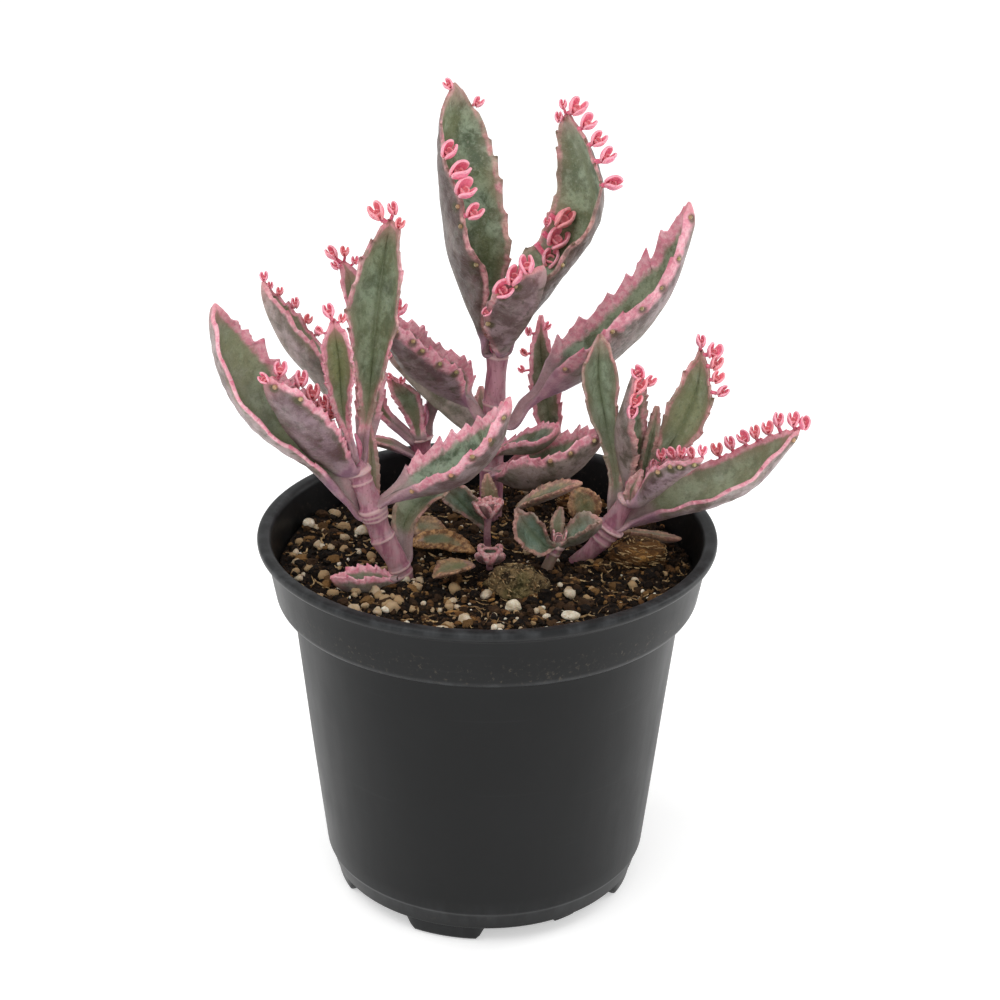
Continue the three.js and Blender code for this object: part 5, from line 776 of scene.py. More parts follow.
class Part:
    """Vertices, faces and per-vertex numbers of one piece, gathered in mm."""

    def __init__(self):
        self.v, self.f, self.m, self.a, self.n = [], [], [], {}, 0

    def add(self, verts, faces, attrs=None, mat=0):
        verts = np.asarray(verts, float).reshape(-1, 3)
        k = len(verts)
        attrs = dict(attrs or {})
        for name in set(self.a) | set(attrs):
            if name not in self.a:
                self.a[name] = [np.zeros(self.n)] if self.n else []
            val = attrs.get(name, 0.0)
            self.a[name].append(np.broadcast_to(np.asarray(val, float), (k,)).copy())
        self.v.append(verts)
        off = self.n
        for f in faces:
            self.f.append([int(i) + off for i in f])
            self.m.append(mat)
        self.n += k

    def object(self, name, mats, node=None, slot=None, smooth=True, sharp=None):
        V = np.vstack(self.v)
        W = V * 0.001
        W[:, 0] += AX * 0.001
        me = bpy.data.meshes.new(name)
        me.from_pydata(W.tolist(), [], self.f)
        for k, val in self.a.items():
            at = me.attributes.new(k, "FLOAT", "POINT")
            at.data.foreach_set("value", np.concatenate(val).astype(np.float32))
        for m in mats:
            me.materials.append(m)
        if len(mats) > 1:
            me.polygons.foreach_set("material_index", np.array(self.m, np.int32))
        me.polygons.foreach_set("use_smooth", np.full(len(me.polygons), smooth, bool))
        me.validate()
        me.update()
        if sharp is not None:
            bm = bmesh.new()
            bm.from_mesh(me)
            for e in bm.edges:
                if len(e.link_faces) == 2 and e.calc_face_angle(0) > sharp:
                    e.smooth = False
            bm.to_mesh(me)
            bm.free()
        ob = bpy.data.objects.new(name, me)
        bpy.context.scene.collection.objects.link(ob)
        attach(ob, "root")
        if node:
            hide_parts(*([node] if isinstance(node, str) else node))
        return ob


def grid_faces(rows, cols, wrap=False):
    out = []
    for i in range(rows - 1):
        a = i * cols
        for j in range(cols if wrap else cols - 1):
            k = (j + 1) % cols
            out.append((a + j, a + k, a + cols + k, a + cols + j))
    return out


# ------------------------------------------------------------------ leaf blade
def tooth(phase, seed):
    """Height 0 to 1 of a tooth: a convex rise with a small shoulder, a forward point, then a quick step back."""
    k, f = np.floor(phase), np.mod(phase, 1.0)
    top = 0.74 + 0.10 * hash01(k, seed + 2)
    rise = 0.78 * np.clip(f / top, 0, 1) ** 1.2 + 0.22 * np.clip((f - top + 0.22) / 0.22, 0, 1) ** 1.5
    fall = np.clip((1 - f) / (1 - top), 0, 1)
    h = np.where(f < top, rise, fall)
    h = h + 0.16 * np.exp(-(((f - 0.40) / 0.08) ** 2)) * np.round(hash01(k, seed + 5))
    return np.clip(h, 0, 1.1) * (0.6 + 0.6 * hash01(k, seed))


RISE = 0.72  # share of the thickness over the rows


def blade(part, name, rows, style, buds=(), mat=0, fine=1.0):
    """Adds one folded leaf to part. Returns where its dormant buds sit."""
    st = dict(BASE, **style)
    seed = (sum(ord(c) * (i + 1) for i, c in enumerate(name)) % 97) / 9.7
    _, length = hermite(rows, np.array([0.0]))
    big = length > 26
    step = (0.3 if big else 0.24) / fine
    nt = int(max(26, min(240, length / step)))
    nu = 12 if big else 9
    ts = np.linspace(0, 1, nt + 1)
    q, _ = hermite(rows, ts)
    M, E = q[:, :3], {-1: q[:, 3:6], 1: q[:, 6:9]}
    T = unit(np.gradient(M, axis=0))
    us = 1 - (1 - np.linspace(0, 1, nu + 1)) ** 1.3
    G = np.zeros((nt + 1, 2 * nu + 1, 3))
    W = np.zeros((nt + 1, 2 * nu + 1))  # half width at each point
    U = np.zeros((nt + 1, 2 * nu + 1))
    TO = np.zeros((nt + 1, 2 * nu + 1))
    BD = np.full((nt + 1, 2 * nu + 1), float(st["band"]))
    G[:, nu] = M
    W[:, nu] = 0.5 * (np.linalg.norm(E[-1] - M, axis=1) + np.linalg.norm(E[1] - M, axis=1))
    onblade = sstep(st["stalk"] * 0.75, st["stalk"] * 1.15 + 0.04, ts)
    fade = onblade * (1 - sstep(0.95, 1.0, ts))
    for sg in (-1, 1):
        v = E[sg] - M
        w = np.linalg.norm(v, axis=1)
        out = unit(v)
        n = unit(np.cross(T, v) * (-sg))
        te = unit(np.gradient(E[sg], axis=0) + 1e-9)
        s = np.r_[0, np.cumsum(np.linalg.norm(np.diff(E[sg], axis=0), axis=1))]
        pitch = st["pitch"]
        ph = s / pitch + 0.16 * np.sin(s / pitch * 1.7 + seed + sg) + (0.5 if sg > 0 else 0.13)
        h = tooth(ph, seed + 3 * sg)
        upper = np.mean((E[sg] - E[-sg]) @ np.array([0.0, 0.41, 0.91])) > 0
        dp = st["depth"] * (st["far"] if upper else st["near"])
        depth = np.minimum(dp, 0.3 * w + 0.05) * fade
        push = depth * (h - (0.30 if dp > 1.5 else 0.45))
        fwd = np.minimum(depth * 0.75, 0.16 * pitch) * h ** 3
        wave = 0.35 * np.minimum(1, w / 8) * np.sin(2 * np.pi * s / (pitch * 2.3) + seed * 2 + sg) * onblade
        band = np.minimum(0.6 * w, 0.9 + 1.25 * st["depth"])
        for k in range(1, nu + 1):
            u = us[k]
            wt = sstep(0, 1, 1 - (1 - u) * w / (band + 1e-6))
            p = M + v * u + out * (push * wt)[:, None] + te * (fwd * wt)[:, None]
            p = p - n * (0.10 * 4 * u * (1 - u) * w)[:, None] + n * (wave * u ** 4)[:, None]
            G[:, nu + sg * k] = p
            W[:, nu + sg * k] = w
            BD[:, nu + sg * k] = st["band"] * (1.0 if upper else st["lower"])
            U[:, nu + sg * k] = u
            TO[:, nu + sg * k] = h * fade * wt
    um = U * W  # mm from the midrib
    G = G + 0.0
    du = np.gradient(G, axis=1)
    dt = np.gradient(G, axis=0)
    N = unit(np.cross(du, dt))
    pet = (1 - onblade)[:, None]
    # soft channel over the midrib, quilting between the side veins, fine waviness
    arc = (ts * length)[:, None]
    quilt = np.sin(2 * np.pi * (arc - 0.75 * um) / 4.2 + seed) * sstep(0.1, 0.45, U) * (1 - sstep(0.7, 1, U))
    relief = -0.28 * np.exp(-((um / 0.8) ** 2)) * onblade[:, None] + 0.07 * quilt * onblade[:, None] * np.minimum(1, W / 8)
    relief += 0.10 * wobble(G, 2.6, seed) * np.minimum(1, W / 6)
    G = G + N * relief[..., None]
    hwm = 0.5 * (np.linalg.norm(E[-1] - M, axis=1) + np.linalg.norm(E[1] - M, axis=1))[:, None]
    th_mid = np.minimum(1.75 + 1.1 * pet, 0.35 + 0.62 * hwm) * st["th"]
    th_gen = np.minimum(1.1 + 0.9 * pet, 0.3 + 0.32 * hwm) * st["th"]
    th_rim = np.minimum(0.55 + 0.5 * pet, 0.25 + 0.2 * hwm) * st["th"]
    th = th_rim + (th_gen - th_rim) * (1 - U ** 3) + (th_mid - th_gen) * np.exp(-((um / (1.3 + 1.2 * pet)) ** 2))
    end = np.sqrt(np.clip((1 - ts) * length / 1.2, 0.04, 1))[:, None]
    th = th * end
    G = G + N * (RISE * th)[..., None]
    B = G - N * th[..., None]
    B = B - N * (0.06 * wobble(B, 2.0, seed + 4))[..., None]

    def rim(edge, inner):
        o = unit(G[:, edge] - G[:, inner])
        return 0.5 * (G[:, edge] + B[:, edge]) + o * (0.42 * th[:, edge])[:, None]

    rimL, rimR = rim(0, 1), rim(2 * nu, 2 * nu - 1)
    ring = np.concatenate([G, rimR[:, None], B[:, ::-1], rimL[:, None]], axis=1)
    K = 4 * nu + 4

    def ringed(top, bottom, r, l):
        c = lambda a: np.broadcast_to(a, (nt + 1, 2 * nu + 1))
        e = lambda a: np.broadcast_to(a, (nt + 1,))[:, None]
        return np.concatenate([c(top), e(r), c(bottom)[:, ::-1], e(l)], axis=1).ravel()

    dm = (1 - U) * W
    faces = grid_faces(nt + 1, K, wrap=True)
    for i, rev in ((0, False), (nt, True)):
        o = i * K
        cap = [(o + j + 1, o + j, o + 4 * nu + 2 - j, o + 4 * nu + 1 - j) for j in range(2 * nu)]
        cap += [(o, o + 4 * nu + 3, o + 4 * nu + 2), (o + 2 * nu + 1, o + 2 * nu, o + 2 * nu + 2)]
        faces += [c[::-1] for c in cap] if rev else cap
    spots, halo = [], np.zeros((nt + 1, 2 * nu + 1))
    for side, t in buds:
        sg = -1 if side == "L" else 1
        i = int(round(np.clip(t, 0.02, 0.98) * nt))
        w = np.linalg.norm(E[sg][i] - M[i])
        k = int(np.argmin(np.abs((1 - us) * w - 1.15)))
        j = nu + sg * k
        spots.append((B[i, j].copy(), -N[i, j].copy(), unit(E[sg][i] - M[i]), T[i].copy()))
        c = B[i, nu + sg * max(0, int(np.argmin(np.abs((1 - us) * w - 1.9))))]
        d = np.linalg.norm(B - c, axis=2)
        halo = np.maximum(halo, np.exp(-((d / 1.25) ** 2)))
    attrs = {
        "dm": ringed(dm, dm, 0.0, 0.0),
        "um": ringed(um, um, W[:, -1], W[:, 0]),
        "arc": ringed(arc, arc, ts * length, ts * length),
        "face": ringed(0.0, 1.0, 0.5, 0.5),
        "tip": ringed(TO, TO, TO[:, -1], TO[:, 0]),
        "pet": ringed(pet, pet, pet[:, 0], pet[:, 0]),
        "end": ringed(np.clip((1 - ts) * length, 0, 20)[:, None], np.clip((1 - ts) * length, 0, 20)[:, None], np.clip((1 - ts) * length, 0, 20), np.clip((1 - ts) * length, 0, 20)),
        "halo": ringed(0 * halo, halo, halo[:, -1] * 0.6, halo[:, 0] * 0.6),
        "seed": seed,
        "band": ringed(BD, BD, BD[:, -1], BD[:, 0]),
        "rose": st["rose"],
        "olive": st["olive"],
        "teal": st["teal"],
        "purple": st["purple"],
        "brown": st["brown"],
        "deep": st["deep"],
        "light": st["light"],
    }
    part.add(ring.reshape(-1, 3), faces, attrs, mat)
    return spots


# ------------------------------------------------------------------ plantlets and buds
def tube(part, pts, radii, sides=8, attrs=None, mat=0, closed=True):
    pts = np.asarray(pts, float)
    T = unit(np.gradient(pts, axis=0))
    ref = np.array([0.31, 0.83, 0.47])
    side = unit(np.cross(T[0], ref))
    rings = []
    for i, p in enumerate(pts):
        side = unit(side - T[i] * np.dot(side, T[i]))
        other = np.cross(T[i], side)
        a = np.arange(sides) * 2 * np.pi / sides
        rings.append(p + radii[i] * (np.cos(a)[:, None] * side + np.sin(a)[:, None] * other))
    v = np.vstack(rings)
    f = grid_faces(len(pts), sides, wrap=True)
    if closed:
        f.append(tuple(range(sides))[::-1])
        f.append(tuple(range((len(pts) - 1) * sides, len(pts) * sides)))
    part.add(v, f, attrs, mat)


def lobe(part, base, grow, inward, across, L, Wd, cup, th, attrs, neck=0.30, fine=1.0):
    """One rounded spoon shaped leaflet: starts at base, runs along grow, hollow towards inward, with a thick rolled rim."""
    ns, nv = int(12 * fine), int(10 * fine)
    th0 = neck
    a = th0 + (math.pi - th0 - 0.05) * np.linspace(0, 1, ns + 1)[:, None]
    x = np.sin(np.linspace(-1, 1, nv + 1) * math.pi / 2)[None, :]
    y = (math.cos(th0) - np.cos(a)) / (math.cos(th0) + 1)
    hw = Wd / 2 * np.sin(a) * (0.74 + 0.36 * y)
    along = L * y + 0 * x
    rr = (x * hw / (Wd / 2)) ** 2
    rise = cup * (0.30 * Wd * rr + 0.42 * L * (y - 0.42) ** 2 * (y > 0.42))
    sag = -0.10 * L * np.sin(np.pi * y)
    P = base + along[..., None] * grow + (hw * x)[..., None] * across + (rise + sag)[..., None] * inward
    N = unit(np.cross(np.gradient(P, axis=1), np.gradient(P, axis=0)))
    flip = bool(np.sum(N * inward) < 0)
    if flip:
        N = -N
    edge = np.maximum(np.abs(x) ** 3 + 0 * a, sstep(0.8, 1.0, y) + 0 * x)
    t = th * (0.8 + 0.45 * edge) * (0.55 + 0.45 * np.sin(a) ** 0.4 + 0 * x)
    P = P + N * (0.22 * th * edge)[..., None]
    Q = P - N * t[..., None]
    mid = base + grow * L * 0.5
    out = P - mid
    out = unit(out - N * np.sum(out * N, axis=-1, keepdims=True))
    lip1 = P - N * (0.22 * t)[..., None] + out * (0.30 * t)[..., None]
    lip2 = P - N * (0.72 * t)[..., None] + out * (0.30 * t)[..., None]
    cols, rows = nv + 1, ns + 1
    n0 = rows * cols
    top = grid_faces(rows, cols)
    f = [q if not flip else q[::-1] for q in top]
    f += [tuple(i + n0 for i in (q[::-1] if not flip else q)) for q in top]
    loop = [j for j in range(cols)] + [i * cols + cols - 1 for i in range(1, rows)]
    loop += [(rows - 1) * cols + j for j in range(cols - 2, -1, -1)] + [i * cols for i in range(rows - 2, 0, -1)]
    lp = np.array(loop)
    m = len(loop)
    v = np.vstack([P.reshape(-1, 3), Q.reshape(-1, 3), lip1.reshape(-1, 3)[lp], lip2.reshape(-1, 3)[lp]])
    for k in range(m):
        kk = (k + 1) % m
        ia, ib = loop[k], loop[kk]
        c, d, e, g = 2 * n0 + k, 2 * n0 + kk, 2 * n0 + m + k, 2 * n0 + m + kk
        for q in ((ia, c, d, ib), (c, e, g, d), (e, ia + n0, ib + n0, g)):
            f.append(q[::-1] if flip else q)
    e = edge.reshape(-1)
    hy = ((1 - y) + 0 * x).reshape(-1) ** 2
    at = {
        "rim": np.r_[e, e, np.ones(2 * m)],
        "inside": np.r_[np.ones(n0), np.zeros(n0), np.full(m, 0.8), np.full(m, 0.2)],
        "heart": np.r_[hy, hy, np.zeros(2 * m)],
    }
    at.update(attrs)
    part.add(v, f, at)


UP = np.array([0.0, 0.0, 1.0])
FRONT = np.array([0.0, -1.0, 0.0])


def plantlet(part, A, C, dia, inward, k):
    """A pair of cupped leaflets on a short stalk, a smaller pair between them, and a few root hairs."""
    A, C = np.asarray(A, float), np.asarray(C, float)
    d = C - A
    gap = np.linalg.norm(d)
    out = unit(d) if gap > 0.5 else unit(UP * 1.0 + FRONT * 0.5 - inward * 0.4)
    r = hash01(np.arange(10) + k * 10.0, 0.37)
    axis = unit(out * 0.36 + UP * 0.72 + FRONT * (0.50 + 0.22 * r[0]) + (r[1:4] - 0.5) * 0.28)
    view = unit(np.array([0.0, -0.91, 0.41]))
    lat = unit(np.cross(axis, view))
    ang = (r[4] - 0.5) * 0.5 + (0.24 if r[5] > 0.5 else -0.24)
    other = np.cross(axis, lat)
    lat, other = lat * math.cos(ang) + other * math.sin(ang), other * math.cos(ang) - lat * math.sin(ang)
    if np.dot(lat, view) > 0:
        lat, other = -lat, -other
    base = C - axis * 0.40 * dia
    start = A + inward * 0.25
    mid = 0.5 * (start + base) + out * 0.1
    w = min(1.2, dia / 3.6)
    tube(part, [start, A * 0.6 + mid * 0.4, mid * 0.5 + base * 0.5, base, base + axis * 0.16 * dia],
         np.array([0.62, 0.58, 0.54, 0.62, 0.7]) * w, 10, {"shade": r[6], "stalk": 1.0})
    attrs = {"shade": r[6]}
    opening = 0.30 + 0.22 * r[7]
    # the leaflet behind stands taller than the one in front
    for sg, size, lean in ((1, 1.0, opening * 0.95), (-1, 0.86 + 0.12 * r[8], opening * 1.1)):
        g = unit(axis * math.cos(lean) + sg * lat * math.sin(lean))
        inn = unit(axis * math.sin(lean) - sg * lat * math.cos(lean))
        lobe(part, base + sg * lat * 0.06 * dia, g, inn, np.cross(g, inn), 0.98 * dia * size, 1.10 * dia * size, 1.0, 0.145 * dia, attrs)
    for sg in (-1, 1):
        g = unit(axis * 0.86 + sg * other * 0.5)
        inn = unit(axis * 0.5 - sg * other * 0.86)
        lobe(part, base + axis * 0.12 * dia + sg * other * 0.02 * dia, g, inn, np.cross(g, inn), 0.38 * dia, 0.34 * dia, 0.9, 0.11 * dia,
             {"shade": r[6], "young": 1.0}, fine=0.6)
    for m in range(3):  # root hairs hang at the foot of the stalk
        h = hash01(np.arange(4) + m * 4 + k * 3.0, 0.61)
        p0 = A * 0.55 + base * 0.45
        dirn = unit(-UP * 0.6 + (h[:3] - 0.5) * 1.5 + inward * 0.2)
        ln = (0.4 + 0.7 * h[3]) * min(1.0, dia / 3.6)
        tube(part, [p0, p0 + dirn * ln * 0.5 + (h[:3] - 0.5) * 0.2, p0 + dirn * ln], [0.10, 0.07, 0.03], 4,
             {"shade": r[6], "stalk": 1.0, "root": 1.0})


def ovoid(part, c, axis, r, length, attrs, rings=6, sides=8):
    a = unit(axis)
    u = unit(np.cross(a, [0.3, 0.5, 0.81]))
    w = np.cross(a, u)
    pts, rad = [], []
    for i in range(rings + 1):
        k = math.pi * i / rings
        pts.append(np.asarray(c) - a * math.cos(k) * length / 2)
        rad.append(max(0.02, r * math.sin(k) ** 0.8 * (1.1 - 0.25 * i / rings)))
    v = []
    for p, q in zip(pts, rad):
        for j in range(sides):
            t = 2 * math.pi * j / sides
            v.append(p + q * (math.cos(t) * u + math.sin(t) * w))
    f = grid_faces(rings + 1, sides, wrap=True) + [tuple(range(sides))[::-1], tuple(range(rings * sides, (rings + 1) * sides))]
    part.add(np.array(v), f, attrs)


# ------------------------------------------------------------------ materials
def srgb(r, g, b):
    f = lambda c: c / 255 / 12.92 if c <= 10.31 else ((c / 255 + 0.055) / 1.055) ** 2.4
    return (f(r), f(g), f(b), 1.0)


class Net:
    """A node material round one Principled shader."""

    def __init__(self, name, slot=None):
        self.m = bpy.data.materials.new(name)
        self.m.use_nodes = True
        self.t = self.m.node_tree
        self.t.nodes.clear()
        out = self.t.nodes.new("ShaderNodeOutputMaterial")
        self.b = self.t.nodes.new("ShaderNodeBsdfPrincipled")
        self.t.links.new(self.b.outputs[0], out.inputs[0])
        self.obj = self.t.nodes.new("ShaderNodeTexCoord").outputs["Object"]

    def put(self, sock, val):
        if isinstance(val, bpy.types.NodeSocket):
            self.t.links.new(val, sock)
        else:
            sock.default_value = val

    def set(self, **kw):
        for k, v in kw.items():
            self.put(self.b.inputs[k.replace("_", " ")], v)

    def attr(self, name):
        n = self.t.nodes.new("ShaderNodeAttribute")
        n.attribute_name = name
        return n.outputs["Fac"]

    def math(self, op, a, b=0.0, c=0.0, clamp=False):
        n = self.t.nodes.new("ShaderNodeMath")
        n.operation, n.use_clamp = op, clamp
        for i, v in enumerate((a, b, c)):
            self.put(n.inputs[i], v)
        return n.outputs[0]

    def ramp(self, x, a, b, lo=0.0, hi=1.0):
        n = self.t.nodes.new("ShaderNodeMapRange")
        n.interpolation_type = "SMOOTHSTEP"
        for i, v in enumerate((x, a, b, lo, hi)):
            self.put(n.inputs[i], v)
        return n.outputs[0]

    def mix(self, f, a, b, kind="MIX"):
        n = self.t.nodes.new("ShaderNodeMix")
        n.data_type, n.blend_type = "RGBA", kind
        self.put(n.inputs[0], f)
        self.put(n.inputs[6], a)
        self.put(n.inputs[7], b)
        return n.outputs[2]

    def noise(self, scale, detail=3.0, rough=0.55, w=None, dist=0.0, vec=None):
        n = self.t.nodes.new("ShaderNodeTexNoise")
        if w is not None:
            n.noise_dimensions = "4D"
            self.put(n.inputs["W"], w)
        self.put(n.inputs["Vector"], vec if vec is not None else self.obj)
        n.inputs["Scale"].default_value = scale
        n.inputs["Detail"].default_value = detail
        n.inputs["Roughness"].default_value = rough
        n.inputs["Distortion"].default_value = dist
        return n.outputs[0]

    def cells(self, scale, out="Distance", feature="F1", vec=None):
        n = self.t.nodes.new("ShaderNodeTexVoronoi")
        n.feature = feature
        self.put(n.inputs["Vector"], vec if vec is not None else self.obj)
        n.inputs["Scale"].default_value = scale
        return n.outputs[out]

    def stretched(self, x, y, z):
        n = self.t.nodes.new("ShaderNodeMapping")
        self.put(n.inputs["Vector"], self.obj)
        n.inputs["Scale"].default_value = (x, y, z)
        return n.outputs[0]

    def bump(self, pairs):
        """pairs of (height socket, depth in mm)"""
        h = None
        for s, mm in pairs:
            k = self.math("MULTIPLY", s, mm)
            h = k if h is None else self.math("ADD", h, k)
        n = self.t.nodes.new("ShaderNodeBump")
        n.inputs["Strength"].default_value = 1.0
        n.inputs["Distance"].default_value = 0.001
        self.put(n.inputs["Height"], h)
        self.put(self.b.inputs["Normal"], n.outputs[0])


def leaf_material():
    s = Net("leaf_skin")
    A = s.attr
    dm, um, face, tip, pet, end, halo, seed = (A(k) for k in ("dm", "um", "face", "tip", "pet", "end", "halo", "seed"))
    deep, light = A("deep"), A("light")
    band, rose, olive, teal, purple, brown = (A(k) for k in ("band", "rose", "olive", "teal", "purple", "brown"))
    blot = s.noise(210, 4, 0.6, seed, 0.4)
    fine = s.noise(900, 3, 0.6, seed)
    grain = s.noise(3200, 2, 0.5, seed)
    slow = s.noise(70, 2, 0.5, seed)
    # upper face
    green = s.mix(s.ramp(blot, 0.41, 0.60), srgb(70, 86, 64), srgb(146, 162, 138))
    spot = s.noise(390, 3, 0.55, seed, 0.5)
    green = s.mix(s.ramp(spot, 0.46, 0.34, 0.0, 0.75), green, srgb(62, 74, 50))
    green = s.mix(s.math("MULTIPLY", olive, s.ramp(slow, 0.36, 0.62)), green, srgb(136, 138, 92))
    green = s.mix(s.math("MULTIPLY", teal, s.ramp(blot, 0.3, 0.6)), green, srgb(124, 148, 132))
    green = s.mix(s.math("MULTIPLY", s.ramp(fine, 0.52, 0.72), 0.5), green, srgb(156, 162, 140))
    green = s.mix(s.math("MULTIPLY", s.ramp(fine, 0.48, 0.30), 0.55), green, srgb(70, 80, 56))
    green = s.mix(light, green, srgb(168, 174, 146))
    streak = s.math("MULTIPLY", s.ramp(um, 2.6, 0.5), s.ramp(blot, 0.34, 0.56, 0.25, 0.6))
    green = s.mix(streak, green, srgb(98, 106, 70))
    green = s.mix(s.math("MULTIPLY", s.ramp(dm, 4.5, 0.6), s.ramp(slow, 0.4, 0.6, 0.2, 0.6)), green, srgb(146, 128, 106))
    # under face
    mauve = s.mix(s.ramp(blot, 0.38, 0.64), srgb(122, 88, 102), srgb(182, 150, 166))
    grey = s.mix(s.ramp(blot, 0.36, 0.62), srgb(98, 96, 76), srgb(156, 144, 132))
    under = s.mix(s.math("ADD", s.math("MULTIPLY", purple, 0.85), s.math("MULTIPLY", s.math("SUBTRACT", slow, 0.5), 0.9), clamp=True), grey, mauve)
    under = s.mix(s.math("MULTIPLY", s.ramp(fine, 0.47, 0.30), 0.6), under, srgb(90, 68, 70))
    under = s.mix(s.math("MULTIPLY", s.ramp(um, 1.8, 0.2), 0.35), under, srgb(166, 152, 140))
    under = s.mix(s.math("MULTIPLY", s.ramp(dm, 3.4, 0.9), s.ramp(slow, 0.42, 0.62, 0.0, 0.6)), under, srgb(112, 106, 70))
    under = s.mix(s.math("MULTIPLY", s.math("MULTIPLY", teal, 0.6), s.ramp(blot, 0.35, 0.6)), under, srgb(120, 134, 116))
    under = s.mix(s.math("MULTIPLY", deep, s.ramp(s.noise(160, 4, 0.6, seed), 0.34, 0.66, 0.98, 0.55)), under, srgb(64, 41, 36))
    under = s.mix(s.ramp(spot, 0.44, 0.33, 0.0, 0.6), under, srgb(78, 74, 58))
    col = s.mix(face, green, under)
    # pale powdery bloom
    col = s.mix(s.ramp(s.noise(130, 5, 0.7, seed), 0.50, 0.78, 0.0, 0.34), col, srgb(176, 178, 170))
    # pink variegation along the margin, ragged inside
    rag = s.math("MULTIPLY", s.math("SUBTRACT", s.noise(330, 4, 0.65, seed), 0.5), 1.5)
    edge = s.math("ADD", s.math("DIVIDE", dm, band), rag)
    bandf = s.ramp(edge, 1.35, 0.55)
    pink = s.mix(s.ramp(fine, 0.38, 0.62), srgb(234, 146, 166), srgb(248, 190, 200))
    tan = s.mix(s.ramp(fine, 0.38, 0.62), srgb(164, 122, 104), srgb(204, 162, 142))
    rim = s.mix(s.ramp(s.math("ADD", rose, s.math("MULTIPLY", s.math("SUBTRACT", slow, 0.5), 0.7)), 0.25, 0.8), tan, pink)
    rim = s.mix(s.math("MULTIPLY", s.ramp(blot, 0.6, 0.42), 0.28), rim, srgb(176, 120, 128))
    patch = s.ramp(s.math("ADD", s.noise(240, 3, 0.6, seed), s.ramp(rose, 0.55, 0.95, 0.0, 0.4)), 0.42, 0.62, 0.25, 0.95)
    col = s.mix(s.math("MULTIPLY", bandf, patch), col, rim)
    # the last millimetres of a leaf blush
    col = s.mix(s.math("MULTIPLY", s.ramp(end, 7.0, 0.0), s.math("MULTIPLY", rose, 0.55)), col, srgb(214, 140, 146))
    # tooth points are dark olive on the green leaves and deep rose on the pink ones
    point = s.math("MULTIPLY", s.ramp(tip, 0.62, 0.98), s.ramp(dm, 1.3, 0.3))
    col = s.mix(s.math("MULTIPLY", point, 0.8), col, s.mix(s.ramp(rose, 0.5, 0.85), srgb(88, 72, 46), srgb(206, 104, 128)))
    # dark spots round the dormant buds
    col = s.mix(s.math("MULTIPLY", s.ramp(halo, 0.12, 0.75), 0.82), col, srgb(74, 72, 42))
    # stalk end
    stalk = s.mix(s.ramp(blot, 0.4, 0.62), srgb(150, 106, 132), srgb(184, 146, 160))
    stalk = s.mix(s.math("MULTIPLY", s.math("SUBTRACT", 1.0, face), 0.35), stalk, srgb(150, 148, 122))
    stalk = s.mix(s.math("MULTIPLY", teal, 0.8), stalk, srgb(140, 150, 128))
    near = s.ramp(s.math("ADD", pet, s.math("MULTIPLY", s.math("SUBTRACT", slow, 0.5), 0.6)), 0.15, 0.95)
    col = s.mix(s.math("MULTIPLY", near, 0.85), col, stalk)
    # drying tissue
    dry = s.math("MULTIPLY", brown, s.ramp(s.math("ADD", s.math("MULTIPLY", s.ramp(dm, 2.6, 0.0), 0.35), blot), 0.42, 0.74), clamp=True)
    col = s.mix(dry, col, s.mix(s.ramp(fine, 0.4, 0.65), srgb(112, 74, 42), srgb(196, 150, 100)))
    col = s.mix(s.math("MULTIPLY", s.ramp(grain, 0.56, 0.74), 0.22), col, srgb(190, 184, 168))
    col = s.mix(s.math("MULTIPLY", s.ramp(grain, 0.44, 0.28), 0.25), col, srgb(58, 56, 44))
    s.set(Base_Color=col, Roughness=s.ramp(fine, 0.3, 0.7, 0.40, 0.58))
    s.set(Specular_IOR_Level=0.32, Subsurface_Weight=0.10, Subsurface_Scale=0.0011)
    s.b.inputs["Subsurface Radius"].default_value = (1.0, 0.7, 0.4)
    s.bump([(fine, 0.14), (grain, 0.035), (s.noise(450, 3, 0.5, seed), 0.16)])
    return s.m


def plantlet_material():
    s = Net("plantlet_skin")
    rim, ins, heart, shade, stalk, root, young = (s.attr(k) for k in ("rim", "inside", "heart", "shade", "stalk", "root", "young"))
    fine = s.noise(1500, 3, 0.6)
    a = s.mix(s.ramp(fine, 0.35, 0.65), srgb(236, 124, 156), srgb(246, 156, 178))
    col = s.mix(ins, a, s.mix(s.ramp(fine, 0.35, 0.65), srgb(240, 130, 160), srgb(250, 158, 180)))
    col = s.mix(s.math("MULTIPLY", s.ramp(rim, 0.45, 0.95), 0.8), col, srgb(252, 174, 188))
    col = s.mix(s.math("MULTIPLY", s.ramp(shade, 0.45, 1.0), 0.4), col, srgb(238, 140, 122))
    col = s.mix(s.math("MULTIPLY", s.math("MULTIPLY", s.ramp(heart, 0.72, 1.0), ins), 0.6), col, srgb(244, 190, 168))
    col = s.mix(s.math("MULTIPLY", young, 0.7), col, srgb(250, 176, 180))
    col = s.mix(stalk, col, s.mix(s.ramp(fine, 0.4, 0.6), srgb(206, 92, 122), srgb(226, 128, 146)))
    col = s.mix(root, col, srgb(120, 84, 74))
    s.set(Base_Color=col, Roughness=0.4, Specular_IOR_Level=0.4, Subsurface_Weight=0.22, Subsurface_Scale=0.0012)
    s.b.inputs["Subsurface Radius"].default_value = (1.0, 0.45, 0.4)
    s.bump([(fine, 0.06), (s.noise(4000, 2), 0.02)])
    return s.m


def bud_material():
    s = Net("bud_skin")
    shade = s.attr("shade")
    n = s.noise(1400, 3, 0.6)
    col = s.mix(s.ramp(n, 0.35, 0.65), srgb(128, 120, 74), srgb(178, 170, 122))
    col = s.mix(shade, col, srgb(206, 124, 112))
    s.set(Base_Color=col, Roughness=0.4, Subsurface_Weight=0.15, Subsurface_Scale=0.0008)
    s.bump([(n, 0.08)])
    return s.m


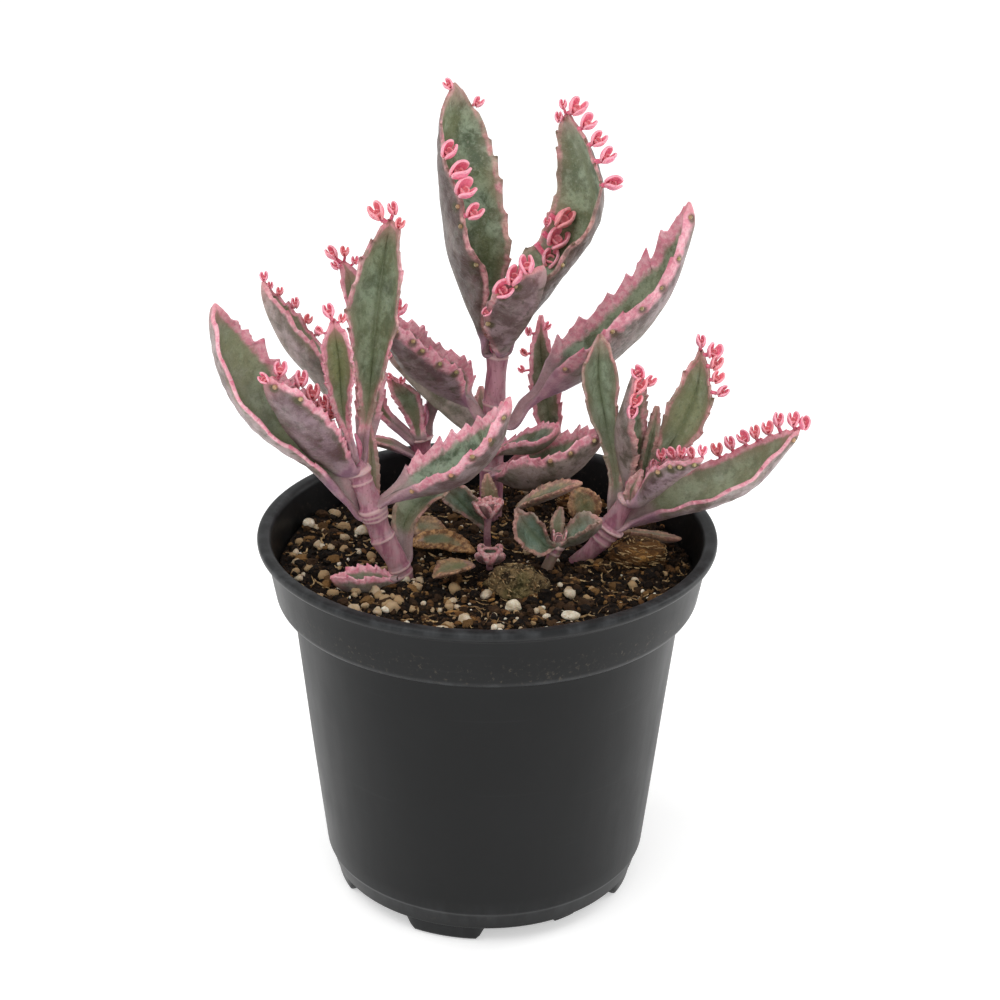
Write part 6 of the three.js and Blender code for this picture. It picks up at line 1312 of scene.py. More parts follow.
def stem_material():
    s = Net("stem_skin")
    ring, age, green, red = (s.attr(k) for k in ("ring", "age", "green", "red"))
    blot = s.noise(260, 4, 0.6)
    streak = s.noise(500, 4, 0.6, vec=s.stretched(1, 1, 0.22))
    col = s.mix(s.ramp(streak, 0.36, 0.64), srgb(150, 92, 112), srgb(192, 140, 152))
    col = s.mix(s.math("MULTIPLY", s.ramp(blot, 0.46, 0.66), 0.6), col, srgb(186, 156, 164))
    col = s.mix(s.math("MULTIPLY", red, 0.75), col, s.mix(s.ramp(streak, 0.4, 0.6), srgb(132, 62, 84), srgb(172, 98, 120)))
    col = s.mix(s.math("MULTIPLY", green, s.ramp(blot, 0.35, 0.6)), col, srgb(122, 118, 84))
    col = s.mix(s.math("MULTIPLY", age, s.ramp(blot, 0.42, 0.6, 0.3, 0.9)), col, srgb(104, 76, 66))
    col = s.mix(s.math("MULTIPLY", s.ramp(ring, 0.35, 0.9), 0.8), col, srgb(212, 178, 176))
    col = s.mix(s.math("MULTIPLY", s.ramp(s.cells(900), 0.24, 0.12), 0.35), col, srgb(96, 58, 70))
    s.set(Base_Color=col, Roughness=s.ramp(blot, 0.3, 0.7, 0.42, 0.6), Specular_IOR_Level=0.3, Subsurface_Weight=0.12, Subsurface_Scale=0.0012)
    s.bump([(streak, 0.16), (s.noise(1800, 3), 0.05)])
    return s.m


def axil_material():
    s = Net("young_shoot_skin")
    n = s.noise(1100, 3, 0.6)
    col = s.mix(s.ramp(n, 0.35, 0.65), srgb(160, 70, 104), srgb(196, 116, 138))
    col = s.mix(s.math("MULTIPLY", s.attr("rim"), 0.45), col, srgb(226, 150, 172))
    s.set(Base_Color=col, Roughness=0.42, Subsurface_Weight=0.15, Subsurface_Scale=0.001)
    s.bump([(n, 0.08)])
    return s.m


def rosette_material():
    s = Net("rosette_skin")
    rim, ins, young = s.attr("rim"), s.attr("inside"), s.attr("young")
    n, f = s.noise(420, 4, 0.6), s.noise(1300, 3, 0.6)
    top = s.mix(s.ramp(n, 0.38, 0.62), srgb(84, 96, 78), srgb(136, 148, 128))
    low = s.mix(s.ramp(n, 0.38, 0.62), srgb(120, 86, 88), srgb(164, 132, 128))
    col = s.mix(ins, low, top)
    col = s.mix(s.math("MULTIPLY", s.ramp(s.math("ADD", rim, s.math("MULTIPLY", s.math("SUBTRACT", f, 0.5), 0.8)), 0.42, 0.82), 0.92), col,
                s.mix(s.ramp(f, 0.4, 0.62), srgb(206, 134, 140), srgb(232, 192, 190)))
    col = s.mix(s.math("MULTIPLY", young, 0.7), col, srgb(218, 140, 138))
    col = s.mix(s.math("MULTIPLY", s.attr("stalk"), 0.9), col, s.mix(s.ramp(n, 0.4, 0.6), srgb(126, 84, 96), srgb(164, 122, 128)))
    s.set(Base_Color=col, Roughness=0.5, Specular_IOR_Level=0.3, Subsurface_Weight=0.1, Subsurface_Scale=0.001)
    s.bump([(f, 0.12), (n, 0.15)])
    return s.m


def pot_material():
    s = Net("black_plastic")
    broad = s.noise(22, 4, 0.6)
    brushed = s.noise(260, 4, 0.6, vec=s.stretched(1, 1, 0.12))
    scratch = s.ramp(s.noise(420, 2, 0.5, vec=s.stretched(0.06, 0.06, 1.0), dist=0.6), 0.66, 0.72)
    dust = s.math("MULTIPLY", s.ramp(s.noise(900, 4, 0.7), 0.55, 0.8), s.attr("dust"))
    col = s.mix(s.ramp(broad, 0.35, 0.68), srgb(9, 10, 11), srgb(16, 17, 18))
    col = s.mix(s.math("MULTIPLY", scratch, 0.05), col, srgb(60, 62, 64))
    # painted highlight lines: the lip top, the collar's lower edge and the base chamfer are lightened to grey, broken
    # up by brushed streaks; the feet get a faint even share of it as wear
    col = s.mix(s.math("MULTIPLY", s.attr("wear"), s.ramp(brushed, 0.4, 0.7, 0.1, 0.5)), col, srgb(74, 76, 78))
    col = s.mix(s.math("MULTIPLY", dust, 0.6), col, srgb(104, 94, 80))
    rough = s.math("ADD", s.ramp(broad, 0.3, 0.7, 0.36, 0.46), s.math("MULTIPLY", s.math("SUBTRACT", brushed, 0.5), 0.12))
    s.set(Base_Color=col, Roughness=rough, Specular_IOR_Level=0.22)
    s.bump([(s.noise(2600, 3, 0.6), 0.012), (brushed, 0.02), (s.noise(60, 2), 0.10)])
    return s.m


def soil_material():
    s = Net("potting_mix")
    a, b, c = s.noise(240, 5, 0.7), s.noise(900, 4, 0.7), s.noise(3200, 3, 0.6)
    col = s.mix(s.ramp(a, 0.38, 0.66), srgb(10, 7, 5), srgb(38, 27, 19))
    col = s.mix(s.ramp(b, 0.55, 0.78, 0.0, 0.7), col, srgb(96, 70, 44))
    col = s.mix(s.ramp(s.cells(420), 0.16, 0.07, 0.0, 0.8), col, srgb(164, 142, 112))
    col = s.mix(s.ramp(c, 0.45, 0.25, 0.0, 0.8), col, srgb(8, 5, 3))
    s.set(Base_Color=col, Roughness=0.93, Specular_IOR_Level=0.18)
    s.bump([(b, 0.9), (c, 0.35)])
    return s.m


def crumb_material():
    s = Net("mix_crumbs")
    shade = s.attr("shade")
    b, c = s.noise(1100, 4, 0.7), s.noise(3600, 3, 0.6)
    col = s.mix(s.ramp(shade, 0.2, 0.75), srgb(17, 10, 6), srgb(58, 40, 25))
    col = s.mix(s.ramp(shade, 0.8, 0.98, 0.0, 0.9), col, srgb(132, 98, 58))
    col = s.mix(s.ramp(b, 0.5, 0.75, 0.0, 0.65), col, srgb(98, 72, 44))
    col = s.mix(s.ramp(c, 0.45, 0.25, 0.0, 0.7), col, srgb(10, 6, 4))
    s.set(Base_Color=col, Roughness=0.9, Specular_IOR_Level=0.2)
    s.bump([(b, 0.35), (c, 0.2)])
    return s.m


def fibre_material():
    s = Net("mix_fibres")
    shade = s.attr("shade")
    b = s.noise(1500, 3, 0.6)
    col = s.mix(shade, s.mix(s.ramp(b, 0.4, 0.6), srgb(70, 48, 28), srgb(118, 86, 52)), s.mix(s.ramp(b, 0.4, 0.6), srgb(150, 118, 76), srgb(204, 176, 130)))
    s.set(Base_Color=col, Roughness=0.72, Specular_IOR_Level=0.3)
    s.bump([(b, 0.1)])
    return s.m


def grain_material():
    s = Net("mineral_grain")
    shade = s.attr("shade")
    a, b = s.noise(700, 4, 0.6), s.noise(2600, 3, 0.6)
    col = s.mix(s.ramp(a, 0.35, 0.65), srgb(196, 180, 152), srgb(232, 224, 206))
    col = s.mix(s.ramp(shade, 0.35, 0.85), col, srgb(164, 136, 100))
    col = s.mix(s.ramp(b, 0.42, 0.26, 0.0, 0.7), col, srgb(118, 94, 68))
    s.set(Base_Color=col, Roughness=0.85, Specular_IOR_Level=0.3, Subsurface_Weight=0.08, Subsurface_Scale=0.0008)
    s.bump([(a, 0.25), (b, 0.14)])
    return s.m


def bark_material():
    s = Net("bark")
    strand = s.noise(420, 5, 0.7, vec=s.stretched(0.35, 1.4, 1.0), dist=0.8)
    c = s.noise(2400, 3, 0.6)
    col = s.mix(s.ramp(strand, 0.34, 0.52), srgb(22, 13, 7), srgb(98, 66, 34))
    col = s.mix(s.ramp(strand, 0.54, 0.68), col, srgb(186, 138, 76))
    col = s.mix(s.ramp(c, 0.44, 0.28, 0.0, 0.8), col, srgb(26, 16, 8))
    s.set(Base_Color=col, Roughness=0.84, Specular_IOR_Level=0.25)
    s.bump([(strand, 0.8), (c, 0.2)])
    return s.m


def moss_material():
    s = Net("moss")
    a, b, c = s.noise(420, 5, 0.7, dist=0.5), s.noise(1500, 4, 0.7), s.noise(160, 2)
    col = s.mix(s.ramp(a, 0.36, 0.6), srgb(40, 29, 17), srgb(122, 102, 70))
    col = s.mix(s.ramp(b, 0.52, 0.72, 0.0, 0.85), col, srgb(190, 170, 132))
    col = s.mix(s.math("MULTIPLY", s.ramp(c, 0.50, 0.66), 0.35), col, srgb(84, 84, 46))
    col = s.mix(s.ramp(b, 0.42, 0.28, 0.0, 0.8), col, srgb(22, 15, 8))
    s.set(Base_Color=col, Roughness=0.9, Specular_IOR_Level=0.2)
    s.bump([(a, 0.6), (b, 0.3)])
    return s.m


# ------------------------------------------------------------------ pot
SOIL_Z, COLLAR_Z = 82.3, 75.5


def soil_top(x, y):
    return SOIL_Z - 0.035 * y - 0.02 * x + 0.55 * np.sin(0.21 * x + 1.3) * np.cos(0.17 * y - 0.6) + 0.35 * np.sin(0.43 * x - 0.31 * y + 2.1)


def rounded(points, radii, steps=5):
    out = []
    n = len(points)
    for i, p in enumerate(points):
        p = np.array(p, float)
        r = radii[i]
        if i in (0, n - 1) or r <= 0:
            out.append(p)
            continue
        a, b = np.array(points[i - 1], float), np.array(points[i + 1], float)
        da, db = np.linalg.norm(a - p), np.linalg.norm(b - p)
        qa, qb = p + (a - p) * min(r, da * 0.48) / da, p + (b - p) * min(r, db * 0.48) / db
        for k in range(steps + 1):
            t = k / steps
            out.append((1 - t) ** 2 * qa + 2 * t * (1 - t) * p + t * t * qb)
    return out


def make_pot(mat):
    corner = [
        ((0.01, 3.9), 0), ((37.4, 3.9), 0.6), ((38.6, 8.4), 0.5), ((39.15, 9.1), 0.4), ((46.15, 75.0), 0.7),
        ((49.25, 75.4), 0.7), ((49.9, 76.6), 0.5), ((51.95, 88.1), 0.6), ((53.2, 88.6), 0.4), ((53.95, 89.5), 0.7), ((53.9, 90.6), 0.7),
        ((53.0, 91.0), 0.6), ((51.2, 90.9), 0.6), ((50.6, 90.0), 0.6), ((48.2, 76.9), 0.8), ((44.95, 74.4), 0.8), ((37.5, 9.4), 1.0),
        ((36.4, 5.4), 1.0), ((0.01, 5.4), 0),
    ]
    prof = rounded([c[0] for c in corner], [c[1] for c in corner])
    fine = []
    for a, b in zip(prof[:-1], prof[1:]):
        d = np.linalg.norm(b - a)
        k = max(1, int(d / 3.5))
        for j in range(k):
            fine.append(a + (b - a) * j / k)
    fine.append(prof[-1])
    prof = np.array(fine)
    S = 180
    ang = np.arange(S) * 2 * np.pi / S
    R, Z = prof[:, 0][:, None], prof[:, 1][:, None]
    # blow moulded walls are never quite true
    soft = 0.10 * np.sin(2 * ang + 0.7)[None] * sstep(5, 40, Z) * (1 - sstep(60, 88, Z)) + 0.05 * np.sin(5 * ang + Z * 0.09 + 1.0)
    R2 = np.where(R > 1, R + soft * np.where(R > 53, 0.0, 1.0), R)
    V = np.stack([R2 * np.cos(ang), R2 * np.sin(ang), Z + 0 * ang[None]], axis=-1)
    part = Part()
    rows = len(prof)
    # painted highlight lines: lighter bands on the lip top, the collar's lower edge and the base chamfer
    highlight_bands = np.exp(-((Z - 90.6) / 1.0) ** 2) + 0.8 * np.exp(-((Z - 75.9) / 0.8) ** 2) * (R > 46) + 0.6 * np.exp(-((Z - 8.0) / 1.6) ** 2)
    dust = np.where((R < 51.2) & (Z > 76), sstep(90, 84, Z) * 0.9, 0.0) + 0.35 * sstep(14, 4, Z)
    verts = V.reshape(-1, 3)
    attrs = {"wear": np.broadcast_to(np.clip(highlight_bands, 0, 1), (rows, S)).ravel(), "dust": np.broadcast_to(dust, (rows, S)).ravel()}
    faces = grid_faces(rows, S, wrap=True)
    faces.append(tuple(range(S))[::-1])
    faces.append(tuple(range((rows - 1) * S, rows * S)))
    part.add(verts, faces, attrs)
    ob = part.object("pot_shell", [mat], node="pot", slot="black_plastic")
    # drain holes through the floor
    cut = Part()
    for deg in (20, 88, 200, 267):
        a = math.radians(deg)
        cx, cy = 31 * math.sin(a), -31 * math.cos(a)
        t = np.arange(28) * 2 * np.pi / 28
        ring = lambda z: np.stack([cx + 3.2 * np.cos(t), cy + 3.2 * np.sin(t), 0 * t + z], axis=1)
        cut.add(np.vstack([ring(0.8), ring(8.0)]), grid_faces(2, 28, wrap=True) + [tuple(range(28))[::-1], tuple(range(28, 56))])
    tool = cut.object("drain_cutter", [mat])
    mod = ob.modifiers.new("drain", "BOOLEAN")
    mod.operation, mod.object, mod.solver = "DIFFERENCE", tool, "EXACT"
    dg = bpy.context.evaluated_depsgraph_get()
    fresh = bpy.data.meshes.new_from_object(ob.evaluated_get(dg))
    ob.modifiers.clear()
    ob.data = fresh
    bpy.data.objects.remove(tool)
    bm = bmesh.new()
    bm.from_mesh(ob.data)
    for e in bm.edges:
        e.smooth = not (len(e.link_faces) == 2 and e.calc_face_angle(0) > math.radians(38))
    bm.to_mesh(ob.data)
    bm.free()
    # feet: short arcs with rounded edges
    feet = Part()
    for a0, a1, outer in FEET:
        n = max(8, int((a1 - a0) / 1.5))
        inner = 31.4
        sec = rounded([(inner, 4.6), (inner, 0.0), (outer, 0.0), (outer + 0.75, 4.6)], [0, 0.8, 1.0, 0], 5)
        k = len(sec)
        slope = (a1 - a0) * 0.135 if a1 - a0 > 20 else (a1 - a0) * 0.12
        rows = []
        for i in range(n + 1):
            deg = a0 + (a1 - a0) * i / n
            # the ends slope up into the skirt
            e = min(deg - a0, a1 - deg) / slope
            up = (1 - min(1.0, e)) if e < 1 else 0.0
            up = up * up * (3 - 2 * up)
            t = math.radians(deg)
            rows.append([(r * math.sin(t), -r * math.cos(t), z + (4.3 - z) * up if z < 4.3 else z) for r, z in sec])
        v = np.array(rows).reshape(-1, 3)
        f = grid_faces(len(rows), k, wrap=True) + [tuple(range(k))[::-1], tuple(range((len(rows) - 1) * k, len(rows) * k))]
        # the feet take a faint even share of the wear and painted highlight lightening
        feet.add(v, [q[::-1] for q in f], {"wear": 0.2, "dust": 0.2})
    feet.object("pot_feet", [mat], node="pot", slot="black_plastic", sharp=math.radians(50))
    return ob


FEET = [(-31, 2, 36.4), (-95, -59, 36.4), (58, 95, 36.4), (30, 42, 33.6), (118, 151, 36.4), (174, 207, 36.4), (225, 240, 33.6)]


# ------------------------------------------------------------------ potting mix
def inner_r(z):
    z = np.asarray(z, float)
    r = np.where(z > COLLAR_Z + 1.2, 48.2 + (z - COLLAR_Z - 1.2) * 2.7 / 14.3, np.where(z > COLLAR_Z - 1.2, 44.95 + (z - COLLAR_Z + 1.2) * 3.25 / 2.4, 37.3 + (z - 7.2) * 7.65 / 67.1))
    return r - 0.3


def rough_top(x, y):
    """Level of the mix with its small clods."""
    p = np.stack([x, y, 0 * x], axis=-1)
    h = 0.42 * wobble(p, 1.9, 0.3) + 0.34 * wobble(p, 0.95, 1.9) + 0.24 * wobble(p, 0.5, 4.2)
    h = h + 0.5 * np.maximum(0, wobble(p, 2.9, 6.1)) ** 2
    return soil_top(x, y) + h - 0.25


def make_soil(mat):
    part = Part()
    S, K = 300, 84
    ang = np.arange(S) * 2 * np.pi / S
    rr = np.linspace(49.0, 0.4, K)[:, None]
    x, y = rr * np.cos(ang), rr * np.sin(ang)
    z = rough_top(x, y)
    z[0] = soil_top(x[0], y[0]) - 0.9
    top = np.stack([x, y, z], axis=-1)
    low = []
    for zz, r in ((5.7, 0.4), (5.7, 20.0), (5.7, 35.6), (9.5, 36.9), (40.0, None), (74.0, None), (76.6, None), (79.0, None)):
        r = inner_r(zz) if r is None else r
        low.append(np.stack([r * np.cos(ang), r * np.sin(ang), 0 * ang + zz], axis=-1))
    V = np.concatenate([np.array(low), top], axis=0)
    rows = V.shape[0]
    f = grid_faces(rows, S, wrap=True) + [tuple(range(S))[::-1], tuple(range((rows - 1) * S, rows * S))]
    part.add(V.reshape(-1, 3), f)
    return part.object("potting_mix_body", [mat], node="soil", slot="potting_mix")


ICO = None


def ico(level):
    bm = bmesh.new()
    bmesh.ops.create_icosphere(bm, subdivisions=level, radius=1.0)
    v = np.array([w.co[:] for w in bm.verts])
    f = [[q.index for q in t.verts] for t in bm.faces]
    bm.free()
    return v, f


def stone(part, c, size, seed, level, attrs, amount=0.28, flat=1.0, turn=None):
    v, f = SHAPES[level]
    k = 1 + amount * wobble(v, 0.55, seed) + amount * 0.5 * wobble(v, 0.27, seed * 1.7)
    v = v * k[:, None] * np.asarray(size)
    a = seed * 2.399 if turn is None else turn
    R = np.array([[math.cos(a), -math.sin(a), 0], [math.sin(a), math.cos(a), 0], [0, 0, 1]])
    b = (hash01(seed, 3.3) - 0.5) * 1.4
    Q = np.array([[1, 0, 0], [0, math.cos(b), -math.sin(b)], [0, math.sin(b), math.cos(b)]])
    part.add(v @ Q.T @ R.T + np.asarray(c), f, attrs)


def scatter(crumb_mat, grain_mat, fibre_mat, bark_mat):
    crumbs, grains, fibres, chips = Part(), Part(), Part(), Part()

    def spot(rmax=48.2):
        r, t = rmax * math.sqrt(rng.random()), rng.random() * 2 * math.pi
        return r * math.cos(t), r * math.sin(t)

    for i in range(3600):
        x, y = spot()
        s = 0.35 + 0.55 * rng.random() ** 2
        z = float(rough_top(np.float64(x), np.float64(y)))
        stone(crumbs, (x, y, z + 0.25 * s), (s, s * (0.6 + 0.5 * rng.random()), s * 0.75), 0.37 * i + 0.1, 1, {"shade": rng.random()}, 0.35)
    for i in range(620):
        x, y = spot(47.2)
        s = 0.8 + 1.0 * rng.random() ** 1.6
        z = float(rough_top(np.float64(x), np.float64(y)))
        stone(crumbs, (x, y, z + 0.2 * s), (s, s * (0.6 + 0.4 * rng.random()), s * 0.7), 0.71 * i + 3, 2, {"shade": rng.random() ** 1.4}, 0.4)
    n = 0
    while n < 330:
        x, y = spot(47.6)
        # more grains at the front and left
        if rng.random() > 0.35 + 0.45 * float(sstep(10, -30, y)) + 0.25 * float(sstep(0, -35, x)):
            continue
        s = 0.35 + 0.75 * rng.random() ** 2.2
        z = float(rough_top(np.float64(x), np.float64(y)))
        stone(grains, (x, y, z + 0.45 * s), (s, s * (0.7 + 0.3 * rng.random()), s * 0.8), 0.53 * n + 7, 2 if s > 0.6 else 1, {"shade": rng.random()}, 0.22)
        n += 1
    n = 0
    while n < 120:
        x, y = spot(46.6)
        if rng.random() > 0.12 + 0.55 * float(sstep(5, -30, y)) + 0.55 * float(sstep(-5, -38, x)):
            continue
        s = 0.8 + 1.0 * rng.random() ** 1.6
        z = float(rough_top(np.float64(x), np.float64(y)))
        stone(grains, (x, y, z + 0.35 * s), (s, s * (0.65 + 0.3 * rng.random()), s * 0.7), 0.67 * n + 21, 2, {"shade": 0.55 + 0.45 * rng.random()}, 0.34)
        n += 1
    for i in range(380):
        x, y = spot(47.0)
        L = 1.6 + 4.2 * rng.random() ** 1.6
        a, bend = rng.random() * 2 * math.pi, (rng.random() - 0.5) * 1.6
        pts = []
        for k in range(6):
            u = k / 5 - 0.5
            px, py = x + L * u * math.cos(a + bend * u), y + L * u * math.sin(a + bend * u)
            if math.hypot(px, py) > 48.4:
                break
            pts.append((px, py, float(rough_top(np.float64(px), np.float64(py))) + 0.35 + 0.5 * rng.random() * (k in (0, 5))))
        if len(pts) < 6:
            continue
        w = 0.10 + 0.16 * rng.random()
        tube(fibres, pts, [w * 0.5, w, w * 1.1, w, w * 0.8, w * 0.3], 5, {"shade": rng.random()})
    for i in range(150):
        x, y = spot(46.8)
        s = 0.9 + 1.5 * rng.random() ** 1.5
        z = float(rough_top(np.float64(x), np.float64(y)))
        stone(chips, (x, y, z + 0.35), (s, s * 0.42, s * 0.24), 0.91 * i + 5, 2, {}, 0.22)
    crumbs.object("mix_crumbs", [crumb_mat], node="soil", slot="potting_mix", smooth=False)
    grains.object("mix_grains", [grain_mat], node="soil", slot="mineral_grain")
    fibres.object("mix_fibres", [fibre_mat], node="soil", slot="potting_mix")
    chips.object("mix_bark_chips", [bark_mat], node="soil", slot="bark")


def make_lumps(mats):
    moss, bark, grain, fibre = mats
    for name, (x, y, size, lift, seed, det) in LUMPS.items():
        z = float(soil_top(x, y)) + lift
        part = Part()
        v, f = SHAPES[5 if not name.startswith("perlite") else 4]
        base = 1 + 0.13 * np.sin(3.1 * v[:, 0] + seed) * np.cos(2.7 * v[:, 1] + 1.7 * seed) + 0.09 * np.sin(4.3 * v[:, 2] + 2.3 * seed)
        if name.startswith("perlite"):
            k = base * (0.97 + 0.05 * wobble(v, 0.4, seed) + 0.03 * wobble(v, 0.16, seed))
            part.add(v * k[:, None] * size + np.array([x, y, z]), f, {"shade": 0.15 * seed % 0.5})
            part.object(name + "_stone", [grain], node=name, slot="mineral_grain")
            continue
        d = 0.10 * wobble(v, 0.36, seed) + 0.08 * wobble(v, 0.17, seed + 2) + 0.06 * wobble(v, 0.075, seed + 5)
        d = d + 0.10 * np.maximum(0, wobble(v, 0.22, seed + 8))
        k = base * (0.93 + d)
        part.add(v * k[:, None] * size + np.array([x, y, z]), f, {})
        isbark = name.startswith("bark")
        part.object(name + "_body", [bark if isbark else moss], node=name, slot="bark" if isbark else "moss")
        hair = Part()
        for i in range(150 if isbark else 110):
            t, p = rng.random() * 2 * math.pi, math.acos(1 - 1.35 * rng.random())
            d0 = np.array([math.sin(p) * math.cos(t), math.sin(p) * math.sin(t), math.cos(p)])
            side = unit(np.cross(d0, [0.3, 0.2, 0.9]) + (rng.random(3) - 0.5) * (0.5 if isbark else 1.5))
            pts = []
            L = (0.35 if isbark else 0.22) * (0.5 + rng.random())
            for kk in range(5):
                q = unit(d0 + side * L * (kk / 4 - 0.5))
                b = 1 + 0.13 * math.sin(3.1 * q[0] + seed) * math.cos(2.7 * q[1] + 1.7 * seed) + 0.09 * math.sin(4.3 * q[2] + 2.3 * seed)
                pts.append(q * (b * (0.97 + 0.05 * rng.random())) * np.array(size) + np.array([x, y, z]))
            w = 0.08 + 0.12 * rng.random()
            tube(hair, pts, [w * 0.5, w, w, w * 0.8, w * 0.3], 5, {"shade": rng.random()})
        hair.object(name + "_fibres", [fibre], node=name, slot="bark" if isbark else "moss")


# ------------------------------------------------------------------ stems
def nearest(stem, p):
    ts = np.linspace(0, 1, 60)
    q, _ = hermite(np.array(STEMS[stem], float), ts)
    d = np.linalg.norm(q[:, :3] - p, axis=1)
    i = int(np.argmin(d))
    return ts[i], d[i], q[i]


LEAF_STEM = {}
for _n, _rows in LEAVES.items():
    p0 = np.array(_rows[0][:3])
    best = min(((nearest(s, p0)[1], s) for s in STEMS))
    LEAF_STEM[_n] = (best[1], *nearest(best[1], p0))


def make_stems(mat, young_mat):
    extra = {"stem_left": [(537, 0.36), (508, 0.6), (482, 0.82)], "stem_right": [(530, 0.6)], "stem_centre": [(0, 0.45), (0, 0.7)], "stem_back": [(0, 0.35)], "stem_middle": [(0, 0.5)]}
    for name, rows in STEMS.items():
        rows = np.array(rows, float)
        # carry the foot on into the mix
        t0 = unit(rows[0, :3] - rows[1, :3])
        foot = np.r_[rows[0, :3] + t0 * 6.0, rows[0, 3] * 0.95]
        allr = np.vstack([foot, rows])
        _, length = hermite(allr, np.array([0.0]))
        n = int(length / 0.28)
        ts = np.linspace(0, 1, n + 1)
        q, _ = hermite(allr, ts)
        P, r = q[:, :3], q[:, 3].copy()
        s = ts * length
        ring = np.zeros(n + 1)
        nodes = [(nearest(name, np.array(LEAVES[k][0][:3]))[2][:3], 0.11) for k, v in LEAF_STEM.items() if v[0] == name and v[2] < 7]
        nodes += [(hermite(rows, np.array([t]))[0][0][:3], 0.10) for _, t in extra.get(name, [])]
        for c, amt in nodes:
            i = int(np.argmin(np.linalg.norm(P - c, axis=1)))
            d = s - s[i]
            r *= 1 + amt * np.exp(-((d / 1.5) ** 2)) - 0.05 * np.exp(-(((d - 1.0) / 0.35) ** 2))
            if amt < 0.15:
                ring = np.maximum(ring, np.exp(-((d / 0.42) ** 2)))
                r += 0.16 * np.exp(-((d / 0.4) ** 2))
        topd = (1 - ts) * length
        r *= np.sqrt(np.clip(topd / (rows[-1, 3] * 1.1), 0.03, 1))
        floor_z = float(soil_top(*rows[0, :2]))
        r *= 1 - {"stem_left": 0.26, "stem_right": 0.30}.get(name, 0.1) * sstep(floor_z + 10, floor_z - 0.5, P[:, 2])
        T = unit(np.gradient(P, axis=0))
        side = unit(np.cross(T[0], [0.2, 0.9, 0.3]))
        A = 26
        a = np.arange(A) * 2 * np.pi / A
        V, at = [], []
        for i in range(n + 1):
            side = unit(side - T[i] * np.dot(side, T[i]))
            oth = np.cross(T[i], side)
            lump = 1 + 0.035 * np.sin(3 * a + s[i] * 0.35) + 0.02 * np.sin(7 * a - s[i] * 0.6)
            V.append(P[i] + (r[i] * lump)[:, None] * (np.cos(a)[:, None] * side + np.sin(a)[:, None] * oth))
        V = np.array(V)
        rg = np.repeat(ring, A)
        z = V[..., 2].ravel()
        soilz = float(soil_top(*rows[0, :2]))
        attrs = {"ring": rg, "age": 0.8 * sstep(soilz + 6, soilz - 1, z), "green": 0.75 if name == "stem_middle" else 0.12, "red": 1.0 if name == "stem_back" else 0.0}
        part = Part()
        part.add(V.reshape(-1, 3), grid_faces(n + 1, A, wrap=True) + [tuple(range(A))[::-1], tuple(range(n * A, (n + 1) * A))], attrs)
        part.object(name + "_shoot", [mat], node=name, slot="stem_skin")
        # the youngest leaf pairs still closed at the growing point
        tip = Part()
        ax = unit(rows[-1, :3] - rows[-2, :3])
        size = rows[-2, 3] * 1.25
        c = rows[-1, :3] - ax * 0.8
        u = unit(np.cross(ax, [0.1, -1, 0.2]))
        w = np.cross(ax, u)
        for k, (d, o, sc) in enumerate(((u, w, 1.0), (-u, w, 0.92), (w, u, 0.7), (-w, u, 0.66))):
            g = unit(ax * 0.93 + d * (0.30 if k < 2 else 0.18))
            inn = unit(ax * 0.3 - d * 0.93)
            lobe(tip, c + d * size * (0.45 if k < 2 else 0.25), g, inn, np.cross(g, inn), size * 2.4 * sc, size * 1.5 * sc, 0.8, 0.45, {})
        tip.object(name + "_growing_tip", [M_ROSE if name == "stem_middle" else young_mat], node=name, slot="stem_skin")


# ------------------------------------------------------------------ tufts rooted in the mix
def make_tufts(mat):
    for name, (x, y, foot, tx, ty, tz, r, leaves) in TUFTS.items():
        part = Part()
        top = np.array([tx, ty, tz])
        if name == "rosette_low":
            top = top + [0, -0.4, -1.3]
        b = np.array([x, y, float(soil_top(x, y)) - 2.0])
        pts = [b, b * 0.66 + top * 0.34 + [0.15, 0, 0], b * 0.33 + top * 0.67 + [-0.1, 0.05, 0], top, top + [0, 0, 0.5]]
        tube(part, pts, [r, r * 0.95, r * 0.9, r * 1.0, r * 0.5], 14, {"stalk": 1.0})
        for bearing, rise, length, width, fold in leaves:
            if name == "rosette_low":
                rise, length, width = rise + 30, length * 1.0, width * 1.15
            a, e = math.radians(bearing), math.radians(rise)
            d = np.array([math.sin(a) * math.cos(e), -math.cos(a) * math.cos(e), math.sin(e)])
            S = unit(np.cross(d, UP))
            N = unit(np.cross(S, d))
            d2 = unit(d + N * 0.2)
            lobe(part, top + d * 0.2, d2, unit(N - d * 0.2), S, length * 1.12, width * 1.2, 0.75 if name == "rosette_low" else 1.1, 1.0, {})
            if name == "rosette_stalked":
                for j in range(5):
                    q = -1.15 + 0.575 * j
                    c = top + d * 0.2 + d2 * length * (0.62 + 0.42 * math.cos(q)) + S * width * 0.56 * math.sin(q) + N * (0.9 + 0.25 * math.cos(3 * j))
                    ovoid(part, c, d2 * math.cos(q) + S * math.sin(q) + N * 0.4, 0.52, 1.35, {"rim": 1.0, "young": 0.35})
        for k in range(4):
            a = math.radians(45 + 90 * k)
            d = np.array([math.sin(a) * 0.6, -math.cos(a) * 0.6, 0.8])
            inn = unit(UP * 0.75 - d * 0.6)
            lobe(part, top + UP * 0.35, unit(d), inn, unit(np.cross(d, inn)), 1.7, 1.25, 0.7, 0.4, {"young": 1.0})
        part.object(name + "_leaves", [mat], node=name, slot="leaf_skin")


# ------------------------------------------------------------------ build everything
SHAPES = {k: ico(k) for k in (1, 2, 3, 4, 5)}
M_LEAF, M_PLANT, M_BUD, M_STEM = leaf_material(), plantlet_material(), bud_material(), stem_material()
M_YOUNG, M_ROSE, M_POT, M_SOIL = axil_material(), rosette_material(), pot_material(), soil_material()
M_CRUMB, M_FIBRE, M_GRAIN, M_BARK, M_MOSS = crumb_material(), fibre_material(), grain_material(), bark_material(), moss_material()

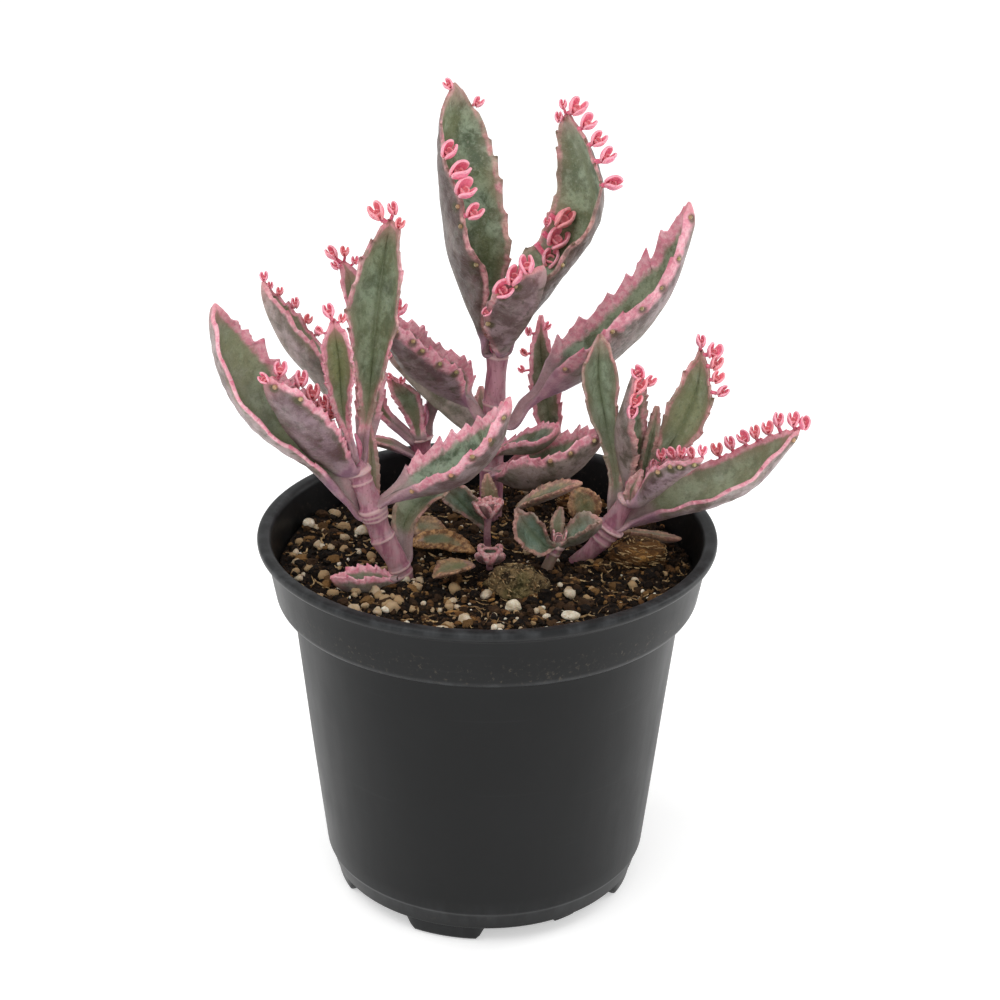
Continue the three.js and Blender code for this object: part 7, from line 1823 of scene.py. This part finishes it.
make_pot(M_POT)
make_soil(M_SOIL)
scatter(M_CRUMB, M_GRAIN, M_FIBRE, M_BARK)
make_lumps((M_MOSS, M_BARK, M_GRAIN, M_FIBRE))
make_stems(M_STEM, M_YOUNG)
make_tufts(M_ROSE)

for name, rows in {**LEAVES, **OLD_LEAVES}.items():
    rows = np.array(rows, float)
    if name in LEAF_STEM and LEAF_STEM[name][2] < 7:
        S = LEAF_STEM[name][3][:3]
        M0 = rows[0, :3]
        back = S - M0
        reach = min(1.0, 2.2 / (np.linalg.norm(back) + 1e-6))
        M1 = M0 + back * reach * 0.85
        row = np.r_[M1, M1 + (rows[0, 3:6] - M0) * 0.95, M1 + (rows[0, 6:9] - M0) * 0.95]
        if np.linalg.norm(back) > 0.8:
            rows = np.vstack([row, rows])
    part = Part()
    spots = blade(part, name, rows, STYLE.get(name, {}), BUDS.get(name, []))
    part.object(name + "_blade", [M_LEAF], node=name, slot="dry_leaf" if name.startswith("old") else "leaf_skin")
    if spots:
        buds = Part()
        for k, (p, n, o, t) in enumerate(spots):
            ovoid(buds, p + n * 0.05, n * 0.8 + o * 0.5, 0.5 + 0.12 * hash01(k, 2.2), 1.25, {"shade": 0.55 if name == "leaf_l7" and k % 2 else 0.35 * float(hash01(k, 4.4))})
        buds.object(name + "_buds", [M_BUD], node=name, slot="leaf_skin")
    if name in PLANTLETS:
        pl = Part()
        for k, p in enumerate(PLANTLETS[name]):
            A, C, dia = np.array(p[2:5]), np.array(p[5:8]), p[8]
            if name == "leaf_c2" and p[0] == "L" and p[1] < 0.6:
                step = np.array([0.0, -0.912, 0.41]) * 2.6
                A, C = A + step * 0.6, C + step
            q, _ = hermite(rows[-len(LEAVES[name]):], np.array([min(0.97, p[1])]))
            inward = unit(q[0, :3] - A + 1e-6)
            plantlet(pl, A, C, dia, inward, k + 11.0 * len(name) + sum(map(ord, name)))
        pl.object(name + "_plantlets", [M_PLANT], node=name, slot="leaf_skin")

# ------------------------------------------------------------------ floor, camera, light
fm = Net("floor_paper")
n = fm.noise(3.0, 3)
fm.set(Base_Color=fm.mix(n, srgb(236, 236, 235), srgb(240, 240, 240)), Roughness=0.95, Specular_IOR_Level=0.0)
fm.b.inputs["Emission Color"].default_value = (1, 1, 1, 1)
fm.b.inputs["Emission Strength"].default_value = FLOOR_GLOW = 0.42
me = bpy.data.meshes.new("studio_floor")
F = 9.0
me.from_pydata([(-F, -F, -0.0002), (F, -F, -0.0002), (F, F, -0.0002), (-F, F, -0.0002)], [], [(0, 1, 2, 3)])
me.materials.append(fm.m)
floor = bpy.data.objects.new("studio_floor", me)
bpy.context.scene.collection.objects.link(floor)

cam = bpy.data.cameras.new("camera")
cam.lens, cam.sensor_width, cam.sensor_fit = 77.04, 36.0, "HORIZONTAL"
cam.clip_start, cam.clip_end = 0.02, 60.0
co = bpy.data.objects.new("camera", cam)
RT, UPV, FW = Vector((0.9999166, 0.00529008, 0.01178195)), Vector((-0.01291508, 0.40957046, 0.91218707)), Vector((0.0, 0.91226315, -0.40960462))
mw = Matrix((RT, UPV, -FW)).transposed().to_4x4()
mw.translation = Vector(((2.84 + AX) / 1000, -0.45613, 0.30289))
co.matrix_world = mw
bpy.context.scene.collection.objects.link(co)
bpy.context.scene.camera = co

world = bpy.data.worlds.new("studio")
bpy.context.scene.world = world
world.use_nodes = True
world.node_tree.nodes["Background"].inputs["Color"].default_value = (1.0, 1.0, 1.0, 1)
world.node_tree.nodes["Background"].inputs["Strength"].default_value = 0.62


def softbox(name, pos, target, w, h, power, colour=(1, 1, 1)):
    li = bpy.data.lights.new(name, "AREA")
    li.shape, li.size, li.size_y, li.energy, li.color = "RECTANGLE", w, h, power, colour
    ob = bpy.data.objects.new(name, li)
    ob.location = pos
    ob.rotation_euler = (Vector(target) - Vector(pos)).to_track_quat("-Z", "Y").to_euler()
    bpy.context.scene.collection.objects.link(ob)


softbox("key_light", (-0.30, -0.35, 1.15), (0, 0, 0.1), 0.9, 0.9, 5.2)
softbox("right_light", (1.05, 0.42, 0.55), (0, 0, 0.07), 0.5, 1.1, 5.4)
softbox("left_light", (-1.05, 0.36, 0.55), (0, 0, 0.07), 0.4, 1.0, 2.4)
softbox("front_fill", (0.25, -1.35, 0.75), (0, 0, 0.12), 1.1, 0.9, 3.4)
vs = bpy.context.scene.view_settings
vs.view_transform, vs.look, vs.exposure, vs.gamma = "Standard", "None", 0.0, 1.0
